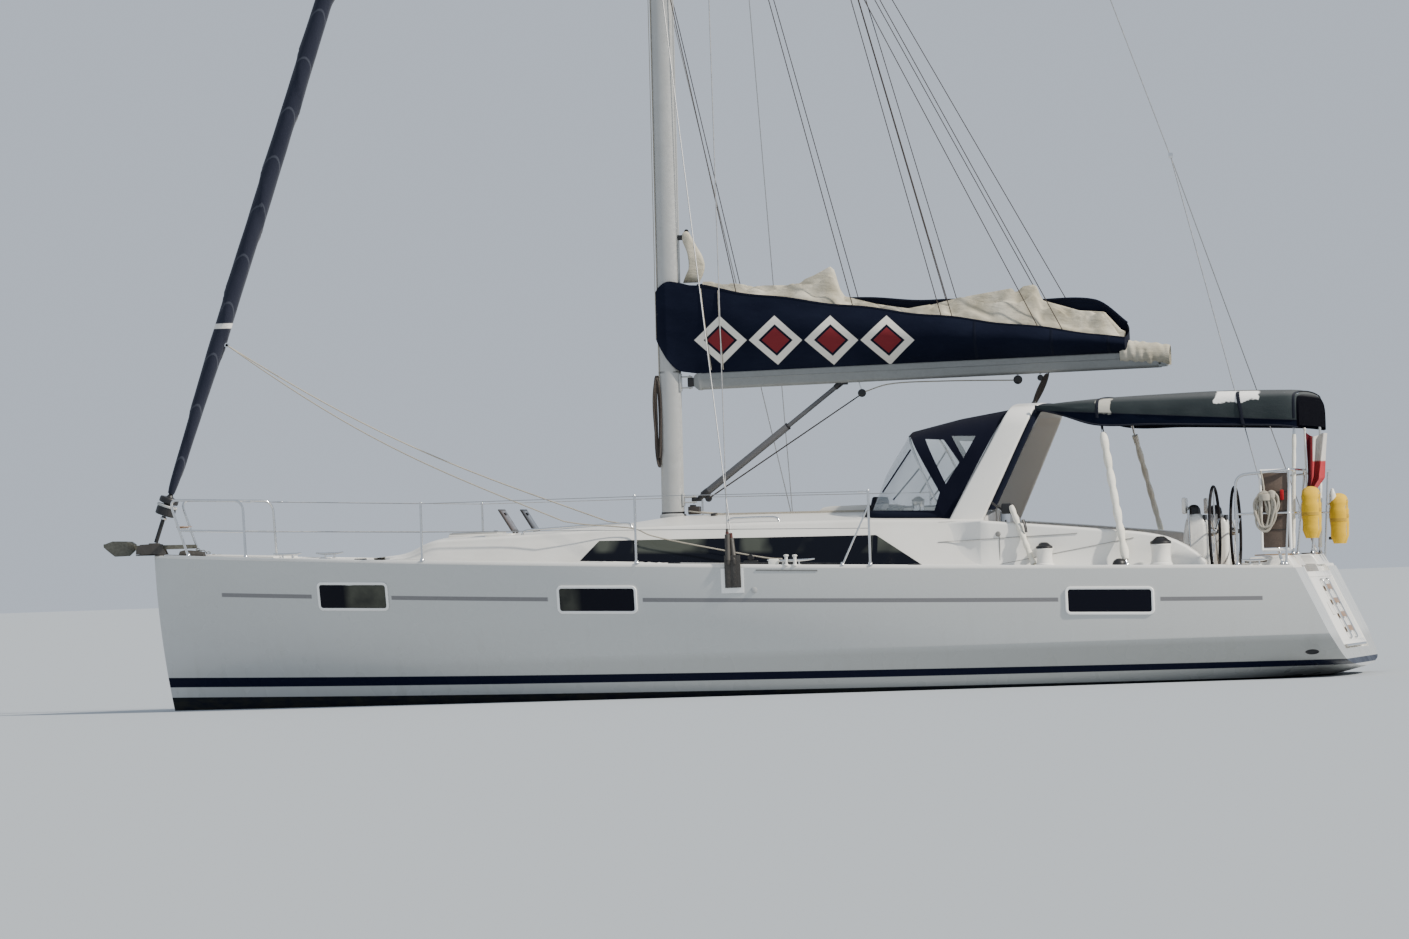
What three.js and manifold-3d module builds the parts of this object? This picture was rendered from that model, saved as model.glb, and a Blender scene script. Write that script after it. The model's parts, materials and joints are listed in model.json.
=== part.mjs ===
// Sailing yacht afloat. Millimetres, +Z up, +X aft, +Y to starboard.
// The origin lies on the waterline and the centreline, ORIGIN_STATION aft of the stem head.
// A station is a distance aft of the stem head.
import * as THREE from "three";
import { mergeVertices } from "three/addons/utils/BufferGeometryUtils.js";
import ManifoldModule from "manifold-3d";

const library = await ManifoldModule();
library.setup();

// Driving dimensions
const ORIGIN_STATION = 6000;
const GAP = 0.3; // clearance between pieces that touch
const RUN = 0.5; // running clearance at hinges and hubs
const BOW_SHEER = 1518;
const STERN_STATION = 11538;
const TRANSOM_SLOPE = 0.4772;
const TRANSOM_TOP = 1050;
const CHINE_Z = 420;
const DECK_THICK = 25;
const SOLE_Z = 620;
const WELL_HALF = 1360;
const WELL_FRONT = 8500;
const WELL_BACK = 11050;
const PASSAGE_HALF = 560;
const MAST_TOP = 18200;
const MAST_FORE_AFT = 225;
const MAST_ACROSS = 135;
const GOOSENECK_STATION = 5438;
const GOOSENECK_Z = 3065;
const STAY_LOW = { station: 95, z: 1893 };
const STAY_HIGH = { station: 5215, z: 16290 };
const RUDDER_STATION = 10750;
const WHEEL = { station: 10665, side: 900, z: 1425, radius: 430, rim: 15 };
const PROP = { station: 7910, z: -800, radius: 215 };
const WIRE = 5; // radius of the standing rigging
const TUBE = 13; // radius of the stainless tubing

const x = (station) => station - ORIGIN_STATION;

function rows(names, values) {
  return values.map((row) => Object.fromEntries(names.map((name, i) => [name, row[i]])));
}

// Hermite interpolation of one column, with slopes from the neighbouring rows
function smooth(table, column, station) {
  const last = table.length - 1;
  let i = 0;
  while (i < last - 1 && table[i + 1].station < station) i += 1;
  const slope = (k) => {
    const before = table[Math.max(k - 1, 0)];
    const after = table[Math.min(k + 1, last)];
    return (after[column] - before[column]) / (after.station - before.station);
  };
  const [a, b] = [table[i], table[i + 1]];
  const width = b.station - a.station;
  const t = THREE.MathUtils.clamp((station - a.station) / width, 0, 1);
  const h = t * t * (3 - 2 * t);
  const ends = a[column] * (1 - h) + b[column] * h;
  return ends + width * t * (1 - t) * (slope(i) * (1 - t) - slope(i + 1) * t);
}

// Straight interpolation of one column
function straight(table, column, station) {
  const last = table.length - 1;
  let i = 0;
  while (i < last - 1 && table[i + 1].station < station) i += 1;
  const [a, b] = [table[i], table[i + 1]];
  const t = THREE.MathUtils.clamp((station - a.station) / (b.station - a.station), 0, 1);
  return a[column] + (b[column] - a[column]) * t;
}

// Geometry helpers
function signedVolume(geometry) {
  const p = geometry.attributes.position;
  const index = geometry.index.array;
  const [a, b, c] = [new THREE.Vector3(), new THREE.Vector3(), new THREE.Vector3()];
  let volume = 0;
  for (let i = 0; i < index.length; i += 3) {
    a.fromBufferAttribute(p, index[i]);
    b.fromBufferAttribute(p, index[i + 1]);
    c.fromBufferAttribute(p, index[i + 2]);
    volume += a.dot(b.cross(c)) / 6;
  }
  return volume;
}

function closedMesh(positions, index) {
  const geometry = new THREE.BufferGeometry();
  geometry.setAttribute("position", new THREE.Float32BufferAttribute(positions, 3));
  geometry.setIndex(index);
  if (signedVolume(geometry) < 0) {
    for (let i = 0; i < index.length; i += 3) [index[i], index[i + 1]] = [index[i + 1], index[i]];
    geometry.setIndex(index);
  }
  return geometry;
}

// A skin over rings of equal count, with each end closed by a fan about its middle.
// The diagonals of the second half mirror those of the first.
function loft(rings) {
  const count = rings[0].length;
  const positions = rings.flat(2);
  const index = [];
  for (let r = 0; r + 1 < rings.length; r += 1) {
    for (let j = 0; j < count; j += 1) {
      const k = (j + 1) % count;
      const [a, b, c, d] = [r * count + j, r * count + k, (r + 1) * count + k, (r + 1) * count + j];
      index.push(...(2 * j + 1 < count ? [a, b, c, a, c, d] : [a, b, d, b, c, d]));
    }
  }
  [0, rings.length - 1].forEach((r) => {
    const middle = positions.length / 3;
    for (let axis = 0; axis < 3; axis += 1) {
      positions.push(rings[r].reduce((sum, point) => sum + point[axis], 0) / count);
    }
    for (let j = 0; j < count; j += 1) {
      const k = (j + 1) % count;
      const edge = r === 0 ? [r * count + k, r * count + j] : [r * count + j, r * count + k];
      index.push(...edge, middle);
    }
  });
  return closedMesh(positions, index);
}

// A sheet between two grids of points with the same rows and columns
function plate(upper, lower) {
  const [height, width] = [upper.length, upper[0].length];
  const positions = [...upper.flat(2), ...lower.flat(2)];
  const index = [];
  const up = (i, j) => i * width + j;
  const down = (i, j) => height * width + i * width + j;
  const quad = (a, b, c, d) => index.push(a, b, c, a, c, d);
  for (let i = 0; i + 1 < height; i += 1) {
    for (let j = 0; j + 1 < width; j += 1) {
      const upper4 = [up(i, j), up(i + 1, j), up(i + 1, j + 1), up(i, j + 1)];
      const lower4 = [down(i, j), down(i, j + 1), down(i + 1, j + 1), down(i + 1, j)];
      const turn = ([first, ...others]) => [...others, first];
      const mirror = 2 * j + 1 >= width;
      quad(...(mirror ? turn(upper4) : upper4));
      quad(...(mirror ? turn(lower4) : lower4));
    }
    quad(up(i, 0), down(i, 0), down(i + 1, 0), up(i + 1, 0));
    quad(up(i + 1, width - 1), down(i + 1, width - 1), down(i, width - 1), up(i, width - 1));
  }
  for (let j = 0; j + 1 < width; j += 1) {
    quad(up(0, j + 1), down(0, j + 1), down(0, j), up(0, j));
    quad(up(height - 1, j), down(height - 1, j), down(height - 1, j + 1), up(height - 1, j + 1));
  }
  return closedMesh(positions, index);
}

function box(low, high) {
  const size = high.map((value, i) => value - low[i]);
  const middle = high.map((value, i) => (value + low[i]) / 2);
  return new THREE.BoxGeometry(...size).translate(...middle);
}

// A side profile of [station, z] points carried across from yLow to yHigh
function profile(points, yLow, yHigh) {
  const outline = new THREE.Shape(points.map(([station, z]) => new THREE.Vector2(x(station), z)));
  const geometry = new THREE.ExtrudeGeometry(outline, { depth: yHigh - yLow, bevelEnabled: false });
  return geometry.rotateX(Math.PI / 2).translate(0, yHigh, 0);
}

function circle(radius, sides) {
  return Array.from({ length: sides }, (_, i) => {
    const angle = (2 * Math.PI * (i + 0.5)) / sides;
    return new THREE.Vector2(radius * Math.cos(angle), radius * Math.sin(angle));
  });
}

// A path that passes through its nodes in equal steps
class Route extends THREE.Curve {
  constructor(nodes) {
    super();
    this.nodes = nodes.map((node) => new THREE.Vector3(...node));
  }
  getPoint(t) {
    const last = this.nodes.length - 1;
    const place = THREE.MathUtils.clamp(t, 0, 1) * last;
    const i = Math.min(Math.floor(place + 1e-6), last - 1);
    return this.nodes[i].clone().lerp(this.nodes[i + 1], place - i);
  }
  getPointAt(t) {
    return this.getPoint(t);
  }
}

function tube(nodes, radius, sides = 8) {
  return new THREE.ExtrudeGeometry(new THREE.Shape(circle(radius, sides)), {
    steps: nodes.length - 1,
    bevelEnabled: false,
    extrudePath: new Route(nodes),
  });
}

// Nodes with each inner corner turned into a curve of the given reach
function rounded(nodes, reach, segments = 3) {
  const points = nodes.map((node) => new THREE.Vector3(...node));
  const path = [points[0]];
  for (let i = 1; i + 1 < points.length; i += 1) {
    const before = points[i - 1].clone().sub(points[i]);
    const after = points[i + 1].clone().sub(points[i]);
    const enter = points[i].clone().add(before.setLength(Math.min(reach, before.length() * 0.45)));
    const leave = points[i].clone().add(after.setLength(Math.min(reach, after.length() * 0.45)));
    path.push(...new THREE.QuadraticBezierCurve3(enter, points[i], leave).getPoints(segments));
  }
  path.push(points.at(-1));
  return path.map((point) => point.toArray());
}

function rod(from, to, radius, sides = 8) {
  return tube([from, to], radius, sides);
}

// Joins and cuts
function toSolid(geometry) {
  const bare = geometry.clone();
  bare.deleteAttribute("normal");
  bare.deleteAttribute("uv");
  const merged = mergeVertices(bare, 1e-3);
  return new library.Manifold(
    new library.Mesh({
      numProp: 3,
      vertProperties: merged.attributes.position.array,
      triVerts: Uint32Array.from(merged.index.array),
    }),
  );
}

function toGeometry(solid) {
  const mesh = solid.getMesh();
  const geometry = new THREE.BufferGeometry();
  geometry.setAttribute("position", new THREE.BufferAttribute(mesh.vertProperties, 3));
  geometry.setIndex(new THREE.BufferAttribute(mesh.triVerts, 1));
  return geometry;
}

const join = (...pieces) => toGeometry(pieces.map(toSolid).reduce((sum, solid) => sum.add(solid)));
// Cuts the tools away and keeps the largest body that is left
function cut(geometry, ...tools) {
  const rest = tools.map(toSolid).reduce((solid, tool) => solid.subtract(tool), toSolid(geometry));
  return toGeometry(rest.decompose().sort((a, b) => b.volume() - a.volume())[0]);
}
const mirrored = (geometry) => toGeometry(toSolid(geometry).mirror([0, 1, 0]));
const shifted = (geometry, dx, dy, dz) => geometry.clone().translate(dx, dy, dz);

// Materials
const paint = (color, roughness, metalness = 0) => ({ color, roughness, metalness });
const FINISH = {
  gelcoat: paint(0xd9dad6, 0.3),
  deck: paint(0xe4e2da, 0.45),
  antifoul: paint(0x15171f, 0.8),
  iron: paint(0x20232b, 0.8),
  glass: paint(0x14171c, 0.08),
  alloy: paint(0xb9bab6, 0.35, 0.8),
  steel: paint(0xc3c5c6, 0.2, 1),
  wire: paint(0x8f9294, 0.35, 0.9),
  navy: paint(0x17203a, 0.85),
  canopy: paint(0x252c3c, 0.85),
  bronze: paint(0x8c6f3c, 0.4, 0.9),
  teak: paint(0x9a6b3f, 0.6),
  black: paint(0x1b1c1e, 0.5),
  foam: paint(0xe3bd3e, 0.6),
  flag: paint(0xb5303a, 0.8),
  smoked: paint(0x2a2523, 0.15),
};

const yacht = new THREE.Group();

function piece(name, geometry, finish) {
  const mesh = new THREE.Mesh(geometry, new THREE.MeshStandardMaterial(FINISH[finish]));
  mesh.name = name;
  yacht.add(mesh);
}

function pair(name, starboard, finish) {
  piece(`${name}_stbd`, starboard, finish);
  piece(`${name}_port`, mirrored(starboard), finish);
}

// Hull form: half breadths at the sheer, half way down the topside, at the chine, on the water
// and at the bilge, with the heights of the last three points of each section
const HULL = rows(
  ["station", "sheer", "mid", "chine", "water", "waterZ", "bilge", "bilgeZ", "keelZ"],
  [
    [0, 14, 14, 14, 14, 0, 13, -15, -30],
    [500, 440, 330, 215, 110, 0, 60, -100, -160],
    [1200, 880, 730, 545, 375, 0, 205, -185, -270],
    [2200, 1345, 1205, 1000, 790, 0, 465, -265, -370],
    [3500, 1710, 1620, 1450, 1230, 0, 765, -330, -440],
    [4700, 1915, 1855, 1730, 1510, 0, 970, -365, -480],
    [6000, 2040, 2000, 1910, 1700, 0, 1130, -375, -500],
    [7500, 2098, 2078, 2020, 1815, 0, 1230, -345, -470],
    [9000, 2080, 2070, 2035, 1805, 0, 1225, -285, -390],
    [10500, 2000, 1996, 1975, 1680, 20, 1120, -140, -240],
    [11538, 1900, 1896, 1880, 1600, 200, 1000, 115, 82],
  ],
);

const sheerZ = (station) => BOW_SHEER - 0.0535 * station + 1.16e-6 * station * station;
const deckTop = (station) => sheerZ(station) + DECK_THICK + GAP;

// The stem curves aft below the sheer, and the transom rakes aft towards the water
function raked(station, z) {
  const drop = BOW_SHEER - z;
  const bow = (0.022 * drop + 5.36e-5 * drop * drop) * Math.max(0, 1 - station / 1000);
  const stern = (TRANSOM_TOP - z) * TRANSOM_SLOPE * Math.max(0, (station - 10600) / (STERN_STATION - 10600));
  return x(station) + bow + stern;
}

function topsideHalf(station, z) {
  const [a, b, c] = ["sheer", "mid", "chine"].map((name) => smooth(HULL, name, station));
  const t = (sheerZ(station) - z) / (sheerZ(station) - CHINE_Z);
  return a * (1 - t) * (1 - 2 * t) + 4 * b * t * (1 - t) + c * t * (2 * t - 1);
}

function hullSection(station) {
  const value = (name) => smooth(HULL, name, station);
  const half = [];
  for (let t = 0; t < 1; t += 0.25) {
    const z = sheerZ(station) + (CHINE_Z - sheerZ(station)) * t;
    half.push([topsideHalf(station, z), z]);
  }
  const bottom = new THREE.CatmullRomCurve3([
    new THREE.Vector3(value("chine"), CHINE_Z),
    new THREE.Vector3(value("water"), value("waterZ")),
    new THREE.Vector3(value("bilge"), value("bilgeZ")),
    new THREE.Vector3(0, value("keelZ")),
  ]);
  half.push(...bottom.getPoints(9).map((point) => [point.x, point.y]));
  const starboard = half.map(([y, z]) => [raked(station, z), y, z]);
  const port = half.slice(0, -1).map(([y, z]) => [raked(station, z), -y, z]);
  return [...starboard, ...port.reverse()];
}

const HULL_STATIONS = [
  0, 120, 280, 500, 800, 1200, 1700, 2200, 2800, 3500, 4100, 4700, 5350, 6000, 6750, 7500, 8250, 9000, 9750,
  10500, 11000, 11300, STERN_STATION,
];

// Cockpit well, open aft through the middle of the transom
const VOID_TOP = 2600;
function cockpitVoid(margin) {
  const well = box(
    [x(WELL_FRONT) - margin, -WELL_HALF - margin, SOLE_Z - margin],
    [x(WELL_BACK) + margin, WELL_HALF + margin, VOID_TOP]);
  const passage = box(
    [x(WELL_BACK) - 50, -PASSAGE_HALF - margin, SOLE_Z - margin],
    [x(12600), PASSAGE_HALF + margin, VOID_TOP]);
  return join(well, passage);
}

// Swim platform, drawn in the plane of the transom: up is measured from its hinge
const PLATFORM = { half: 1100, low: 290, length: 800, thick: 45 };
const slopeLength = Math.hypot(1, TRANSOM_SLOPE);
const transomUp = new THREE.Vector3(-TRANSOM_SLOPE / slopeLength, 0, 1 / slopeLength);
const transomOut = new THREE.Vector3(1 / slopeLength, 0, TRANSOM_SLOPE / slopeLength);
const platformHinge = new THREE.Vector3(
  x(STERN_STATION) + (TRANSOM_TOP - PLATFORM.low) * TRANSOM_SLOPE, 0, PLATFORM.low);

function transomSlab(half, low, high, inner, outer) {
  const corner = (up, out, y) =>
    platformHinge.clone().addScaledVector(transomUp, up).addScaledVector(transomOut, out).setY(y).toArray();
  const ring = (y) => [
    corner(low, inner, y), corner(high, inner, y), corner(high, outer, y), corner(low, outer, y)];
  return loft([ring(-half), ring(half)]);
}

const platformRecess = transomSlab(
  PLATFORM.half + 8, -30, PLATFORM.length + 500, -PLATFORM.thick - RUN, 60);
const rudderBore = rod([x(RUDDER_STATION), 0, -500], [x(RUDDER_STATION), 0, 120], 41, 24);
const plainHull = loft(HULL_STATIONS.map(hullSection));
const hull = cut(plainHull, cockpitVoid(0), platformRecess, rudderBore);
piece("hull", hull, "gelcoat");

function deckPlate() {
  const stations = HULL_STATIONS.slice(0, -1).concat(STERN_STATION - 15);
  const ring = (station) => {
    const half = smooth(HULL, "sheer", station) - 2;
    const low = sheerZ(station) + GAP;
    const high = low + DECK_THICK;
    return [
      [raked(station, low), -half, low],
      [raked(station, low), half, low],
      [raked(station, low), half - 8, high],
      [raked(station, low), -half + 8, high],
    ];
  };
  return cut(loft(stations.map(ring)), cockpitVoid(0), platformRecess);
}

// Cockpit coamings and stern seats stand on the deck as one moulding with it
const COAMING = rows(
  ["station", "outer", "inner", "top"],
  [
    [8486, 1600, 1372, 1606],
    [9600, 1592, 1380, 1492],
    [10200, 1575, 1385, 1412],
    [10480, 1560, 1388, 1290],
    [10640, 1550, 1390, 1150],
  ],
);
function coaming() {
  return loft(COAMING.map(({ station, outer, inner, top }) => {
    const foot = deckTop(station) - 8;
    return [
      [x(station), inner, foot],
      [x(station), outer, foot],
      [x(station), outer - (40 * (top - foot)) / 500, top - 20],
      [x(station), outer - 60, top],
      [x(station), inner + 20, top],
    ];
  }));
}

const STERN_SEAT = { front: 11056, back: 11505, inner: 590, outer: 1660, top: 1180 };
function sternSeat() {
  const { front, back, inner, outer, top } = STERN_SEAT;
  return profile(
    [[front, deckTop(front) - 8], [front, top - 15], [back - 50, top], [back, deckTop(back) - 8]],
    inner, outer);
}

const deck = join(deckPlate(), coaming(), mirrored(coaming()), sternSeat(), mirrored(sternSeat()));
piece("deck", deck, "deck");

// Keel with its bulb: chord from front to back, half thickness
const FIN = rows(
  ["z", "front", "back", "half"],
  [
    [-380, 4700, 6480, 75],
    [-900, 4790, 6400, 72],
    [-1950, 4960, 6270, 66],
  ],
);

function foilRing({ z, front, back, half }) {
  const thickness = [
    [0, 0.12], [0.08, 0.62], [0.3, 1], [0.6, 0.72], [1, 0.06],
  ];
  const side = (sign) => thickness.map(([t, part]) => [x(front + (back - front) * t), sign * half * part, z]);
  return [...side(1), ...side(-1).reverse()];
}

function bulb() {
  const shape = rows(
    ["t", "part"],
    [[0, 0.05], [0.06, 0.5], [0.2, 0.88], [0.42, 1], [0.7, 0.8], [0.9, 0.38], [1, 0.05]],
  );
  const rings = shape.map(({ t, part }) =>
    circle(1, 12).map((point) => [x(4520 + 2260 * t), 205 * part * point.x, -2040 + 150 * part * point.y]));
  return loft(rings);
}

piece("keel", cut(join(loft(FIN.map(foilRing)), bulb()), shifted(plainHull, 0, 0, -GAP)), "iron");

// Coachroof: half breadths at the deck and at the roof's edge, heights of the edge and the crown
const ROOF = rows(
  ["station", "base", "edge", "edgeZ", "crownZ"],
  [
    [2300, 500, 440, 1436, 1446],
    [2670, 720, 600, 1466, 1482],
    [2930, 840, 700, 1588, 1622],
    [3750, 1100, 930, 1605, 1645],
    [4770, 1360, 1130, 1640, 1695],
    [5250, 1430, 1190, 1650, 1756],
    [6200, 1510, 1280, 1655, 1760],
    [7300, 1570, 1350, 1650, 1745],
    [8485, 1600, 1385, 1610, 1700],
  ],
);

function roofRing(row) {
  const { station, base, edge, edgeZ, crownZ } = row;
  const foot = deckTop(station) + GAP;
  const side = [
    [base, foot],
    [edge + 18, edgeZ - 22],
    [edge - 25, edgeZ + 8],
    [edge * 0.5, crownZ - (crownZ - edgeZ) * 0.27],
  ];
  const across = [...side, [0, crownZ], ...side.map(([y, z]) => [-y, z]).reverse()];
  return across.map(([y, z]) => [x(station), y, z]);
}

const roofSide = (station, z) => {
  const foot = deckTop(station) + GAP;
  const t = (z - foot) / (straight(ROOF, "edgeZ", station) - 22 - foot);
  return straight(ROOF, "base", station) * (1 - t) + (straight(ROOF, "edge", station) + 18) * t;
};

// Hatches on the coachroof
const FORE_HATCH = { front: 3020, back: 3520, half: 250, padZ: 1646, thick: 20 };
const VENT = { front: 3480, back: 3755, near: 390, far: 750, padZ: 1640, thick: 16, open: 59 };
const SLIDER = { front: 7450, back: 8130, half: 325, padZ: 1757, thick: 24 };

function hatchPads() {
  const vents = [1, -1].map((side) => {
    const [low, high] = [side * VENT.near, side * VENT.far].sort((a, b) => a - b);
    return box([x(VENT.front), low, 1560], [x(VENT.back), high, VENT.padZ]);
  });
  const fore = box(
    [x(FORE_HATCH.front), -FORE_HATCH.half, 1560], [x(FORE_HATCH.back), FORE_HATCH.half, FORE_HATCH.padZ]);
  const runners = box([x(7300), -370, 1600], [x(8170), 370, SLIDER.padZ]);
  const garage = cut(
    profile([[6720, 1700], [6760, 1797], [7420, 1802], [7420, 1700]], -375, 375),
    box([x(6800), -332, SLIDER.padZ], [x(7500), 332, SLIDER.padZ + 31]),
  );
  return [...vents, fore, runners, garage];
}

const coachroof = join(loft(ROOF.map(roofRing)), ...hatchPads());
piece("coachroof", coachroof, "deck");

// Windows follow the surface that they are set in; corners are [station, z]
const PANE_THICK = 8;
function pane(surface, carrier, corners, columns) {
  const [lowFront, highFront, highBack, lowBack] = corners.map((corner) => new THREE.Vector2(...corner));
  const grid = (offset) => Array.from({ length: columns + 1 }, (_, i) => {
    const low = lowFront.clone().lerp(lowBack, i / columns);
    const high = highFront.clone().lerp(highBack, i / columns);
    return [0, 0.5, 1].map((up) => {
      const { x: station, y: z } = low.clone().lerp(high, up);
      return [x(station), surface(station, z) + offset, z];
    });
  });
  return cut(plate(grid(PANE_THICK), grid(-20)), shifted(carrier, 0, GAP, 0));
}

const ROOF_WINDOW = [[4530, 1345], [4740, 1532], [7460, 1502], [7905, 1212]];
pair("roof_window", pane(roofSide, loft(ROOF.map(roofRing)), ROOF_WINDOW, 10), "glass");

// Hatch lids, each with a round hinge barrel about its axis
function lid(low, high, hingeStation, hingeZ, barrelHalf) {
  const yMid = (low[1] + high[1]) / 2;
  const end = (side) => [x(hingeStation), yMid + side * barrelHalf, hingeZ];
  return join(box(low, high), rod(end(-1), end(1), 8, 12));
}

const foreZ = FORE_HATCH.padZ + RUN;
piece("fore_hatch", lid(
  [x(FORE_HATCH.front) + 8, -FORE_HATCH.half + 12, foreZ],
  [x(FORE_HATCH.back) - 12, FORE_HATCH.half - 12, foreZ + FORE_HATCH.thick],
  FORE_HATCH.front + 8, foreZ + 9, 180), "glass");

const ventHinge = { station: VENT.back, z: VENT.padZ + 8.5 };
function ventLid() {
  const flat = lid(
    [x(VENT.front) + 10, VENT.near + 12, ventHinge.z - 3],
    [x(VENT.back) - 2, VENT.far - 12, ventHinge.z - 3 + VENT.thick],
    ventHinge.station, ventHinge.z, 120);
  return flat
    .translate(-x(ventHinge.station), 0, -ventHinge.z)
    .rotateY(THREE.MathUtils.degToRad(VENT.open))
    .translate(x(ventHinge.station), 0, ventHinge.z);
}
pair("vent_hatch", ventLid(), "smoked");

piece("companionway_hatch", box(
  [x(SLIDER.front), -SLIDER.half, SLIDER.padZ + GAP],
  [x(SLIDER.back), SLIDER.half, SLIDER.padZ + GAP + SLIDER.thick]), "smoked");
piece("washboard", box([x(WELL_FRONT) + GAP, -310, 760], [x(WELL_FRONT) + 18, 310, 1690]), "smoked");

// Anchor locker lid on the foredeck, hinged at its aft edge
const LOCKER = { front: 560, back: 1330, frontHalf: 200, backHalf: 560, thick: 22 };
function lockerLid() {
  const ring = (station, half) => {
    const low = deckTop(station) + RUN;
    return [
      [x(station), -half, low],
      [x(station), half, low],
      [x(station), half - 8, low + LOCKER.thick],
      [x(station), -half + 8, low + LOCKER.thick],
    ];
  };
  const axisZ = deckTop(LOCKER.back) + 9;
  const barrel = rod([x(LOCKER.back), -400, axisZ], [x(LOCKER.back), 400, axisZ], 8, 12);
  return join(loft([ring(LOCKER.front, LOCKER.frontHalf), ring(LOCKER.back, LOCKER.backHalf)]), barrel);
}
piece("anchor_locker_lid", lockerLid(), "deck");

// Cockpit benches and table
const BENCH = { front: 8522, back: 10150, inner: 740, top: 1030 };
pair("cockpit_bench", box(
  [x(BENCH.front), BENCH.inner, SOLE_Z + GAP], [x(BENCH.back), WELL_HALF - GAP, BENCH.top]), "teak");

const TABLE = { front: 8980, back: 10020, half: 128, top: 1270, leaf: 325, thick: 20 };
piece("cockpit_table", join(
  box([x(TABLE.front), -TABLE.half, TABLE.top - 150], [x(TABLE.back), TABLE.half, TABLE.top]),
  box([x(TABLE.front) + 140, -60, SOLE_Z + GAP], [x(TABLE.front) + 230, 60, TABLE.top - 100]),
  box([x(TABLE.back) - 230, -60, SOLE_Z + GAP], [x(TABLE.back) - 140, 60, TABLE.top - 100]),
), "gelcoat");
const leafAxis = { y: TABLE.half + 9.5, z: TABLE.top - TABLE.thick };
function tableLeaf() {
  const barrel = rod(
    [x(TABLE.front) + 60, leafAxis.y, leafAxis.z], [x(TABLE.back) - 60, leafAxis.y, leafAxis.z], 9, 12);
  return join(barrel, box(
    [x(TABLE.front), leafAxis.y, leafAxis.z - TABLE.leaf],
    [x(TABLE.back), leafAxis.y + TABLE.thick, leafAxis.z]));
}
pair("table_leaf", tableLeaf(), "teak");

// Steering pedestals and wheels
const PEDESTAL = rows(
  ["z", "front", "back", "half"],
  [
    [SOLE_Z + GAP, 10310, 10620, 150],
    [1150, 10345, 10605, 128],
    [1500, 10385, 10600, 108],
    [1600, 10420, 10560, 85],
  ],
);
const BOSS_END = WHEEL.station - 45;
function pedestal() {
  const rings = PEDESTAL.map(({ z, front, back, half }) => [
    [x(front) + 30, WHEEL.side - half, z],
    [x(back), WHEEL.side - half, z],
    [x(back), WHEEL.side + half, z],
    [x(front) + 30, WHEEL.side + half, z],
    [x(front), WHEEL.side + half * 0.7, z],
    [x(front), WHEEL.side - half * 0.7, z],
  ]);
  return join(loft(rings), rod([x(10500), WHEEL.side, WHEEL.z], [x(BOSS_END), WHEEL.side, WHEEL.z], 34, 16));
}
pair("pedestal", pedestal(), "gelcoat");

function wheel() {
  const { station, side, z, radius, rim: thick } = WHEEL;
  const rim = new THREE.TorusGeometry(radius, thick, 6, 28)
    .rotateY(Math.PI / 2).translate(x(station), side, z);
  const hub = rod([x(BOSS_END) + RUN, side, z], [x(station) + 30, side, z], 42, 16);
  const spokes = [0, 1, 2, 3, 4].map((i) => {
    const angle = Math.PI / 2 + (2 * Math.PI * i) / 5;
    const [dy, dz] = [Math.cos(angle) * radius, Math.sin(angle) * radius];
    return rod([x(station), side, z], [x(station), side + dy, z + dz], 8, 6);
  });
  return join(hub, ...spokes, rim);
}
pair("wheel", wheel(), "black");

// Underwater gear
function saildrive() {
  const leg = rows(
    ["z", "front", "back", "half"],
    [[-300, 7480, 7860, 55], [-640, 7560, 7860, 45], [-860, 7620, 7850, 38]],
  );
  const girths = [[7500, 8], [7540, 34], [7640, 55], [7800, 58], [PROP.station - RUN, 44]];
  const torpedo = loft(girths.map(([station, r]) =>
    circle(r, 12).map((point) => [x(station), point.x, PROP.z + point.y])));
  return cut(join(loft(leg.map(foilRing)), torpedo), shifted(plainHull, 0, 0, -GAP));
}
piece("saildrive", saildrive(), "alloy");

function propeller() {
  const hub = loft([[0, 43], [75, 40], [100, 12]].map(([aft, r]) =>
    circle(r, 12).map((point) => [x(PROP.station + aft), point.x, PROP.z + point.y])));
  const blades = [0, 1, 2].map((i) => {
    const outline = [[25, 34], [95, 62], [165, 60], [PROP.radius, 0], [165, -60], [95, -62], [25, -34]];
    const shape = new THREE.Shape(outline.map(([out, side]) => new THREE.Vector2(side, out)));
    return new THREE.ExtrudeGeometry(shape, { depth: 8, bevelEnabled: false })
      .translate(0, 0, -4)
      .rotateY(THREE.MathUtils.degToRad(58))
      .rotateX(THREE.MathUtils.degToRad(90 + 120 * i))
      .translate(x(PROP.station + 42), 0, PROP.z);
  });
  return join(hub, ...blades);
}
piece("propeller", propeller(), "bronze");

const BLADE = rows(
  ["z", "front", "back", "half"],
  [
    [-60, 10490, 11130, 46],
    [-900, 10530, 11070, 40],
    [-1600, 10580, 10985, 30],
    [-1780, 10620, 10950, 22],
  ],
);
function rudder() {
  const blade = cut(loft(BLADE.map(foilRing)), shifted(plainHull, 0, 0, -40));
  const stock = rod([x(RUDDER_STATION), 0, -700], [x(RUDDER_STATION), 0, 100], 40, 24);
  return join(blade, stock);
}
piece("rudder", rudder(), "antifoul");

// Swim platform
function swimPlatform() {
  const slab = transomSlab(PLATFORM.half, 12, PLATFORM.length, -PLATFORM.thick, 0);
  const hinge = platformHinge.toArray();
  const barrel = rod([hinge[0], -900, hinge[2]], [hinge[0], 900, hinge[2]], 14, 12);
  return join(slab, barrel);
}
piece("swim_platform", swimPlatform(), "gelcoat");

// Arch over the companionway; wide is its fore and aft width
const ARCH_THICK = 60;
const ARCH = rows(
  ["y", "z", "wide"],
  [
    [1322, 1560, 342],
    [1255, 2000, 310],
    [1190, 2420, 272],
    [1150, 2565, 262],
    [1060, 2650, 254],
    [900, 2684, 250],
    [0, 2700, 250],
  ],
);
const archStation = (z) => 8312 + (z - 1610) * 0.519;

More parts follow.
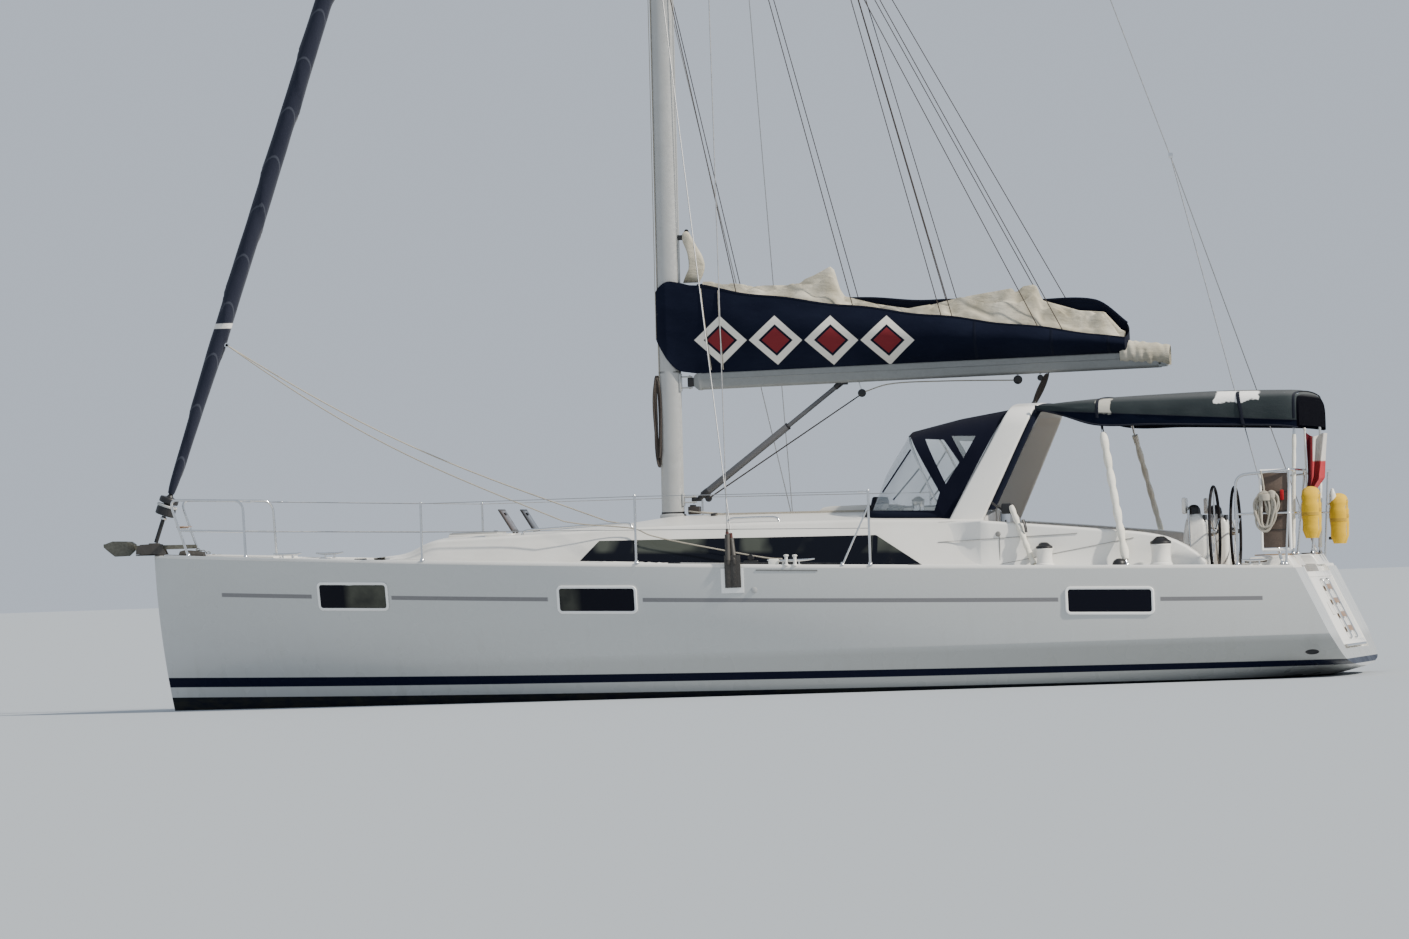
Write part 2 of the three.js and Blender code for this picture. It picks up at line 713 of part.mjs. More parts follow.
function arch() {
  const all = [...ARCH, ...ARCH.slice(0, -1).map((row) => ({ ...row, y: -row.y })).reverse()];
  const rings = all.map(({ y, z, wide }, i) => {
    const before = all[Math.max(i - 1, 0)];
    const after = all[Math.min(i + 1, all.length - 1)];
    const out = new THREE.Vector2(-(after.z - before.z), after.y - before.y).normalize();
    const station = archStation(z);
    const [w, t] = [wide / 2, ARCH_THICK / 2];
    const inside = [[-w, -t / 2], [-w + 25, -t], [w - 25, -t], [w, -t / 2]];
    const outside = [[w, t / 2], [w - 25, t], [-w + 25, t], [-w, t / 2]];
    return [...inside, ...outside]
      .map(([along, off]) => [x(station + along), y + out.x * off, z + out.y * off]);
  });
  return cut(loft(rings), shifted(coachroof, 0, 0, GAP));
}
const archBody = arch();
piece("arch", archBody, "gelcoat");

// Sprayhood: hoops of the same shape lean forward and aft from its foot
const HOOD = { half: 1265, foot: 1600, front: 7283, shape: 0.6, shrink: 0.984 };
const HOOD_ROWS = rows(
  ["station", "height", "reach", "half"],
  [
    [8078, 0, HOOD.front - 8078, 1235],
    [8092, 460, 7480 - 8092, 1250],
    [8106, 890, 7725 - 8106, 1262],
    [8118, 1000, 8210 - 8118, 1265],
    [8128, 1078, 8722 - 8128, 1265],
  ],
);
function sprayhood() {
  const grid = (scale) => HOOD_ROWS.map(({ station, height, reach, half }) =>
    Array.from({ length: 15 }, (_, i) => {
      const angle = -Math.PI / 2 + (Math.PI * i) / 14;
      const rise = Math.max(0, Math.cos(angle)) ** HOOD.shape;
      const side = Math.sign(Math.sin(angle)) * Math.abs(Math.sin(angle)) ** HOOD.shape;
      const flat = height === 0 ? Math.max(0, Math.cos(angle)) ** 0.8 : rise;
      return [
        x(7950) + (x(station + reach * flat) - x(7950)) * scale,
        side * half * scale,
        HOOD.foot + height * rise * scale,
      ];
    }));
  return cut(plate(grid(1), grid(HOOD.shrink)), shifted(coachroof, 0, 0, GAP), shifted(archBody, -GAP, 0, 0));
}
piece("sprayhood", sprayhood(), "navy");

// Bimini canopy over two hoops
const BIMINI = rows(
  ["station", "top", "low", "half"],
  [
    [9006, 2722, 2660, 1160],
    [9240, 2742, 2600, 1215],
    [9600, 2765, 2488, 1265],
    [10150, 2786, 2474, 1275],
    [10760, 2798, 2448, 1275],
    [11350, 2782, 2420, 1268],
    [11480, 2768, 2404, 1258],
    [11545, 2728, 2392, 1235],
  ],
);
const hoopZ = (station) => straight(BIMINI, "top", station) - 22;
function hoop(footStation, footY, footZ, kneeStation, kneeY, topStation) {
  const side = [
    [x(footStation), footY, footZ],
    [x(kneeStation), kneeY, 2500],
    [x(topStation), kneeY - 150, hoopZ(topStation) - 16],
    [x(topStation), 500, hoopZ(topStation) - 4],
    [x(topStation), 0, hoopZ(topStation)],
  ];
  const far = side.slice(0, -1).map(([px, py, pz]) => [px, -py, pz]).reverse();
  return (radius) => tube(rounded([...side, ...far], 110, 3), radius);
}
const foreHoop = hoop(9908, 1745, deckTop(9908) - 5, 9640, 1205, 9610);
const aftHoop = hoop(11452, 1250, STERN_SEAT.top - 25, 11500, 1190, 11500);

const BACKSTAY_SPLIT = [x(10250), 0, 5100];
const backstayFoot = [x(11400), 1745, deckTop(11400) - 5];
function biminiCanopy() {
  const middle = [x(10400), 0, 1900];
  const grid = (scale) => BIMINI.map(({ station, top, low, half }) => {
    const side = [[half, low], [half + 6, (low + top) / 2], [half - 40, top - 62], [half * 0.62, top - 16]];
    return [...side, [0, top], ...side.map(([y, z]) => [-y, z]).reverse()].map(([y, z]) => [
      middle[0] + (x(station) - middle[0]) * scale,
      y * scale,
      middle[2] + (z - middle[2]) * scale,
    ]);
  });
  const slots = [1, -1].map((side) => rod(
    BACKSTAY_SPLIT, [backstayFoot[0], side * backstayFoot[1], backstayFoot[2]], 30));
  return cut(plate(grid(1), grid(0.984)), foreHoop(TUBE + GAP), aftHoop(TUBE + GAP), ...slots);
}
piece("bimini", biminiCanopy(), "canopy");
piece("bimini_hoop_fore", cut(foreHoop(TUBE), shifted(deck, 0, 0, GAP)), "steel");
piece("bimini_hoop_aft", cut(aftHoop(TUBE), shifted(deck, 0, 0, GAP)), "steel");

// Rails
function pulpit() {
  const side = (sign) => {
    const foot = (station, y) => [x(station), sign * y, deckTop(station) - 5];
    return [
      tube(rounded([
        foot(1080, 715), [x(1060), sign * 690, 2050], [x(220), sign * 250, 2085], foot(400, 262),
      ], 110), TUBE),
      rod([x(1070), sign * 701, 1745], [x(312), sign * 257, 1780], TUBE * 0.8),
    ];
  };
  const step = rod([x(307), -256, 1800], [x(307), 256, 1800], TUBE);
  return cut(join(...side(1), ...side(-1), step), shifted(deck, 0, 0, GAP));
}
const pulpitBody = pulpit();
piece("pulpit", pulpitBody, "steel");

const STANCHIONS = rows(["station", "top"], [[3015, 1965], [5190, 1960], [7480, 1930]]);
function lifelines() {
  const posts = STANCHIONS.map(({ station, top }) => {
    const y = smooth(HULL, "sheer", station) - 38;
    return { foot: [x(station), y, deckTop(station) - 5], head: [x(station), y - 4, top] };
  });
  const start = [x(1062), 693, 2040];
  const lowStart = [x(1070), 701, 1745];
  const lower = posts.map(({ foot, head }) => foot.map((value, i) => (value + head[i]) / 2));
  const last = posts.at(-1);
  return cut(
    join(
      ...posts.map(({ foot, head }) => rod(foot, head, 12.5)),
      tube([start, ...posts.map(({ head }) => [head[0], head[1], head[2] - 12])], 4, 6),
      tube([lowStart, ...lower], 4, 6),
      rod([last.foot[0] - 270, last.foot[1] + 4, deckTop(7210) - 5], [last.head[0], last.head[1], 1780], 9),
    ),
    shifted(pulpitBody, GAP, 0, 0),
    shifted(deck, 0, 0, GAP),
  );
}
pair("lifelines", lifelines(), "steel");

const RAIL = { front: 10985, back: 11530, side: 1812, z: 1990, mid: 1580, inner: 670 };
const BUOY = { side: 1300, half: 130, low: 1330, top: 1770, radius: 50 };
function lifebuoy() {
  const { side, half, low, top, radius } = BUOY;
  const aft = x(RAIL.back) + TUBE + GAP + radius;
  const path = [
    [aft, side - half, low], [aft, side - half, top], [aft, side + half, top], [aft, side + half, low]];
  return tube(rounded(path, 130, 5), radius, 10);
}
const buoyShape = lifebuoy();
pair("lifebuoy", buoyShape, "foam");

function pushpit() {
  const { front, back, side, z, mid, inner } = RAIL;
  const cradle = box(
    [x(back) - 24, BUOY.side - BUOY.half - 30, mid - 12],
    [x(back) + BUOY.radius, BUOY.side + BUOY.half + 30, mid + 12]);
  const legFoot = (station, y) => [x(station), y, deckTop(station) - 5];
  return cut(
    join(
      tube(rounded([
        legFoot(front, side + 50), [x(front), side + 35, z - 40], [x(back), side, z], [x(back), inner, z],
        [x(STERN_SEAT.back) - 70, inner, STERN_SEAT.top - 5]], 110), TUBE),
      tube(rounded([
        [x(front), side + 42, mid], [x(back), side - 6, mid], [x(back) - 30, inner, mid]], 110), TUBE * 0.8),
      rod(legFoot(11440, side - 20), [x(11500), side - 12, z - 6], TUBE),
      cut(cradle, shifted(buoyShape, -GAP, 0, 0)),
    ),
    shifted(deck, 0, 0, GAP),
  );
}
pair("pushpit", pushpit(), "steel");

// Flag at the stern
const STAFF = { y: -760, radius: 9, inset: 1.4 };
function flagstaff() {
  const from = x(RAIL.back) + TUBE + GAP + STAFF.radius - STAFF.inset;
  return rod([from, STAFF.y, 1500], [from, STAFF.y, 2375], STAFF.radius);
}
function flag() {
  const front = x(RAIL.back) + TUBE + GAP + 12;
  const fold = [[0, -8], [45, 18], [90, -22], [132, 14], [168, -6]];
  const strip = (z, row, off) => fold.map(([aft, side]) => [
    front + aft * (1 - 0.12 * row), STAFF.y + side * (1 + 0.4 * row) + off, z - aft * 0.2]);
  const grid = (off) => [2350, 2120, 1830].map((z, row) => strip(z, row, off));
  return plate(grid(4), grid(-4));
}
piece("flag_on_staff", join(flagstaff(), flag()), "flag");

// Winches on the side decks
const WINCH = { station: 10240, y: 1740 };
function winch() {
  const outline = [
    [0, 0], [108, 0], [108, 28], [98, 50], [98, 190], [106, 205], [100, 240], [60, 278], [0, 290]];
  const drum = new THREE.LatheGeometry(outline.map(([r, h]) => new THREE.Vector2(r, h)), 16)
    .rotateX(Math.PI / 2).translate(x(WINCH.station), WINCH.y, deckTop(WINCH.station) - 8);
  return cut(drum, shifted(deck, 0, 0, GAP));
}
pair("winch", winch(), "gelcoat");

// Anchor gear at the stem
const ROLLER = { front: -180, back: 520, half: 55, top: 1664 };
function bowRoller() {
  const floor = profile([
    [ROLLER.front, 1545], [0, deckTop(0) + GAP], [ROLLER.back, deckTop(ROLLER.back) + GAP],
    [ROLLER.back, deckTop(ROLLER.back) + 10], [0, 1556], [ROLLER.front, 1557]], -ROLLER.half, ROLLER.half);
  const cheeks = [1, -1].map((side) => {
    const [low, high] = [side * ROLLER.half, side * (ROLLER.half - 8)].sort((a, b) => a - b);
    return profile(
      [[ROLLER.front, 1546], [ROLLER.front + 30, 1650], [70, ROLLER.top], [130, 1550]], low, high);
  });
  const wheel = rod([x(-120), -50, 1574], [x(-120), 50, 1574], 26, 12);
  const bridge = box([x(-45), -ROLLER.half, ROLLER.top - 9], [x(45), ROLLER.half, ROLLER.top + 3]);
  return cut(join(floor, ...cheeks, wheel, bridge), shifted(plainHull, 0, 0, GAP));
}
piece("bow_roller", bowRoller(), "steel");

function anchor() {
  const shank = profile([[-230, 1599.45], [430, 1599.45], [430, 1640], [-200, 1650]], -12, 12);
  const blade = rows(
    ["station", "half", "low", "top"],
    [[-516, 12, 1640, 1666], [-405, 88, 1545, 1698], [-250, 128, 1548, 1690], [-192, 60, 1600, 1660]],
  );
  const fluke = loft(blade.map(({ station, half, low, top }) => [
    [x(station), -half, top], [x(station), 0, low],
    [x(station), half, top], [x(station), 0, (top + low) / 2 + 20]]));
  return join(shank, fluke);
}
piece("anchor", anchor(), "iron");

// Mast and standing rigging
const mastStation = (z) => 5227 + 0.0091 * (z - 1770);
function mastTube(grow) {
  return loft([1690, 9000, MAST_TOP].map((z) => circle(1, 16).map((point) => [
    x(mastStation(z)) + (MAST_FORE_AFT / 2 + grow) * point.x, (MAST_ACROSS / 2 + grow) * point.y, z])));
}
const VANG_Z = 1914;
function mastFork(z, half, thick, pin) {
  const [front, back] = [mastStation(z) + 90, GOOSENECK_STATION + 24];
  return [
    box([x(front), -26, z + half + RUN], [x(back), 26, z + half + RUN + thick]),
    box([x(front), -26, z - half - RUN - thick], [x(back), 26, z - half - RUN]),
    rod([x(GOOSENECK_STATION), 0, z - half - thick], [x(GOOSENECK_STATION), 0, z + half + thick], pin, 16),
  ];
}
function rigMast() {
  const crane = box([x(mastStation(MAST_TOP)) + 60, -20, MAST_TOP - 90], [x(5770), 20, MAST_TOP - 40]);
  return cut(
    join(mastTube(0), crane, ...mastFork(GOOSENECK_Z, 45, 16, 10), ...mastFork(VANG_Z, 20, 14, 8)),
    shifted(coachroof, 0, 0, GAP),
  );
}
const mastBody = rigMast();
piece("mast", mastBody, "alloy");

const SPREADERS = rows(
  ["name", "z", "station", "y", "chord"],
  [["lower", 7300, 5945, 1130, 118], ["upper", 12300, 5800, 860, 96]],
);
SPREADERS.forEach(({ name, z, station, y, chord }) => {
  const arm = (sign) => {
    const ring = (s, side, wide, thick) => [
      [x(s) - wide / 2, sign * side, z], [x(s), sign * side, z + thick / 2],
      [x(s) + wide / 2, sign * side, z], [x(s), sign * side, z - thick / 2]];
    return loft([ring(mastStation(z) + 60, 40, chord, 34), ring(station - 20, y, chord * 0.6, 22)]);
  };
  const yoke = box([x(mastStation(z)) + 90, -70, z - 14], [x(mastStation(z)) + 150, 70, z + 14]);
  piece(`spreaders_${name}`, cut(join(arm(1), arm(-1), yoke), mastTube(GAP)), "alloy");
});

// Each side's cap shroud and lower shroud meet in the chainplate on the hull's side
const CHAINPLATE = { front: 6070, back: 6212, low: 1045, top: 1300 };
function shrouds() {
  const { front, back, low, top } = CHAINPLATE;
  const side = smooth(HULL, "sheer", back);
  const strap = cut(
    box([x(front), side - 30, low], [x(back), side + 17, top]),
    shifted(plainHull, 0, GAP, 0),
    box([x(front) - 5, side - 60, sheerZ(back) - 8], [x(back) + 5, side + GAP, top + 50]),
  );
  const wireY = side + 9;
  const out = WIRE + 0.8;
  const [lower, upper] = SPREADERS;
  const cap = tube([
    [x(front) + 35, wireY, top - 20],
    [x(lower.station), lower.y + out, lower.z],
    [x(upper.station), upper.y + out, upper.z],
    [x(mastStation(17900)), MAST_ACROSS / 2 - 3, 17900]], WIRE, 6);
  const inner = rod(
    [x(back) - 47, wireY, top - 20], [x(mastStation(7100)), MAST_ACROSS / 2 - 3, 7130], WIRE, 6);
  return cut(join(strap, cap, inner), mastTube(GAP));
}
pair("shrouds", shrouds(), "wire");

function backstay() {
  const [sx, sy, sz] = BACKSTAY_SPLIT;
  const [fx, fy, fz] = backstayFoot;
  return cut(
    join(
      rod([x(5745), 0, MAST_TOP - 85], BACKSTAY_SPLIT, WIRE, 6),
      rod([sx, sy, sz + 4], [fx, fy, fz], WIRE, 6),
      rod([sx, sy, sz + 4], [fx, -fy, fz], WIRE, 6),
      box([sx - 14, -22, sz - 30], [sx + 26, 22, sz + 24]),
    ),
    shifted(deck, 0, 0, GAP),
    shifted(mastBody, 0, 0, -GAP),
  );
}
piece("backstay", backstay(), "wire");

// Forestay, with the furled genoa turning about it
const stayLow = new THREE.Vector3(x(STAY_LOW.station), 0, STAY_LOW.z);
const stayHigh = new THREE.Vector3(x(STAY_HIGH.station), 0, STAY_HIGH.z);
const stayWay = stayHigh.clone().sub(stayLow).normalize();
const stayAt = (z) => stayLow.clone().addScaledVector(stayWay, (z - stayLow.z) / stayWay.z);

function forestay() {
  const wire = rod(stayAt(1600).toArray(), stayAt(16460).toArray(), WIRE, 12);
  const below = box([x(-300), -60, 1400], [x(300), 60, ROLLER.top + 3 + GAP]);
  return cut(wire, shifted(mastTube(0), -GAP, 0, 0), below);
}
piece("forestay", forestay(), "wire");

const FURL = rows(
  ["z", "radius"],
  [
    [1935, 62], [1950, 78], [2060, 78], [2075, 30], [2130, 30], [2150, 24],
    [2300, 46], [2800, 62], [3600, 84], [5000, 92], [7000, 94], [10000, 84],
    [13000, 62], [15200, 34], [15800, 20], [15810, 34], [15950, 34],
  ],
);
function furledGenoa() {
  const along = (z) => (z - FURL[0].z) / stayWay.z;
  const bore = WIRE + 0.9;
  const outline = [
    [bore, 0], ...FURL.map(({ z, radius }) => [radius, along(z)]), [bore, along(FURL.at(-1).z)], [bore, 0]];
  const turn = new THREE.Quaternion().setFromUnitVectors(new THREE.Vector3(0, 1, 0), stayWay);
  return new THREE.LatheGeometry(outline.map(([r, h]) => new THREE.Vector2(r, h)), 14)
    .applyQuaternion(turn).translate(...stayAt(FURL[0].z).toArray());
}
piece("furled_genoa", furledGenoa(), "navy");

// Boom with its vang and the sail in its bag
const BOOM = { front: 5530, back: 10095, low: 2985, rise: 55, deep: 170, half: 55 };
const boomLow = (station) => BOOM.low + (BOOM.rise * (station - BOOM.front)) / (BOOM.back - BOOM.front);
const boomTop = (station) => boomLow(station) + BOOM.deep;

function boom() {
  const spar = loft([BOOM.front, BOOM.back].map((station) => {
    const [low, top, half] = [boomLow(station), boomTop(station), BOOM.half];
    const side = [[half - 20, low], [half, low + 40], [half, top - 30], [half - 18, top]];
    return [...side, ...side.map(([y, z]) => [-y, z]).reverse()].map(([y, z]) => [x(station), y, z]);
  }));
  const eye = box(
    [x(GOOSENECK_STATION) - 22, -22, GOOSENECK_Z - 45], [x(BOOM.front) + 20, 22, GOOSENECK_Z + 45]);
  const end = profile([
    [BOOM.back - 20, 3050], [BOOM.back - 20, 3240], [10120, 3300], [10165, 3300], [10165, 3050]], -26, 26);
  const bore = rod([x(GOOSENECK_STATION), 0, 2900], [x(GOOSENECK_STATION), 0, 3200], 10.8, 16);
  return cut(join(spar, eye, end), bore);
}
const boomBody = boom();
piece("boom", boomBody, "alloy");

function vang() {
  const eye = box([x(GOOSENECK_STATION) - 22, -14, VANG_Z - 20], [x(5515), 14, VANG_Z + 20]);
  const strut = rod([x(5492), 0, VANG_Z + 8], [x(6965), 0, 3025], 27, 10);
  const bore = rod([x(GOOSENECK_STATION), 0, 1800], [x(GOOSENECK_STATION), 0, 2000], 8.8, 16);
  return cut(join(eye, strut), bore, shifted(boomBody, 0, 0, -GAP));
}
piece("vang", vang(), "alloy");

// Heights of the port flap, of the sail's folds and of the starboard flap
const BAG = rows(
  ["station", "port", "folds", "stbd", "half"],
  [
    [5600, 4010, 4060, 4020, 150],
    [6110, 3905, 3960, 3950, 210],
    [6850, 3790, 4090, 3860, 235],
    [7500, 3690, 3840, 3810, 235],
    [8300, 3570, 3760, 3770, 225],
    [8900, 3480, 3850, 3745, 215],
    [9450, 3394, 3640, 3735, 190],
    [9770, 3335, 3360, 3480, 150],
  ],
);
function sailBag() {
  return loft(BAG.map(({ station, port, folds, stbd, half }) => {
    const low = boomTop(station) + GAP;
    return [
      [50, low], [half, low + 90], [half, low + 200], [half - 40, stbd], [0, folds],
      [-half + 40, port], [-half, Math.min(low + 200, port - 10)], [-half, low + 90], [-50, low],
    ].map(([y, z]) => [x(station), y, z]);
  }));
}
piece("sail_bag", sailBag(), "navy");

export default yacht;
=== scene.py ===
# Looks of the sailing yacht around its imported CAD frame.
# Shapes are written in millimetres and turned into metres when a piece is made.
# A station is a distance aft of the stem head; +X aft, +Y to starboard, +Z up.
import json
from math import acos, asin, copysign, cos, hypot, pi, radians, sin, sqrt

import bmesh
import bpy
from mathutils import Matrix, Vector, noise

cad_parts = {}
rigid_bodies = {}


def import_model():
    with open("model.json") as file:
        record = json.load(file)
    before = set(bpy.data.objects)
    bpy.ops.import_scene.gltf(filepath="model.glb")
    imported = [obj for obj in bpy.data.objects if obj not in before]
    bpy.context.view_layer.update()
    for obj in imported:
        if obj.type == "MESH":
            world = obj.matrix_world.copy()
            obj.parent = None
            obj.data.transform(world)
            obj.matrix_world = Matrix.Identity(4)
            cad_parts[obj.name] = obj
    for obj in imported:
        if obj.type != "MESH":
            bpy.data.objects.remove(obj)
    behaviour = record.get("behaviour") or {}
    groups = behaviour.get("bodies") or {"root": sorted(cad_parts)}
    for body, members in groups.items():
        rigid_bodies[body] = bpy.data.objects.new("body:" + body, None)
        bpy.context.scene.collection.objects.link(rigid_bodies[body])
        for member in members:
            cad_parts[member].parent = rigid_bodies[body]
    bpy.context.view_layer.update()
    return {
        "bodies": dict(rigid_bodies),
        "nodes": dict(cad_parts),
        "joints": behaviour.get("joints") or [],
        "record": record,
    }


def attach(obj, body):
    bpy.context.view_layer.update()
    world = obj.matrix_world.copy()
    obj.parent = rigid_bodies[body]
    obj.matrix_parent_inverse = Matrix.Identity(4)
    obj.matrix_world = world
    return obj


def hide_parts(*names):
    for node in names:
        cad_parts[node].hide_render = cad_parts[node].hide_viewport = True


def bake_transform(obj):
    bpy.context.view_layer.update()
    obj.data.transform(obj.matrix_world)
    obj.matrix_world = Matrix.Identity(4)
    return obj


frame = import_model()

MM = 0.001
ORIGIN_STATION = 6000
BOAT, RIG = "boat", "boom_rig"
SIDES = (("stbd", 1), ("port", -1))


def X(station):
    """The frame's x of a station."""
    return station - ORIGIN_STATION


# Camera
FOCAL_PX, IMAGE_WIDTH, SENSOR = 9300, 1409, 36
TURN, PITCH, ROLL = radians(9.7), radians(0.5985), radians(1.922)
CAMERA_AT = (14.926, -89.935, 1.251)


def make_camera():
    """The photo's camera, fitted to the yacht's known points."""
    data = bpy.data.cameras.new("camera")
    data.sensor_width = SENSOR
    data.lens = SENSOR * FOCAL_PX / IMAGE_WIDTH
    data.clip_end = 2000
    right = Vector((cos(TURN), sin(TURN), 0))
    ahead = Vector((-sin(TURN), cos(TURN), 0)) * cos(PITCH) + Vector((0, 0, sin(PITCH)))
    up = right.cross(ahead)
    cam_x = right * cos(ROLL) - up * sin(ROLL)
    cam_y = right * sin(ROLL) + up * cos(ROLL)
    matrix = Matrix((cam_x, cam_y, -ahead)).transposed().to_4x4()
    matrix.translation = CAMERA_AT
    cam = bpy.data.objects.new("camera", data)
    cam.matrix_world = matrix
    bpy.context.scene.collection.objects.link(cam)
    bpy.context.scene.camera = cam


make_camera()


# Tables and curves
def rows(names, values):
    """A table with named columns."""
    return [dict(zip(names, row)) for row in values]


def smooth(table, column, station):
    """A column of the table at a station, on a smooth curve through its rows."""
    last = len(table) - 1
    i = 0
    while i < last - 1 and table[i + 1]["station"] < station:
        i += 1

    def slope(k):
        a, b = table[max(k - 1, 0)], table[min(k + 1, last)]
        return (b[column] - a[column]) / (b["station"] - a["station"])

    a, b = table[i], table[i + 1]
    width = b["station"] - a["station"]
    t = min(max((station - a["station"]) / width, 0), 1)
    h = t * t * (3 - 2 * t)
    return a[column] * (1 - h) + b[column] * h + width * t * (1 - t) * (slope(i) * (1 - t) - slope(i + 1) * t)


def straight(table, column, station):
    """A column of the table at a station, straight between its rows."""
    last = len(table) - 1
    i = 0
    while i < last - 1 and table[i + 1]["station"] < station:
        i += 1
    a, b = table[i], table[i + 1]
    t = min(max((station - a["station"]) / (b["station"] - a["station"]), 0), 1)
    return a[column] + (b[column] - a[column]) * t


def spline(points, steps):
    """A centripetal curve through the points, with that many steps between two of them."""
    pts = [Vector(p) for p in points]
    out = []
    for i in range(len(pts) - 1):
        p1, p2 = pts[i], pts[i + 1]
        p0 = pts[i - 1] if i > 0 else p1 + (p1 - p2)
        p3 = pts[i + 2] if i + 2 < len(pts) else p2 + (p2 - p1)
        d0, d1, d2 = (max((b - a).length, 1e-6) ** 0.5 for a, b in ((p0, p1), (p1, p2), (p2, p3)))
        t1 = ((p1 - p0) / d0 - (p2 - p0) / (d0 + d1) + (p2 - p1) / d1) * d1
        t2 = ((p2 - p1) / d1 - (p3 - p1) / (d1 + d2) + (p3 - p2) / d2) * d1
        for k in range(steps):
            t = k / steps
            square, cube = 3 * (p2 - p1) - 2 * t1 - t2, 2 * (p1 - p2) + t1 + t2
            out.append(p1 + t1 * t + square * t * t + cube * t ** 3)
    return out + [pts[-1]]


def rounded(nodes, reach, segments=6):
    """The nodes with each inner corner turned into a curve."""
    pts = [Vector(n) for n in nodes]
    path = [pts[0]]
    for i in range(1, len(pts) - 1):
        before, after = pts[i - 1] - pts[i], pts[i + 1] - pts[i]
        a = pts[i] + before.normalized() * min(reach, before.length * 0.45)
        b = pts[i] + after.normalized() * min(reach, after.length * 0.45)
        for k in range(segments + 1):
            t = k / segments
            path.append(a * (1 - t) ** 2 + pts[i] * 2 * t * (1 - t) + b * t * t)
    path.append(pts[-1])
    return path


def span(low, high, count):
    """Evenly spaced numbers, both ends included."""
    return [low + (high - low) * i / (count - 1) for i in range(count)]


def turns(count):
    """Angles evenly spaced round a full turn."""
    return [2 * pi * k / count for k in range(count)]


# Shapes
class Shape:
    """Points and faces in millimetres, which become one piece in metres."""

    def __init__(self):
        self.points, self.faces, self.slots = [], [], []

    def add(self, points, faces, mat=0):
        base = len(self.points)
        self.points += [Vector(p) for p in points]
        self.faces += [[base + i for i in face] for face in faces]
        self.slots += [mat] * len(faces)
        return self

    def loft(self, rings, mat=0, caps=True):
        """A skin over rings of equal count."""
        count = len(rings[0])
        faces = []
        for low in range(0, (len(rings) - 1) * count, count):
            for j in range(count):
                k = (j + 1) % count
                faces.append((low + j, low + k, low + count + k, low + count + j))
        if caps:
            last = (len(rings) - 1) * count
            faces += [tuple(range(count))[::-1], tuple(range(last, last + count))]
        return self.add([p for ring in rings for p in ring], faces, mat)

    def tube(self, path, radius, sides=10, mat=0, caps=True, flat=1.0):
        """A round bar along a path; the radius may change along it."""
        pts = [Vector(p) for p in path]
        size = radius if callable(radius) else (lambda t: radius)
        ahead, behind = pts[1:] + pts[-1:], pts[:1] + pts[:-1]
        tangents = [(b - a).normalized() for a, b in zip(behind, ahead)]
        side = tangents[0].cross(Vector((0, 0, 1)))
        if side.length < 1e-3:
            side = tangents[0].cross(Vector((0, 1, 0)))
        side.normalize()
        rings = []
        for i, (p, way) in enumerate(zip(pts, tangents)):
            side = (side - way * side.dot(way)).normalized()
            up = way.cross(side)
            r = size(i / max(len(pts) - 1, 1))
            rings.append([p + (side * cos(a) + up * sin(a) * flat) * r
                          for a in turns(sides)])
        return self.loft(rings, mat, caps)

    def rod(self, a, b, radius, sides=12, mat=0):
        """A straight round bar."""
        return self.tube([a, b], radius, sides, mat)

    def lathe(self, outline, centre, axis=(0, 0, 1), sides=28, mat=0):
        """[radius, height] pairs turned about an axis through the centre."""
        way = Vector(axis).normalized()
        side = way.orthogonal().normalized()
        up = way.cross(side)
        rings = [[Vector(centre) + way * h + (side * cos(a) + up * sin(a)) * max(r, 0.05)
                  for a in turns(sides)] for r, h in outline]
        return self.loft(rings, mat)

    def block(self, low, high, bevel=4, mat=0):
        """A box with rounded edges."""
        bm = bmesh.new()
        bmesh.ops.create_cube(bm, size=1)
        size = Vector([h - l for l, h in zip(low, high)])
        middle = Vector([(h + l) / 2 for l, h in zip(low, high)])
        for v in bm.verts:
            v.co = Vector([v.co[i] * size[i] for i in range(3)])
        if bevel:
            bmesh.ops.bevel(bm, geom=bm.edges[:], offset=min(bevel, min(size) * 0.45), segments=2,
                            profile=0.5, affect="EDGES")
        for v in bm.verts:
            v.co += middle
        bm.verts.index_update()
        self.add([v.co.copy() for v in bm.verts], [[v.index for v in f.verts] for f in bm.faces], mat)
        bm.free()
        return self

    def prism(self, outline, low, high, mat=0):
        """A side profile of [station, z] points carried across from y low to y high."""
        rings = [[(X(s), y, z) for s, z in outline] for y in (low, high)]
        return self.loft(rings, mat)

    def sheet(self, grid, mat=0, thick=0):
        """A sheet over a grid of points; thick makes it solid."""
        height, width = len(grid), len(grid[0])
        pts = [Vector(p) for row in grid for p in row]
        quads = [(i * width + j, i * width + j + 1, (i + 1) * width + j + 1, (i + 1) * width + j)
                 for i in range(height - 1) for j in range(width - 1)]
        if not thick:
            return self.add(pts, quads, mat)
        normals = [Vector() for _ in pts]
        for q in quads:
            n = (pts[q[2]] - pts[q[0]]).cross(pts[q[3]] - pts[q[1]])
            for i in q:
                normals[i] += n
        back = [p - n.normalized() * thick for p, n in zip(pts, normals)]
        total = len(pts)
        edge = ([j for j in range(width)] + [i * width + width - 1 for i in range(1, height)]
                + [(height - 1) * width + j for j in range(width - 2, -1, -1)]
                + [i * width for i in range(height - 2, 0, -1)])
        faces = list(quads) + [tuple(total + i for i in reversed(q)) for q in quads]
        for a, b in zip(edge, edge[1:] + edge[:1]):
            faces.append((b, a, total + a, total + b))
        return self.add(pts + back, faces, mat)

    def mirrored(self):
        """The same shape on the other side of the centreline, added to it."""
        points, faces, slots = list(self.points), list(self.faces), list(self.slots)
        base = len(points)
        self.points += [Vector((p.x, -p.y, p.z)) for p in points]
        self.faces += [[base + i for i in reversed(face)] for face in faces]
        self.slots += slots
        return self

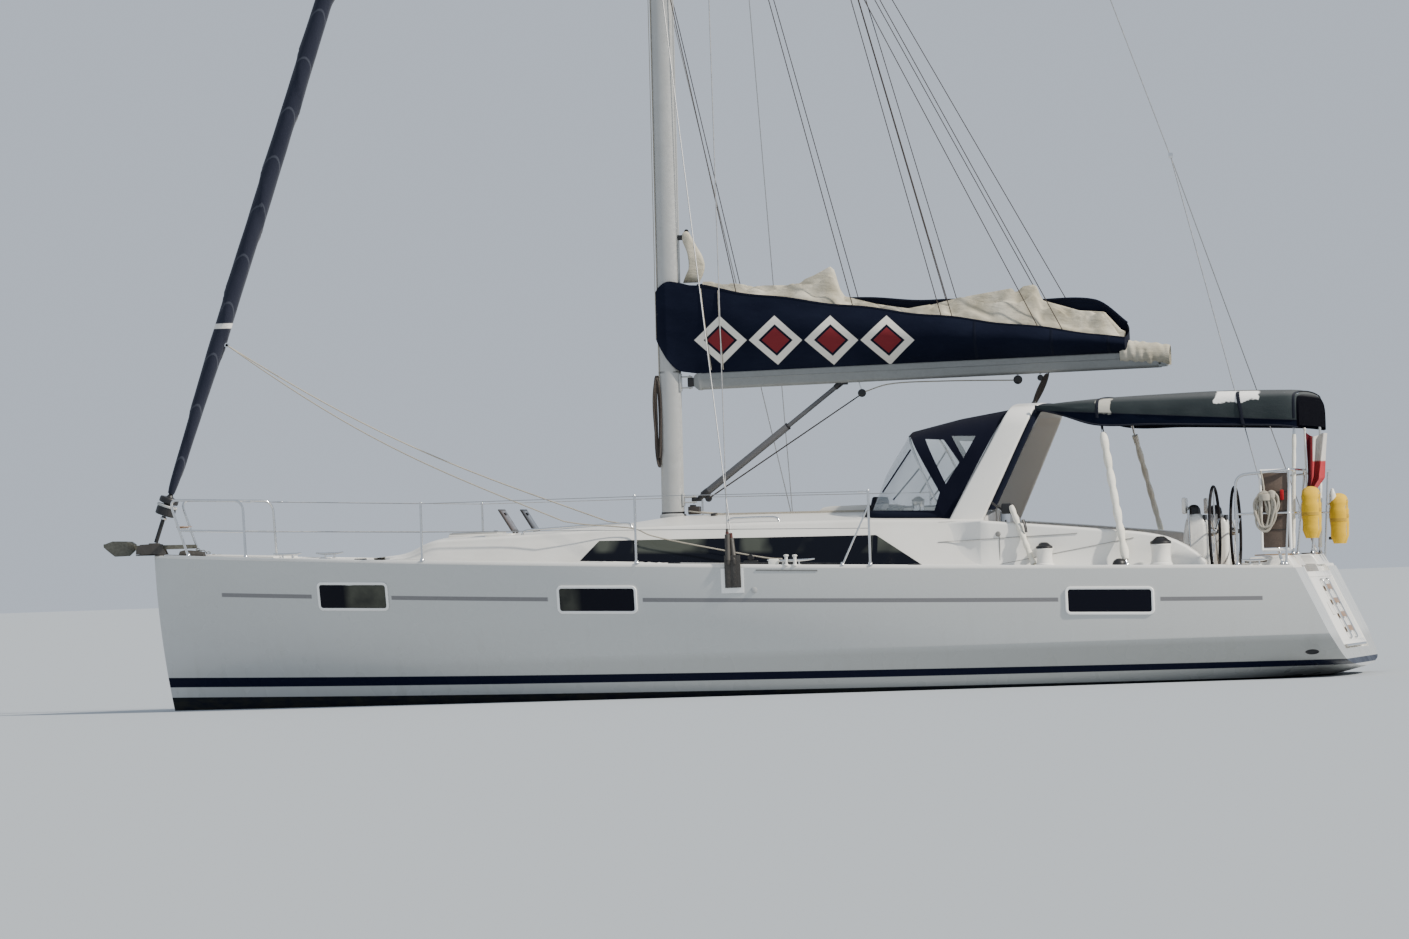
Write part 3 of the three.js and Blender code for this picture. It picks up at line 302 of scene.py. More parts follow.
    def make(self, name, looks, body=BOAT, slot=None, stands_for=None, crease=38, ride=True):
        """The finished piece; looks names its materials in the order of their numbers."""
        mesh = bpy.data.meshes.new(name)
        mesh.from_pydata([p * MM for p in self.points], [], self.faces)
        for key in looks.split():
            mesh.materials.append(LOOKS[key])
        mesh.polygons.foreach_set("material_index", self.slots)
        bm = bmesh.new()
        bm.from_mesh(mesh)
        bmesh.ops.recalc_face_normals(bm, faces=bm.faces)
        bm.to_mesh(mesh)
        bm.free()
        mesh.polygons.foreach_set("use_smooth", [True] * len(mesh.polygons))
        mesh.set_sharp_from_angle(angle=radians(crease))
        obj = bpy.data.objects.new(name, mesh)
        bpy.context.scene.collection.objects.link(obj)
        if ride:
            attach(obj, body)
        if stands_for:
            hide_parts(stands_for)
        return obj


def settle(obj):
    """Applies the modifiers of a piece."""
    graph = bpy.context.evaluated_depsgraph_get()
    graph.update()
    mesh = bpy.data.meshes.new_from_object(obj.evaluated_get(graph))
    obj.modifiers.clear()
    obj.data = mesh
    return obj


def carve(obj, *cutters):
    """Cuts the solid pieces out of obj and throws them away."""
    for tool in cutters:
        mod = obj.modifiers.new("cut", "BOOLEAN")
        mod.object, mod.operation, mod.solver = tool, "DIFFERENCE", "EXACT"
        mod.material_mode = "TRANSFER"
    settle(obj)
    for tool in cutters:
        bpy.data.objects.remove(tool)
    obj.data.set_sharp_from_angle(angle=radians(30))
    return obj


# Materials
class Look:
    """A node material; its helpers return sockets."""

    def __init__(self, name, color, rough=0.5, metal=0.0, **sockets):
        self.mat = bpy.data.materials.new(name)
        self.mat.use_nodes = True
        self.tree = self.mat.node_tree
        self.bsdf = self.tree.nodes["Principled BSDF"]
        self.color = (*color, 1)
        self.bsdf.inputs["Base Color"].default_value = self.color
        self.bsdf.inputs["Roughness"].default_value = rough
        self.bsdf.inputs["Metallic"].default_value = metal
        for key, value in sockets.items():
            self.bsdf.inputs[key.replace("_", " ")].default_value = value
        self.place = self.node("TexCoord").outputs["Object"]
        self.last_bump = None
        self.mat.diffuse_color = self.color

    def node(self, kind, **values):
        """A new shader node with its settings."""
        node = self.tree.nodes.new("ShaderNode" + kind)
        for key, value in values.items():
            setattr(node, key, value)
        return node

    def put(self, node, **inputs):
        """Sets or links the node's inputs by their names, or by their numbers as i0, i1 and so on."""
        for key, value in inputs.items():
            numbered = key[0] == "i" and key[1:].isdigit()
            socket = node.inputs[int(key[1:]) if numbered else key.replace("_", " ")]
            if isinstance(value, bpy.types.NodeSocket):
                self.tree.links.new(value, socket)
            else:
                socket.default_value = value
        return node

    def math(self, kind, a, b=0.0, clamp=False):
        node = self.node("Math", operation=kind, use_clamp=clamp)
        return self.put(node, i0=a, i1=b).outputs[0]

    def plus(self, a, b, clamp=False):
        return self.math("ADD", a, b, clamp)

    def minus(self, a, b, clamp=False):
        return self.math("SUBTRACT", a, b, clamp)

    def times(self, a, b):
        return self.math("MULTIPLY", a, b)

    def over(self, a, b):
        return self.math("DIVIDE", a, b)

    def axis(self, name):
        """One object coordinate, in metres."""
        if not hasattr(self, "split"):
            self.split = self.put(self.node("SeparateXYZ"), Vector=self.place)
        return self.split.outputs[name]

    def noise(self, scale, detail=4.0, stretch=None):
        place = self.place
        if stretch:
            place = self.put(self.node("Mapping"), Vector=place, Scale=stretch).outputs[0]
        node = self.put(self.node("TexNoise"), Vector=place, Scale=scale, Detail=detail, Roughness=0.55)
        return node.outputs["Fac"]

    def cells(self, scale):
        return self.put(self.node("TexVoronoi"), Vector=self.place, Scale=scale).outputs["Distance"]

    def wave(self, scale, direction):
        node = self.node("TexWave", bands_direction=direction)
        return self.put(node, Vector=self.place, Scale=scale).outputs["Fac"]

    def step(self, value, edge, soft=0.002):
        """0 below the edge and 1 above it."""
        fixed = not isinstance(edge, bpy.types.NodeSocket)
        node = self.node("MapRange")
        low = edge - soft if fixed else self.minus(edge, soft)
        high = edge + soft if fixed else self.plus(edge, soft)
        return self.put(node, Value=value, i1=low, i2=high, i3=0.0, i4=1.0).outputs[0]

    def between(self, value, low, high, soft=0.002):
        """1 between two values and 0 outside them."""
        return self.minus(self.step(value, low, soft), self.step(value, high, soft), clamp=True)

    def remap(self, value, low, high, to_low=0.0, to_high=1.0):
        """The value's range low to high, turned into another range."""
        return self.put(self.node("MapRange"), Value=value, i1=low, i2=high, i3=to_low, i4=to_high).outputs[0]

    def mix(self, factor, a, b):
        """Colour a where the factor is 0 and b where it is 1; a colour is a socket or a tuple."""
        a, b = ((*c[:3], 1) if isinstance(c, tuple) else c for c in (a, b))
        return self.put(self.node("Mix", data_type="RGBA"), i0=factor, i6=a, i7=b).outputs[2]

    def feed(self, name, value):
        """Links a socket to an input of the shader."""
        self.tree.links.new(value, self.bsdf.inputs[name])
        return self

    def paint(self, color):
        return self.feed("Base Color", color)

    def vary(self, scale, amount, detail=5.0, stretch=None, tint=(0.55, 0.5, 0.42)):
        """Mottles the colour a little towards a tint."""
        fac = self.remap(self.noise(scale, detail, stretch), 0.35, 0.75, 0.0, amount)
        return self.paint(self.mix(fac, self.color, tuple(c * t for c, t in zip(self.color, tint))))

    def roughen(self, scale, low, high):
        return self.feed("Roughness", self.remap(self.noise(scale, 3.0), 0.3, 0.7, low, high))

    def bump(self, height, strength=0.3, distance=0.001):
        """A bump on top of those already there."""
        node = self.put(self.node("Bump"), Height=height, Strength=strength, Distance=distance)
        if self.last_bump:
            self.tree.links.new(self.last_bump, node.inputs["Normal"])
        self.last_bump = node.outputs[0]
        return self.feed("Normal", self.last_bump)

    def weave(self, scale=900, strength=0.35, distance=0.0006):
        """Crossed threads in all three planes."""
        a = self.times(self.wave(scale, "X"), self.wave(scale, "Y"))
        b = self.plus(a, self.wave(scale, "Z"))
        return self.bump(b, strength, distance)


def gelcoat(name, color, rough):
    """Glossy moulded plastic, a little uneven and mottled."""
    look = Look(name, color, rough, Coat_Weight=0.35, Coat_Roughness=0.12, Specular_IOR_Level=0.5)
    look.vary(1.3, 0.10, 6)
    look.roughen(3.0, rough * 0.8, rough * 1.25)
    return look.bump(look.noise(2.2, 2.0), 0.04, 0.004).mat


def fabric(name, color, weave, sheen, fade, folds, tint=(1.9, 1.8, 1.6)):
    """Woven cloth, faded in patches and softly creased."""
    look = Look(name, color, 0.95, Sheen_Weight=sheen * 0.4, Sheen_Roughness=0.5, Specular_IOR_Level=0.08)
    look.vary(3.5, fade, 6, tint=tint)
    look.bump(look.noise(5.0, 4.0, (1, 1, 2.5)), folds, 0.02)
    return look.weave(weave).mat


def metal(name, color, rough, scratch=0.06, amount=1.0):
    """Brushed metal with fine scratches."""
    look = Look(name, color, rough, amount)
    look.vary(9.0, 0.25, 6, tint=(0.7, 0.68, 0.64))
    look.roughen(40.0, rough * 0.75, rough * 1.35)
    return look.bump(look.noise(220.0, 2.0), scratch, 0.0003).mat


def plastic(name, color, rough=0.45, amount=0.2):
    """Moulded plastic or paint with a fine grain."""
    look = Look(name, color, rough, Specular_IOR_Level=0.45)
    look.vary(14.0, amount, 5)
    look.roughen(30.0, rough * 0.85, rough * 1.2)
    return look.bump(look.noise(700.0, 2.0), 0.12, 0.0004).mat


NAVY_PAINT = (0.006, 0.008, 0.022)
BOTTOM_PAINT = (0.012, 0.014, 0.022)
COVE_GAPS = ((1.81, 2.67), (4.29, 5.24), (9.28, 10.25))


def hull_paint():
    """Gelcoat with a cove line, two navy stripes with a white one between, and bottom paint, with painted
    shade below the chine.
    """
    pale = (0.57, 0.582, 0.57)
    look = Look("hull_gelcoat", pale, 0.3)
    x = look.plus(look.axis("X"), 6.0)
    z = look.axis("Z")
    stain = look.remap(look.noise(1.1, 6.0, (0.35, 1, 2.2)), 0.4, 0.8, 0.0, 0.2)
    base = look.mix(stain, pale, (0.47, 0.465, 0.44))
    drip = look.remap(look.noise(5.0, 3.0, (1.6, 1, 0.05)), 0.55, 0.8, 0.0, 0.26)
    base = look.mix(look.times(drip, look.remap(z, 0.25, 0.9, 1.0, 0.0)), base, (0.40, 0.385, 0.33))
    # Painted shade below the chine: the gelcoat there is darkened, more towards the stern.
    painted_shade = look.times(look.remap(z, 0.36, 0.44, 1.0, 0.0), look.remap(x, 3.0, 10.5, 0.12, 0.62))
    base = look.mix(painted_shade, base, (0.30, 0.305, 0.285))

    def curve(a, b, c):
        return look.plus(look.times(x, look.plus(look.times(x, a), b)), c)

    line = look.between(look.minus(z, curve(0.00107, -0.0470, 1.169)), -0.020, 0.020, 0.002)
    ends = look.between(x, 0.79, 11.22, 0.004)
    for low, high in COVE_GAPS:
        ends = look.minus(ends, look.between(x, low, high, 0.004), clamp=True)
    base = look.mix(look.times(line, ends), base, (0.20, 0.195, 0.20))
    down = look.minus(curve(0.000561, -0.02012, 0.330), z)
    width = look.plus(look.times(x, -0.0034), 0.096)
    navy = look.minus(look.step(down, 0.0), look.step(down, width), clamp=True)
    below = look.step(down, look.plus(width, 0.100))
    color = look.mix(navy, base, NAVY_PAINT)
    weed = look.remap(look.noise(7.0, 6.0, (1, 1, 3)), 0.35, 0.7)
    look.paint(look.mix(below, color, look.mix(weed, BOTTOM_PAINT, (0.03, 0.031, 0.026))))
    dark = look.plus(navy, below, clamp=True)
    gloss = look.remap(look.noise(3.0, 2.0), 0.3, 0.7, 0.22, 0.36)
    look.feed("Roughness", look.plus(look.times(below, 0.45), gloss))
    look.feed("Coat Weight", look.times(look.minus(1.0, dark), 0.3))
    look.feed("Specular IOR Level", look.minus(0.45, look.times(dark, 0.4)))
    look.bump(look.noise(1.2, 2.0), 0.05, 0.006)
    look.bump(look.times(look.noise(260.0, 2.0), below), 0.3, 0.0008)
    return look.mat


def deck_paint():
    """White moulding whose level faces carry a fine nonslip pattern."""
    look = Look("deck_gelcoat", (0.78, 0.765, 0.72), 0.42, Coat_Weight=0.25, Coat_Roughness=0.2)
    normal = look.put(look.node("SeparateXYZ"), Vector=look.node("NewGeometry").outputs["Normal"])
    level = look.step(normal.outputs["Z"], 0.985, 0.008)
    dirt = look.remap(look.noise(2.6, 7.0), 0.42, 0.75, 0.0, 0.22)
    base = look.mix(dirt, (0.78, 0.765, 0.72), (0.52, 0.49, 0.42))
    look.paint(look.mix(look.times(level, 0.55), base, (0.62, 0.605, 0.56)))
    look.bump(look.times(look.cells(95.0), level), 0.5, 0.0016)
    return look.bump(look.noise(3.0, 2.0), 0.04, 0.004).mat


def teak():
    """Laths along the boat with dark caulking between them."""
    look = Look("teak_laths", (0.36, 0.235, 0.135), 0.62, Specular_IOR_Level=0.3)
    pitch = 0.052
    place = look.math("FRACT", look.over(look.plus(look.axis("Y"), 3.0), pitch))
    seam = look.minus(1.0, look.between(place, 0.06, 0.94, 0.02), clamp=True)
    lath = look.noise(1.0, 1.0, (0.2, 19.2, 1))
    grain = look.noise(60.0, 6.0, (0.12, 6, 6))
    wood = look.mix(look.remap(lath, 0.3, 0.7), (0.33, 0.21, 0.12), (0.46, 0.33, 0.21))
    wood = look.mix(look.remap(grain, 0.35, 0.7, 0.0, 0.5), wood, (0.23, 0.15, 0.09))
    look.paint(look.mix(seam, wood, (0.02, 0.02, 0.02)))
    look.bump(grain, 0.25, 0.0008)
    return look.bump(look.minus(1.0, seam), 0.4, 0.0015).mat


def smoked():
    """Dark acrylic with soft lighter patches that are painted reflections."""
    look = Look("smoked_acrylic", (0.010, 0.012, 0.018), 0.07, Coat_Weight=0.5, Coat_Roughness=0.03,
                Specular_IOR_Level=0.6)
    # Painted reflection: soft lighter patches mixed into the dark colour.
    show = look.remap(look.noise(1.6, 3.0, (1.0, 1, 2.6)), 0.5, 0.72, 0.0, 0.25)
    look.paint(look.mix(show, look.color, (0.12, 0.13, 0.12)))
    return look.bump(look.noise(2.0, 1.0), 0.03, 0.003).mat


def rope_look(name, color, fleck):
    """Laid rope with a fleck of a second colour."""
    look = Look(name, color, 0.85, Specular_IOR_Level=0.2)
    turn = look.put(look.node("Mapping"), Vector=look.place, Rotation=(0.6, 0.5, 0.4)).outputs[0]
    band = look.put(look.node("TexWave"), Vector=turn, Scale=70, Distortion=3.0).outputs["Fac"]
    look.paint(look.mix(look.step(band, 0.72, 0.1), look.color, fleck))
    return look.bump(band, 0.6, 0.0015).mat


def furled_cloth():
    """Navy strip wound in a helix, with its light band and seams."""
    look = Look("furled_strip", (0.012, 0.015, 0.030), 0.85, Sheen_Weight=0.15, Specular_IOR_Level=0.25)
    z = look.axis("Z")
    helix = look.math("FRACT", look.times(look.plus(z, look.times(look.axis("Y"), 2.2)), 2.1))
    seam = look.between(helix, 0.0, 0.05, 0.01)
    fade = look.remap(look.noise(2.0, 5.0, (1, 1, 0.4)), 0.35, 0.75, 0.0, 0.5)
    navy = look.mix(fade, (0.010, 0.013, 0.028), (0.026, 0.030, 0.050))
    navy = look.mix(seam, navy, (0.045, 0.05, 0.07))
    band = look.between(z, 3.765, 3.815, 0.004)
    look.paint(look.mix(band, navy, (0.75, 0.73, 0.68)))
    look.bump(seam, 0.6, 0.003)
    look.bump(look.noise(9.0, 4.0, (1, 1, 0.5)), 0.5, 0.012)
    return look.weave(800, 0.25).mat


def side_pane():
    """Dark acrylic with something pale behind two of the hull windows."""
    look = Look("hull_acrylic", (0.004, 0.0045, 0.010), 0.16, Specular_IOR_Level=0.1)
    x = look.axis("X")
    behind = look.plus(look.between(x, -3.80, -3.36, 0.04),
                       look.times(look.between(x, -1.60, -1.42, 0.05), 0.8), clamp=True)
    mottle = look.times(behind, look.remap(look.noise(5.0, 3.0), 0.3, 0.7, 0.45, 1.0))
    look.paint(look.mix(mottle, look.color, (0.085, 0.088, 0.070)))
    return look.bump(look.noise(2.0, 1.0), 0.03, 0.003).mat


def roof_pane():
    """Dark acrylic with black joints, whose upper part shows a little of the saloon behind it."""
    look = Look("dark_acrylic", (0.0045, 0.0055, 0.010), 0.14, Specular_IOR_Level=0.12)
    x, z = look.axis("X"), look.axis("Z")
    upper = look.step(look.plus(z, look.times(x, 0.03)), 1.385, 0.02)
    patch = look.step(look.noise(2.6, 1.5, (1.0, 0.2, 0.7)), 0.5, 0.06)
    show = look.times(look.times(upper, patch), 0.9)
    for s, half in ((5072, 15), (6595, 22), (6969, 18), (7448, 22)):
        joint = look.between(x, (s - 6000 - half) * MM, (s - 6000 + half) * MM, 0.003)
        show = look.minus(show, joint, clamp=True)
    look.paint(look.mix(show, look.color, (0.070, 0.078, 0.066)))
    return look.bump(look.noise(2.0, 1.0), 0.03, 0.003).mat


def bag_cloth():
    """Navy canvas with a made-up ornament of cream and red lozenges along its sides."""
    look = Look("bag_canvas", (0.006, 0.008, 0.019), 0.95, Sheen_Weight=0.02, Specular_IOR_Level=0.05)
    fade = look.remap(look.noise(2.4, 6.0, (0.6, 1, 1.6)), 0.35, 0.75, 0.0, 0.6)
    navy = look.mix(fade, (0.006, 0.008, 0.019), (0.014, 0.018, 0.036))
    x, z = look.axis("X"), look.axis("Z")
    inside = look.between(x, -0.498, 1.716, 0.001)
    cell = look.math("FRACT", look.over(look.plus(x, 0.498), 0.5535))
    wide = look.math("ABSOLUTE", look.minus(cell, 0.5))
    high = look.plus(3.455, look.times(x, -0.037))
    tall = look.over(look.math("ABSOLUTE", look.minus(z, high)), 0.50)
    away = look.plus(wide, tall)
    cream = look.times(look.between(away, 0.31, 0.48, 0.006), inside)
    red = look.times(look.minus(1.0, look.step(away, 0.25, 0.006)), inside)
    color = look.mix(red, navy, (0.20, 0.028, 0.034))
    look.paint(look.mix(cream, color, (0.78, 0.75, 0.68)))
    look.bump(look.noise(3.2, 4.0, (1.0, 1, 1.6)), 0.5, 0.03)
    return look.weave(850, 0.3).mat


HOOD_WINDOWS = (
    ((7290, 1742), (8000, 1718), (8060, 1890), (7766, 2440), (7640, 2440)),
    ((8120, 1969), (8262, 2178), (8106, 2397), (7919, 2411)),
    ((8300, 2213), (8419, 2423), (8181, 2431)),
)


def hood_look():
    """Navy canvas and clear windows in one sheet; the windows' corners are [station, z]."""
    look = Look("hood_canvas", (0.005, 0.006, 0.014), 0.95, Sheen_Weight=0.02, Specular_IOR_Level=0.05)
    look.vary(3.0, 0.5, 6, tint=(1.9, 1.8, 1.6))
    look.bump(look.noise(4.0, 4.0), 0.3, 0.012)
    look.weave(850)
    x, z = look.axis("X"), look.axis("Z")

    def left_of(a, b):
        """1 on the left of the line from a to b, seen from the port side."""
        ax, az, bx, bz = a[0] * MM - 6, a[1] * MM, b[0] * MM - 6, b[1] * MM
        length = hypot(bx - ax, bz - az)
        nx, nz = (az - bz) / length, (bx - ax) / length
        away = look.plus(look.times(x, nx), look.times(z, nz))
        return look.step(away, ax * nx + az * nz, 0.0015)

    show = None
    for corners in HOOD_WINDOWS:
        inside = None
        for a, b in zip(corners, corners[1:] + corners[:1]):
            part = left_of(a, b)
            inside = part if inside is None else look.times(inside, part)
        show = inside if show is None else look.plus(show, inside, clamp=True)
    film = look.put(look.node("BsdfPrincipled"), Base_Color=(0.50, 0.56, 0.60, 1), Roughness=0.14, Alpha=0.2)
    bump = look.put(look.node("Bump"), Height=look.noise(3.5, 3.0), Strength=0.3, Distance=0.01)
    look.put(film, Normal=bump.outputs[0])
    mixer = look.put(look.node("MixShader"), i0=show)
    look.tree.links.new(look.bsdf.outputs[0], mixer.inputs[1])
    look.tree.links.new(film.outputs[0], mixer.inputs[2])
    look.tree.links.new(mixer.outputs[0], look.tree.nodes["Material Output"].inputs["Surface"])
    look.mat.surface_render_method = "BLENDED"
    return look.mat


def flag_stripes():
    """Dusty red bunting with a pale panel in its upper half and a darker hoist."""
    look = Look("flag_stripes", (0.50, 0.055, 0.065), 0.95, Sheen_Weight=0.06, Specular_IOR_Level=0.08)
    x, z = look.axis("X"), look.axis("Z")
    pale = look.times(look.step(z, 2.07, 0.006), look.step(x, 5.625, 0.006))
    base = look.mix(look.remap(look.noise(9.0, 5.0), 0.3, 0.75, 0.0, 0.5), look.color, (0.30, 0.035, 0.042))
    base = look.mix(look.minus(1.0, look.step(x, 5.60, 0.008)), base, (0.10, 0.010, 0.018))
    look.paint(look.mix(pale, base, (0.62, 0.59, 0.55)))
    look.bump(look.noise(16.0, 4.0), 0.4, 0.006)
    return look.weave(900, 0.25).mat


BIMINI_SEAM = (2.863, -0.072)


def bimini_top():
    """Lighter on its crown, darker below the valance's seam, near black at its aft end as painted shade, with
    two pale patches on its port side.
    """
    look = Look("bimini_sheet", (0.012, 0.015, 0.020), 0.97, Specular_IOR_Level=0.02)
    x, y, z = (look.axis(a) for a in "XYZ")
    fade = look.remap(look.noise(2.0, 6.0, (0.7, 1, 1.4)), 0.3, 0.75, 0.0, 0.7)
    cloth = look.mix(fade, (0.030, 0.038, 0.041), (0.050, 0.058, 0.061))
    seam = look.plus(BIMINI_SEAM[0], look.times(x, BIMINI_SEAM[1]))
    cloth = look.mix(look.minus(1.0, look.step(z, seam, 0.004)), cloth, (0.005, 0.007, 0.016))
    # Painted shade: the aft end is near black.
    cloth = look.mix(look.step(x, 5.527, 0.003), cloth, (0.002, 0.002, 0.004))
    cloth = look.mix(look.times(look.step(z, 2.715, 0.02), 0.6), cloth, (0.13, 0.135, 0.14))
    port = look.minus(1.0, look.step(y, -1.0, 0.01))
    ragged = look.times(look.minus(look.noise(9.0, 3.0), 0.5), 0.10)
    for low, high, bottom, top, color in ((4.745, 5.165, 2.665, 2.775, (0.95, 0.94, 0.91)),
                                          (3.600, 3.745, 2.585, 2.735, (0.55, 0.53, 0.46))):
        inside = look.times(look.between(look.plus(x, ragged), low, high, 0.006),
                           look.between(look.plus(z, ragged), bottom, top, 0.006))
        cloth = look.mix(look.times(inside, port), cloth, color)
    look.paint(cloth)
    look.bump(look.noise(3.2, 4.0, (1, 1, 2)), 0.4, 0.03)
    return look.weave(850).mat


def varnished():
    look = Look("varnished_teak", (0.30, 0.175, 0.09), 0.38, Coat_Weight=0.3)
    return look.vary(5.0, 0.5, 6, (0.4, 6, 6)).mat


def brown_acrylic():
    look = Look("brown_acrylic", (0.055, 0.032, 0.020), 0.14, Coat_Weight=0.4)
    return look.vary(4.0, 0.4).roughen(6.0, 0.1, 0.2).mat


LOOKS = {
    "hull": hull_paint(),
    "deck": deck_paint(),
    "white": gelcoat("white_gelcoat", (0.84, 0.83, 0.79), 0.3),
    # Painted light: a warmer cream for the arch's inner faces, standing in for light bounced into their
    # shade.
    "inner": gelcoat("arch_inner_painted_light", (0.86, 0.82, 0.75), 0.5),
    "bright": gelcoat("bright_frame", (0.97, 0.97, 0.95), 0.35),
    "drive": gelcoat("drive_paint", (0.33, 0.34, 0.35), 0.45),
    "bottom": plastic("bottom_paint", BOTTOM_PAINT, 0.75, 0.5),
    "teak": teak(),
    "teak_plain": varnished(),
    "hatch": smoked(),
    "brown_pane": brown_acrylic(),
    "side_pane": side_pane(),
    "roof_pane": roof_pane(),
    "alloy": metal("anodised_alloy", (0.46, 0.465, 0.455), 0.42, 0.1, 0.35),
    # Painted shade: a dark copy of the alloy for the vang, which lies in shade.
    "dull_alloy": metal("vang_alloy_painted_shade", (0.12, 0.12, 0.125), 0.5, 0.2, 0.3),
    # Painted shade: a darker copy of the alloy for the boom, which lies in shade.
    "boom_alloy": metal("boom_alloy", (0.27, 0.28, 0.275), 0.5, 0.1, 0.3),
    "steel": metal("polished_steel", (0.70, 0.71, 0.72), 0.16),
    "wire": metal("wire_rope", (0.42, 0.42, 0.42), 0.4, 0.3),
    "zinc": metal("galvanised_steel", (0.20, 0.195, 0.165), 0.62, 0.3),
    "bronze": metal("dull_bronze", (0.42, 0.29, 0.13), 0.42),
    "black": plastic("black_plastic", (0.014, 0.014, 0.016), 0.42),
    "grey": plastic("grey_plastic", (0.20, 0.20, 0.195), 0.5),
    "white_plastic": plastic("white_plastic", (0.78, 0.77, 0.73), 0.38),
    "dark_frame": plastic("dark_frame", (0.035, 0.028, 0.024), 0.4),
    "dark_line": plastic("dark_line", (0.05, 0.048, 0.045), 0.55),
    "rust": plastic("rusty_fitting", (0.085, 0.026, 0.022), 0.75, 0.6),
    # Dark metal for the shroud fittings and the chain stopper; on the bow roller the same colour is painted
    # shade, since that roller is stainless steel lying in shade.
    "weathered": plastic("dark_metal_and_painted_shade", (0.060, 0.055, 0.050), 0.55, 0.6),
    "navy": fabric("navy_canvas", (0.006, 0.008, 0.018), 850, 0.15, 0.5, 0.3),
    "bimini": fabric("bimini_canvas", (0.010, 0.012, 0.020), 850, 0.2, 0.45, 0.2),
    "bimini_top": bimini_top(),
    "hood": hood_look(),
    "bag": bag_cloth(),
    "furl": furled_cloth(),
    "flag_stripes": flag_stripes(),
    "rope": rope_look("cream_rope", (0.50, 0.46, 0.38), (0.30, 0.27, 0.22)),
    "rope_dark": rope_look("dark_rope", (0.040, 0.033, 0.030), (0.095, 0.080, 0.070)),
    "leather": fabric("stitched_leather", (0.022, 0.021, 0.023), 260, 0.05, 0.3, 0.15),
    "sail": fabric("sailcloth", (0.62, 0.58, 0.475), 600, 0.05, 0.9, 0.9, (0.46, 0.43, 0.35)),
    "brown": fabric("faded_brown_canvas", (0.115, 0.088, 0.072), 700, 0.2, 0.5, 0.4, (1.5, 1.45, 1.4)),
    "foam": fabric("yellow_cover", (0.74, 0.46, 0.035), 420, 0.15, 0.35, 0.35, (0.6, 0.52, 0.4)),
    "foam_dark": fabric("yellow_bands", (0.52, 0.33, 0.05), 420, 0.1, 0.4, 0.2, (0.6, 0.52, 0.4)),
    "red": fabric("red_bunting", (0.42, 0.016, 0.022), 900, 0.2, 0.4, 0.5, (0.6, 0.6, 0.6)),
    "pad": fabric("white_padding", (0.90, 0.88, 0.80), 500, 0.15, 0.5, 0.5, (0.6, 0.55, 0.4)),
    "floor": Look("pale_floor", (0.40, 0.43, 0.46), 0.8).mat,
}


# Hull
SOLE, WELL_HALF, WELL_FRONT, WELL_BACK, PASSAGE_HALF = 620, 1360, 8500, 11050, 560
STERN, TRANSOM_SLOPE, TRANSOM_TOP, CHINE = 11538, 0.4772, 1050, 420
BOW_TOP, DECK_RISE, RAKE_START = 1518, 25.3, 10600
RUDDER_STATION, STOCK_RADIUS = 10750, 40
HULL = rows(
    ["station", "sheer", "mid", "chine", "water", "waterZ", "bilge", "bilgeZ", "keelZ"],
    [
        [0, 14, 14, 14, 14, 0, 13, -15, -30],
        [500, 440, 330, 215, 110, 0, 60, -100, -160],
        [1200, 880, 730, 545, 375, 0, 205, -185, -270],
        [2200, 1345, 1205, 1000, 790, 0, 465, -265, -370],
        [3500, 1710, 1620, 1450, 1230, 0, 765, -330, -440],
        [4700, 1915, 1855, 1730, 1510, 0, 970, -365, -480],
        [6000, 2040, 2000, 1910, 1700, 0, 1130, -375, -500],
        [7500, 2098, 2078, 2020, 1815, 0, 1230, -345, -470],
        [9000, 2080, 2070, 2035, 1805, 0, 1225, -285, -390],
        [10500, 2000, 1996, 1975, 1680, 20, 1120, -140, -240],
        [STERN, 1900, 1896, 1880, 1600, 200, 1000, 115, 82],
    ],
)


def sheer_z(station):
    """Height of the hull's upper edge."""
    return BOW_TOP - 0.0535 * station + 1.16e-6 * station * station


def deck_top(station):
    """Height of the deck's surface at its edge."""
    return sheer_z(station) + DECK_RISE


def raked(station, z):
    """The x of a station at a height, with the stem's and the transom's rake."""
    drop = BOW_TOP - z
    bow = (0.022 * drop + 5.36e-5 * drop * drop) * max(0, 1 - station / 1000)
    stern = (TRANSOM_TOP - z) * TRANSOM_SLOPE * max(0, (station - RAKE_START) / (STERN - RAKE_START))
    return X(station) + bow + stern


def topside(station, z):
    """Half breadth of the hull's side at a height."""
    a, b, c = (smooth(HULL, name, station) for name in ("sheer", "mid", "chine"))
    t = (sheer_z(station) - z) / (sheer_z(station) - CHINE)
    return a * (1 - t) * (1 - 2 * t) + 4 * b * t * (1 - t) + c * t * (2 * t - 1)


def hull_ring(station):
    """The hull's section at a station, from the starboard sheer round to port."""
    half = []
    for t in (0, 0.1, 0.2, 0.3, 0.4, 0.5, 0.6, 0.7, 0.8, 0.9):
        z = sheer_z(station) + (CHINE - sheer_z(station)) * t
        half.append((topside(station, z), z))

    def value(name):
        return smooth(HULL, name, station)

    bottom = spline([(value("chine"), CHINE, 0), (value("water"), value("waterZ"), 0),
                     (value("bilge"), value("bilgeZ"), 0), (0, value("keelZ"), 0)], 7)
    half += [(p.x, p.y) for p in bottom]
    side = [(raked(station, z), y, z) for y, z in half]
    return side + [(px, -y, z) for px, y, z in side[:-1][::-1]]


def fine_stations(low, high, count):
    """Closer together near the stem."""
    return [low + (high - low) * (i / (count - 1)) ** 1.35 for i in range(count)]


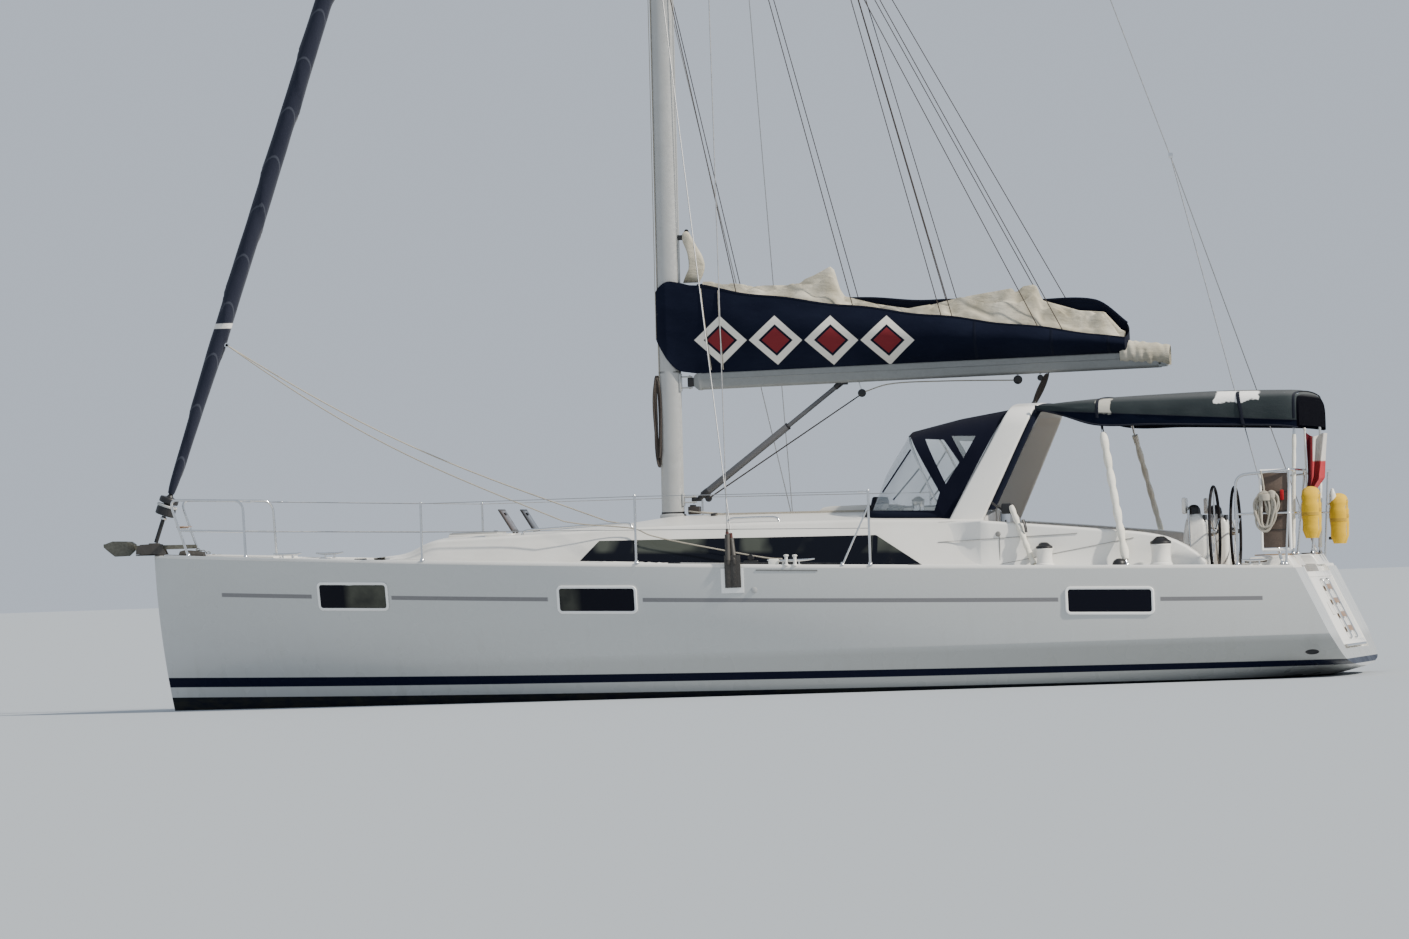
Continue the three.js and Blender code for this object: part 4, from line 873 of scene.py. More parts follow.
PLATFORM = dict(half=1100, low=290, length=800, thick=45)
SLOPE = hypot(1, TRANSOM_SLOPE)
UP_TRANSOM = Vector((-TRANSOM_SLOPE, 0, 1)) / SLOPE
OUT_TRANSOM = Vector((1, 0, TRANSOM_SLOPE)) / SLOPE
HINGE = Vector((X(STERN) + (TRANSOM_TOP - PLATFORM["low"]) * TRANSOM_SLOPE, 0, PLATFORM["low"]))


def on_transom(up, y, out):
    """A point of the transom: up its slope from the hinge, across, and out from its face."""
    p = HINGE + UP_TRANSOM * up + OUT_TRANSOM * out
    return Vector((p.x, y, p.z))


def cutters():
    """Solids of the cockpit's well, the passage through the stern and the swim platform's recess."""
    well = Shape().block((X(WELL_FRONT), -WELL_HALF, SOLE), (X(WELL_BACK), WELL_HALF, 2600), 0)
    passage = Shape().block((X(WELL_BACK) - 50, -PASSAGE_HALF, SOLE), (X(12600), PASSAGE_HALF, 2600), 0)
    corners = [(-30, -45.5), (1300, -45.5), (1300, 60), (-30, 60)]
    recess = Shape().loft([[on_transom(up, y, out) for up, out in corners] for y in (-1108, 1108)])
    return [shape.make("cutter", "white", ride=False) for shape in (well, passage, recess)]


def build_hull():
    shape = Shape().loft([hull_ring(s) for s in fine_stations(0, STERN, 72)])
    hull = shape.make("hull_shell", "hull white", slot="gelcoat", stands_for="hull")
    bore = Shape().rod((X(RUDDER_STATION), 0, -500), (X(RUDDER_STATION), 0, 120), STOCK_RADIUS + 1, 24)
    bore = bore.make("bore", "white", ride=False)
    carve(hull, *cutters(), bore)
    points = [v.co for v in hull.data.vertices]
    for edge in hull.data.edges:
        a, b = points[edge.vertices[0]], points[edge.vertices[1]]
        if abs(a.z - 0.42) < 1e-4 and abs(b.z - 0.42) < 1e-4 and min(a.x, b.x) > -1.7 and abs(a.y) > 1.5:
            edge.use_edge_sharp = True


def rounded_outline(width, height, radius, corner=6):
    """A rounded rectangle about its middle."""
    out = []
    for cx, cy, start in ((1, 1, 0), (-1, 1, 90), (-1, -1, 180), (1, -1, 270)):
        for k in range(corner + 1):
            a = radians(start + 90 * k / corner)
            x, y = (width / 2 - radius) * cx, (height / 2 - radius) * cy
            out.append((x + radius * cos(a), y + radius * sin(a)))
    return out


def side_window(shape, front, back, top, height, slope=-0.031, frame=26):
    """A framed pane that follows the hull's side."""
    length, middle = back - front, (front + back) / 2
    centre = top - height / 2 + slope * length / 2

    def ring(grow, out, scale=1.0):
        outline = rounded_outline(length + 2 * grow, height + 2 * grow, max(24 + grow, 6))
        points = []
        for along, up in outline:
            s, z = middle + along * scale, centre + slope * along * scale + up * scale
            points.append((raked(s, z), topside(s, z) + out, z))
        return points

    rim = [(frame, -14), (frame, 9), (frame - 4, 13), (7, 14), (1, 11), (-2, 2)]
    shape.loft([ring(grow, out) for grow, out in rim], 0, caps=False)
    shape.loft([ring(-1, 9, scale) for scale in (1, 0.97, 0.8, 0.6, 0.4, 0.2, 0.001)], 1, caps=False)


HULL_WINDOWS = rows(
    ["front", "back", "top", "height"],
    [[1903, 2612, 1199, 226], [4408, 5158, 1088, 218], [9373, 10168, 919, 215]])


def build_windows():
    shape = Shape()
    for window in HULL_WINDOWS:
        side_window(shape, **window)
    shape.mirrored().make("hull_windows", "bright side_pane", slot="white_frame")


def build_deck():
    rings = []
    for s in fine_stations(0, STERN - 15, 60):
        half, low = smooth(HULL, "sheer", s) - 2, sheer_z(s) + 0.3
        side = [(half, low), (half, low + 12), (half - 4, low + 21), (half - 12, low + 25)]
        inner = [(min(half * 0.6, half - 12.5), low + 25.5)]
        ring = [(y, z) for y, z in side + inner] + [(-y, z) for y, z in (side + inner)[::-1]]
        rings.append([(raked(s, z), y, z) for y, z in ring])
    deck = Shape().loft(rings).make("deck_mould", "deck white", slot="deck_moulding", stands_for="deck")
    carve(deck, *cutters())
    section = [(10, -8), (9, 3), (5, 8), (-4, 8), (-9, 3), (-10, -8)]
    rings = []
    for s in fine_stations(120, 10880, 60):
        y, z = smooth(HULL, "sheer", s) - 17, deck_top(s)
        rings.append([(raked(s, sheer_z(s)), y + across, z + up) for across, up in section])
    Shape().loft(rings).mirrored().make("toe_rail", "white", slot="deck_moulding")


COAMING_FRONT, COAMING_JOIN, COAMING_BACK = 8060, 8486, 10640
COAMING = rows(["station", "outer", "inner", "top"],
               [[8486, 1600, 1372, 1606], [9600, 1592, 1380, 1492], [10200, 1575, 1385, 1412],
                [10480, 1560, 1388, 1290], [10640, 1550, 1390, 1150]])


def blend_in(station):
    """How far the coaming has left the coachroof's side: 0 at its front and 1 where it joins the well."""
    return ((station - COAMING_FRONT) / (COAMING_JOIN - COAMING_FRONT)) ** 2


def build_coaming():
    shape = Shape()
    rings = []
    for s in span(COAMING_FRONT, COAMING_JOIN - 1, 12) + span(COAMING_JOIN, COAMING_BACK, 24):
        outer, inner, top = (smooth(COAMING, name, max(s, COAMING_JOIN))
                             for name in ("outer", "inner", "top"))
        foot = deck_top(s) - 8
        lean = 40 * (top - foot) / 500
        low_y, mid_y, high_y = outer + 4, outer - lean * 0.5, outer - lean
        if s < COAMING_JOIN:
            t = blend_in(s)
            levels = ((low_y, foot + 30), (mid_y, (foot + top) / 2), (high_y, top - 40))
            low_y, mid_y, high_y = ((roof_side(s, z) - 14) * (1 - t) + y * t for y, z in levels)
        ring = [(inner, foot), (low_y + 14, foot), (low_y, foot + 16), (mid_y, (foot + top) / 2)]
        for a in (radians(18 * k) for k in range(6)):
            ring.append((high_y - 38 + 38 * cos(a), top - 30 + 30 * sin(a)))
        for a in (radians(90 + 22.5 * k) for k in range(5)):
            ring.append((inner + 24 + 24 * cos(a), top - 20 + 20 * sin(a)))
        rings.append([(X(s), y, z) for y, z in ring])
    shape.loft(rings)
    shape.mirrored().make("coamings", "white", slot="deck_moulding")
    grooves = Shape()
    upper, lower = (8668, 1460), (8668, 1180)
    for (s0, z0), (s1, z1) in ((lower, upper), ((COAMING_FRONT, 1412), (9420, 1452)), (lower, (9960, 1392))):
        line = []
        for t in span(0, 1, 26):
            s, z = s0 + (s1 - s0) * t, z0 + (z1 - z0) * t
            y = smooth(COAMING, "outer", max(s, COAMING_JOIN)) - 0.08 * (z - deck_top(s) + 8) + 2
            if s < COAMING_JOIN:
                way = blend_in(s)
                y = (roof_side(s, z) + 3) * (1 - way) + y * way
            line.append((X(s), y, z))
        grooves.tube(line, 5, 6, flat=0.5)
    cap_y = smooth(COAMING, "outer", 8668) - 30
    grooves.lathe([(0, -4), (26, -4), (26, 6), (18, 14), (0, 16)], (X(8655), cap_y, 1470), (0, 1, 0.2), 18)
    grooves.mirrored().make("coaming_grooves", "grey", slot="deck_moulding")
    seats = Shape()
    front, back, inner, outer, top = 11056, 11505, 590, 1660, 1180
    outline = [(front, deck_top(front) - 8), (front, top - 55)]
    outline += [(front + 40 - 40 * cos(a), top - 55 + 40 * sin(a))
                for a in (radians(22.5 * k) for k in range(1, 5))]
    outline += [(back - 90, top), (back - 62, top - 8), (back - 48, top - 28), (back, deck_top(back) - 8)]
    rings = []
    for y, inset in ((inner, 22), (inner + 7, 7), (inner + 24, 0), (outer - 24, 0), (outer - 7, 7),
                     (outer, 22)):
        rings.append([(X(min(max(s, front + inset), back - inset)), y, z - (inset if z > 1120 else 0))
                      for s, z in outline])
    seats.loft(rings)
    seats.mirrored().make("stern_seats", "white", slot="deck_moulding")


# Coachroof
ROOF_FRONT, ROOF_BACK = 2300, 8485
ROOF = rows(["station", "base", "edge", "edgeZ", "crownZ"],
            [[2300, 500, 440, 1436, 1446], [2670, 720, 600, 1466, 1482], [2930, 840, 700, 1588, 1622],
             [3750, 1100, 930, 1605, 1645], [4770, 1360, 1130, 1640, 1695], [5250, 1430, 1190, 1650, 1756],
             [6200, 1510, 1280, 1655, 1760], [7300, 1570, 1350, 1650, 1745], [8485, 1600, 1385, 1610, 1700]])


def soft(column, station):
    """The roof's straight table with its corners eased."""
    near = [min(max(station + d, ROOF_FRONT), ROOF_BACK) for d in (-90, -45, 0, 45, 90)]
    return sum(straight(ROOF, column, s) for s in near) / 5


def roof_side(station, z):
    """Half breadth of the coachroof's side at a height."""
    foot = deck_top(station) + 0.3
    t = (z - foot) / (soft("edgeZ", station) - 22 - foot)
    return soft("base", station) * (1 - t) + (soft("edge", station) + 18) * t + 10 * 4 * t * (1 - t)


def roof_crown(station, y):
    """Height of the coachroof's cambered top."""
    edge, edge_z, crown = (soft(c, station) for c in ("edge", "edgeZ", "crownZ"))
    t = min(abs(y) / max(edge - 40, 1), 1)
    return edge_z + 8 + (crown - edge_z - 8) * (1 - t * t)


def roof_ring(station):
    """The coachroof's section at a station."""
    foot = deck_top(station) + 0.3
    base, edge, edge_z = (soft(c, station) for c in ("base", "edge", "edgeZ"))
    rise = edge_z - 22 - foot
    side = [(base + 16, foot), (base + 5, foot + min(8, rise * 0.3)), (base - 1, foot + min(18, rise * 0.5))]
    for t in (0.25, 0.45, 0.65, 0.85):
        z = foot + (edge_z - 34 - foot) * t
        side.append((roof_side(station, z), z))
    corner = [Vector((roof_side(station, edge_z - 34), edge_z - 34, 0)), Vector((edge + 14, edge_z + 6, 0)),
              Vector((edge - 40, roof_crown(station, edge - 40), 0))]
    for k in range(7):
        t = k / 6
        p = corner[0] * (1 - t) ** 2 + corner[1] * 2 * t * (1 - t) + corner[2] * t * t
        side.append((p.x, p.y))
    for part in (0.85, 0.68, 0.5, 0.34, 0.17):
        side.append(((edge - 40) * part, roof_crown(station, (edge - 40) * part)))
    ring = side + [(0, roof_crown(station, 0))] + [(-y, z) for y, z in side[::-1]]
    return [(X(station), y, z) for y, z in ring]


def build_roof():
    parts = ((ROOF_FRONT, 2560, 5), (2560, 3060, 15), (3060, 8400, 60), (8400, ROOF_BACK, 3))
    stations = [s for part in parts for s in span(*part)[:-1]] + [ROOF_BACK]
    shape = Shape().loft([roof_ring(s) for s in stations])
    shape.block((X(3020), -250, 1560), (X(3520), 250, 1646), 10)
    for low, high in ((390, 750), (-750, -390)):
        shape.block((X(3480), low, 1560), (X(3755), high, 1640), 8)
    shape.block((X(7300), -370, 1600), (X(8170), 370, 1757), 8)
    garage = [(6700, 1700), (6735, 1760), (6775, 1790), (6840, 1799), (7400, 1803), (7420, 1800),
              (7420, 1790), (6840, 1788.5), (6800, 1780), (6800, 1757), (7420, 1757), (7420, 1700)]
    shape.prism(garage, -350, 350)
    for sign in (1, -1):
        wall = [(6700, 1700), (6735, 1755), (6775, 1786), (6840, 1796), (7400, 1800), (7420, 1797),
                (7420, 1700)]
        shape.loft([[(X(s), y * sign, z) for s, z in wall] for y in (332, 368)])
        shape.loft([[(X(s), y * sign, z - 10 * (z > 1710)) for s, z in wall] for y in (366, 375)])
    shape.make("coachroof_mould", "deck", slot="deck_moulding", stands_for="coachroof")


def follow_side(front_pair, back_pair, columns, levels):
    """A grid of [station, z] between two slanted ends."""
    grid = []
    for i in range(columns + 1):
        t = i / columns
        low = Vector(front_pair[0]).lerp(Vector(back_pair[0]), t)
        high = Vector(front_pair[1]).lerp(Vector(back_pair[1]), t)
        grid.append([low.lerp(high, k / levels) for k in range(levels + 1)])
    return grid


ROOF_WINDOW = [(4500, 1328), (4700, 1536), (7452, 1501), (7912, 1200)]


def build_roof_windows():
    low_front, high_front, high_back, low_back = ROOF_WINDOW
    for side, sign in SIDES:
        shape = Shape()
        grid = [[(X(p.x), (roof_side(p.x, p.y) + 9) * sign, p.y) for p in row]
                for row in follow_side((low_front, high_front), (low_back, high_back), 60, 6)]
        shape.sheet(grid)
        rim = [row[0] for row in grid] + grid[-1][1:-1] + [row[-1] for row in grid[::-1]] + grid[0][-2:0:-1]
        shape.loft([rim, [(x, y - 16 * sign, z) for x, y, z in rim]], 1, caps=False)
        shape.make("roof_panes_" + side, "roof_pane black", slot="tinted_acrylic",
                   stands_for="roof_window_" + side)


def hatch_lid(name, low, high, hinge, body, stands_for, half_barrel, looks, turn=0):
    """A smoked lid in a metal frame with hinges and a handle."""
    shape = Shape()
    z0, z1 = low[2], high[2]
    shape.block((low[0], low[1], z0), (high[0], high[1], z1 - 4), 4, 1)
    shape.block((low[0] + 22, low[1] + 22, z1 - 6), (high[0] - 22, high[1] - 22, z1), 3, 0)
    mid_y = (low[1] + high[1]) / 2
    axis_x, axis_z = X(hinge[0]), hinge[1]
    for y in (mid_y - half_barrel * 0.7, mid_y + half_barrel * 0.7):
        shape.rod((axis_x, y - 28, axis_z), (axis_x, y + 28, axis_z), 8, 12, 1)
    handle = low[0] + 60 if axis_x - low[0] > abs(high[0] - axis_x) else high[0] - 60
    shape.block((handle - 14, mid_y - 40, z1 - 1), (handle + 14, mid_y + 40, z1 + 9), 4, 2)
    rotation, pivot = Matrix.Rotation(radians(turn), 3, "Y"), Vector((axis_x, 0, axis_z))
    shape.points = [pivot + rotation @ (p - pivot) for p in shape.points]
    shape.make(name, looks, body=body, slot="tinted_acrylic", stands_for=stands_for)


def build_hatches():
    hatch_lid("fore_hatch_lid_piece", (X(3028), -238, 1646.5), (X(3508), 238, 1666.5), (3028, 1655.5),
              "fore_hatch_lid", "fore_hatch", 180, "hatch alloy black")
    for side, low, high in (("stbd", 402, 738), ("port", -738, -402)):
        hatch_lid("vent_lid_piece_" + side, (X(3490), low, 1645.5), (X(3753), high, 1661.5), (3755, 1648.5),
                  "vent_lid_" + side, "vent_hatch_" + side, 120, "brown_pane dark_frame black", 59)
    slide = Shape().block((X(7450), -325, 1757.3), (X(8130), 325, 1777), 6, 0)
    slide.block((X(8078), -300, 1774), (X(8118), 300, 1781.3), 3, 1)
    slide.block((X(8060), -50, 1775), (X(8090), 50, 1781.3), 3, 2)
    slide.make("companionway_lid_piece", "hatch alloy black", body="companionway_lid",
               slot="tinted_acrylic", stands_for="companionway_hatch")
    board = Shape().block((X(8500.3), -310, 760), (X(8518), 310, 1690), 4, 0)
    board.block((X(8517), -36, 1560), (X(8527), 36, 1610), 3, 1)
    board.block((X(8500), -345, 740), (X(8512), -306, 1700), 4, 1)
    board.block((X(8500), 306, 740), (X(8512), 345, 1700), 4, 1)
    board.make("washboard_piece", "hatch alloy", slot="tinted_acrylic", stands_for="washboard")
    lid = Shape()

    def ring(s, half):
        low = deck_top(s) + 0.5
        side = [(half, low), (half - 2, low + 12), (half - 7, low + 19), (half - 16, low + 22)]
        return [(X(s), y, z) for y, z in side] + [(X(s), -y, z) for y, z in side[::-1]]

    tapered = [ring(s, 200 + 360 * (s - 560) / 770) for s in span(590, 1322, 12)]
    lid.loft([ring(560, 188), ring(568, 200)] + tapered + [ring(1330, 552)])
    for off in (-300, 300):
        lid.rod((X(1330), off - 45, deck_top(1330) + 9), (X(1330), off + 45, deck_top(1330) + 9), 8, 12, 1)
    lid.block((X(640), -45, deck_top(640) + 21), (X(668), 45, deck_top(640) + 28), 3, 1)
    lid.make("locker_lid_piece", "deck steel", body="locker_lid", slot="deck_moulding",
             stands_for="anchor_locker_lid")


# Arch, sprayhood and bimini
ARCH_FOOT, ARCH_FOOT_Z, ARCH_LEAN = 8312, 1610, 0.519
ARCH_HALF = [(1322, 1560, 342), (1255, 2000, 310), (1190, 2420, 272), (1150, 2565, 262), (1060, 2650, 254),
             (900, 2684, 250), (0, 2700, 250)]


def arch_station(z):
    """The arch leans aft with its height."""
    return ARCH_FOOT + (z - ARCH_FOOT_Z) * ARCH_LEAN


def build_arch():
    line = ARCH_HALF + [(-y, z, w) for y, z, w in ARCH_HALF[:-1][::-1]]
    fine = spline(line, 6)
    shape, roll = Shape(), Shape()
    rings, bands = [], []
    for i, (y, z, wide) in enumerate(fine):
        before, after = fine[max(i - 1, 0)], fine[min(i + 1, len(fine) - 1)]
        out = Vector((before.y - after.y, after.x - before.x)).normalized()
        s, w = arch_station(z), wide / 2
        profile = rounded_outline(wide, 60, 26, 4)
        rings.append([(X(s + along), y + out.x * off, z + out.y * off) for along, off in profile])
        if y < 0 and 1665 < z < 2640:
            bands.append([(X(s + w + 34 + 36 * cos(a)), y + out.x * 26 * sin(a), z + out.y * 26 * sin(a))
                          for a in turns(14)])
    shape.loft(rings)
    arch = shape.make("arch_moulding", "white inner", slot="gelcoat", stands_for="arch")
    # The faces that turn towards the centreline take the inner look, a painted bounce light on the shaded
    # inner faces.
    for poly in arch.data.polygons:
        if poly.normal.y * poly.center.y < -0.25 and poly.center.z < 2.6 and abs(poly.center.y) > 0.9:
            poly.material_index = 1
    roll.loft(bands)
    roll.make("arch_edge_roll", "navy", slot="navy_canvas")


HOOD_FOOT, HOOD_HEIGHT = 1600, 1078
HOOD_ROWS = rows(
    ["station", "height", "reach", "half"],
    [[8078, 0, -795, 1235], [8092, 460, -612, 1250], [8106, 890, -381, 1262], [8118, 1000, 92, 1265],
     [8128, 1078, 594, 1265]])


def hood_point(row, angle):
    """A point of the hood's boxy arch: its front face is broad and its corners are tight."""
    power = 0.20 + 0.15 * row["height"] / HOOD_HEIGHT
    rise = max(0, cos(angle)) ** power
    side = copysign(abs(sin(angle)) ** power, sin(angle))
    return Vector((X(row["station"] + row["reach"] * rise), side * row["half"],
                   HOOD_FOOT + row["height"] * rise))


def cloth_sheet(name, grid, looks, slot, thick=3, body=BOAT, stands_for=None,
                crease=60, ride=True):
    """A sheet of cloth over a grid of points."""
    shape = Shape().sheet(grid, 0, thick)
    obj = shape.make(name, looks, body=body, slot=slot, stands_for=stands_for, crease=crease, ride=ride)
    return obj


LID_GAP = 430


def roof_top(station, y):
    """Height of the coachroof's upper surface, with its rounded edge."""
    flat = soft("edge", station) - 40
    return roof_crown(station, min(abs(y), flat)) - max(abs(y) - flat, 0) * 1.2


def hood_turn(t):
    """The angle at a share t of half the hood's arch, from -1 to 1, with points evenly along the cloth."""
    power = 0.25
    corner = 0.5 ** (power / 2)
    if abs(t) < 0.5:
        return copysign(asin((2 * abs(t) * corner) ** (1 / power)), t)
    return copysign(acos(((2 - 2 * abs(t)) * corner) ** (1 / power)), t)


def build_hood():
    def level(k):
        i = min(int(k), 3)
        a, b = HOOD_ROWS[i], HOOD_ROWS[i + 1]
        return {key: a[key] + (b[key] - a[key]) * (k - i) for key in a}

    def over_lid(y):
        return max(0, min(1, (LID_GAP + 80 - abs(y)) / 80))

    grid = []
    for u in span(0, 1, 41):
        line = []
        for t in span(-1, 1, 87):
            angle = hood_turn(t)
            foot = 0.25 + 0.19 * over_lid(hood_point(HOOD_ROWS[0], angle).y)
            row = level(foot + (4 - foot) * u)
            sag = 7 * sin(row["height"] / HOOD_HEIGHT * pi * 3) * cos(angle)
            pucker = 3 * sin(t * 110) * (1 - min(row["height"] / 300, 1))
            line.append(hood_point(row, angle) + Vector((sag + pucker, 0, 0)))
        grid.append(line)
    bars = Shape()
    for k in (2, 4):
        path = [hood_point(HOOD_ROWS[k], hood_turn(t)) for t in span(-0.97, 0.97, 60)]
        inner = [(p.x + (X(7950) - p.x) * 0.02, p.y * 0.976, HOOD_FOOT + (p.z - HOOD_FOOT) * 0.972)
                 for p in path]
        bars.tube(inner, 12, 10)
    bars.make("hood_bows", "steel", slot="stainless")
    hem = Shape()
    foot = []
    for t in span(-1, 1, 87):
        p = hood_point(HOOD_ROWS[0], hood_turn(t))
        base = max(p.z + 70, roof_top(p.x + ORIGIN_STATION, p.y) + 26)
        foot.append((p.x, p.y, base + max(0, 1836 - base) * over_lid(p.y)))
    hem.tube(foot, 20, 10, flat=2.1)
    for sign in (1, -1):
        for low, high in (((7497, 1909), (7780, 2313)), ((7600, 1833), (7864, 2133))):
            hem.tube([(X(s), sign * y, z) for (s, z), y in ((low, 1232), (high, 1196))], 9, 6)
    hem.make("hood_hem", "navy", slot="navy_canvas")
    cloth_sheet("hood_sheet", grid, "hood", "navy_canvas", 2.5,
                stands_for="sprayhood")


BIMINI_FRONT, BIMINI_BACK = 9006, 11545
FORE_HOOP, AFT_HOOP = 9610, 11500
BIMINI = rows(
    ["station", "top", "low", "half"],
    [
        [9006, 2722, 2660, 1160],
        [9240, 2742, 2600, 1215],
        [9600, 2765, 2488, 1265],
        [10150, 2786, 2474, 1275],
        [10760, 2798, 2448, 1275],
        [11350, 2782, 2420, 1268],
        [11480, 2768, 2404, 1258],
        [11545, 2728, 2392, 1235],
    ],
)
TUBE = 13


def bimini_ring(s):
    """The bimini's section at a station: a cambered top with a hanging valance."""
    top, low, half = (smooth(BIMINI, c, s) for c in ("top", "low", "half"))
    sag = 9 * sin(max(0, min(1, (s - FORE_HOOP) / (AFT_HOOP - FORE_HOOP))) * pi)
    flute = 3.5 * sin(s / 46) + 3 * sin(s / 121 + 1)
    deep = top - low
    side = [(half, low), (half + 5 + flute, low + deep * 0.3), (half + 4 + flute * 0.5, low + deep * 0.55),
            (half - 12, top - 92), (half - 48, top - 58), (half - 130, top - 40), (half * 0.66, top - 20),
            (half * 0.33, top - 8)]
    line = side + [(0, top - 4)] + [(-y, z) for y, z in side[::-1]]
    return spline([(X(s), y, z - sag * (1 - abs(y) / half)) for y, z in line], 4)


def build_bimini():
    grid = [bimini_ring(s) for s in span(BIMINI_FRONT, AFT_HOOP, 46)]
    low, top = smooth(BIMINI, "low", BIMINI_BACK), smooth(BIMINI, "top", BIMINI_BACK)
    for s, drop in ((11530, 8), (11546, 34), (11552, 78), (11552, 140), (11550, 220), (11548, 310)):
        share = drop / (top - low)
        grid.append([(X(s), p.y * (1 - 0.00003 * drop), max(p.z - share * (p.z - low), low))
                     for p in bimini_ring(min(s, BIMINI_BACK))])
    pockets = Shape()
    for s in (FORE_HOOP, AFT_HOOP):
        pockets.tube([p + Vector((0, 0, 3)) for p in bimini_ring(s)][3:-3], 15, 8, flat=0.3)
    strap = [p for p in bimini_ring(10960) if p.y < -1100]
    pockets.tube([p + Vector((0.16 * (2790 - p.z), -7, 3)) for p in strap], 17, 6, flat=0.25)
    hem = Shape()
    for side in (0, -1):
        hem.tube([bimini_ring(s)[side] for s in span(9020, BIMINI_BACK - 8, 60)], 9, 8)
        seam = []
        for s in span(9060, BIMINI_BACK - 20, 60):
            z = 1000 * (BIMINI_SEAM[0] + BIMINI_SEAM[1] * X(s) / 1000)
            if z > smooth(BIMINI, "low", s) + 20:
                seam.append((X(s), (smooth(BIMINI, "half", s) + 7) * (-1 if side else 1), z))
        hem.tube(seam, 5, 6, flat=0.6)
    hem.tube(bimini_ring(BIMINI_FRONT), 11, 8)
    pockets.make("bimini_pockets", "bimini", slot="bimini_canvas")
    hem.make("bimini_hem", "bimini", slot="bimini_canvas")
    cloth_sheet("bimini_sheet", grid, "bimini_top",
                "bimini_canvas", stands_for="bimini")


def hoop_z(s):
    """Height of the bimini's hoops under its cloth."""
    return straight(BIMINI, "top", s) - 22


def bow_path(foot, knee_station, knee_y, top_station):
    """The centre line of one bimini hoop."""
    side = [foot, (X(knee_station), knee_y, 2500), (X(top_station), knee_y - 150, hoop_z(top_station) - 16),
            (X(top_station), 500, hoop_z(top_station) - 4), (X(top_station), 0, hoop_z(top_station))]
    return rounded(side + [(a, -b, c) for a, b, c in side[:-1][::-1]], 110, 8)


def base_plate(shape, x, y, z, radius=38, mat=0):
    """A round foot plate of a rail."""
    outline = [(0, -1), (1, -1), (1, 4), (0.7, 7), (0.52, 16), (0.45, 34), (0, 34)]
    shape.lathe([(radius * r, h) for r, h in outline], (x, y, z), sides=20, mat=mat)


def lumpy(path, radius, swell, seed):
    """Radii along a padded bar whose cover bulges between its lashings."""
    def size(t):
        bulge = abs(sin(t * pi * 7 + seed))
        return radius + swell * bulge ** 0.7 + swell * 0.5 * noise.noise(Vector((t * 9, seed, 0)))
    return Shape().tube(path, size, 14)


def build_bows():
    paths = {
        "fore": bow_path((X(9908), 1745, deck_top(9908) + 0.4), 9640, 1205, FORE_HOOP),
        "aft": bow_path((X(11452), 1250, 1180.4), AFT_HOOP, 1190, AFT_HOOP),
    }
    for name, path in paths.items():
        shape = Shape().tube(path, TUBE, 12)
        foot = path[0]
        for sign in (1, -1):
            base_plate(shape, foot.x, sign * abs(foot.y), foot.z - 0.4)
        shape.make("bimini_bow_" + name, "steel", slot="stainless", stands_for="bimini_hoop_" + name)
    for name, bow, mirror, low, high, radius, swell in (
            ("bow_pad_port", "fore", -1, 1185, 2405, 27, 13), ("bow_pad_stbd", "fore", 1, 1185, 2405, 22, 9),
            ("bow_sleeve_port", "aft", -1, 1240, 2330, 17, 4),
            ("bow_sleeve_stbd", "aft", 1, 1240, 2330, 17, 4)):
        leg = [p for p in paths[bow][:6] if p.z < 2560]
        a, b = leg[0], leg[1]
        line = [a.lerp(b, (z - a.z) / (b.z - a.z)) for z in span(low, high, 60)]
        pad = lumpy([(p.x, mirror * abs(p.y), p.z) for p in line], radius, swell, 1 + mirror)
        piece = pad.make(name, "pad", slot="flag_cloth")


# Spars and rigging
MAST_TOP, GOOSENECK, GOOSENECK_Z, VANG_Z = 18200, 5438, 3065, 1914
MAST_FOOT, MAST_FOOT_Z, MAST_RAKE = 5227, 1770, 0.0091
MAST_LONG, MAST_WIDE = 112.5, 67.5
WIRE = 5


def mast_station(z):
    """The mast rakes aft with its height."""
    return MAST_FOOT + MAST_RAKE * (z - MAST_FOOT_Z)


def mast_front(z):
    """The station of the mast's front face."""
    return mast_station(z) - MAST_LONG


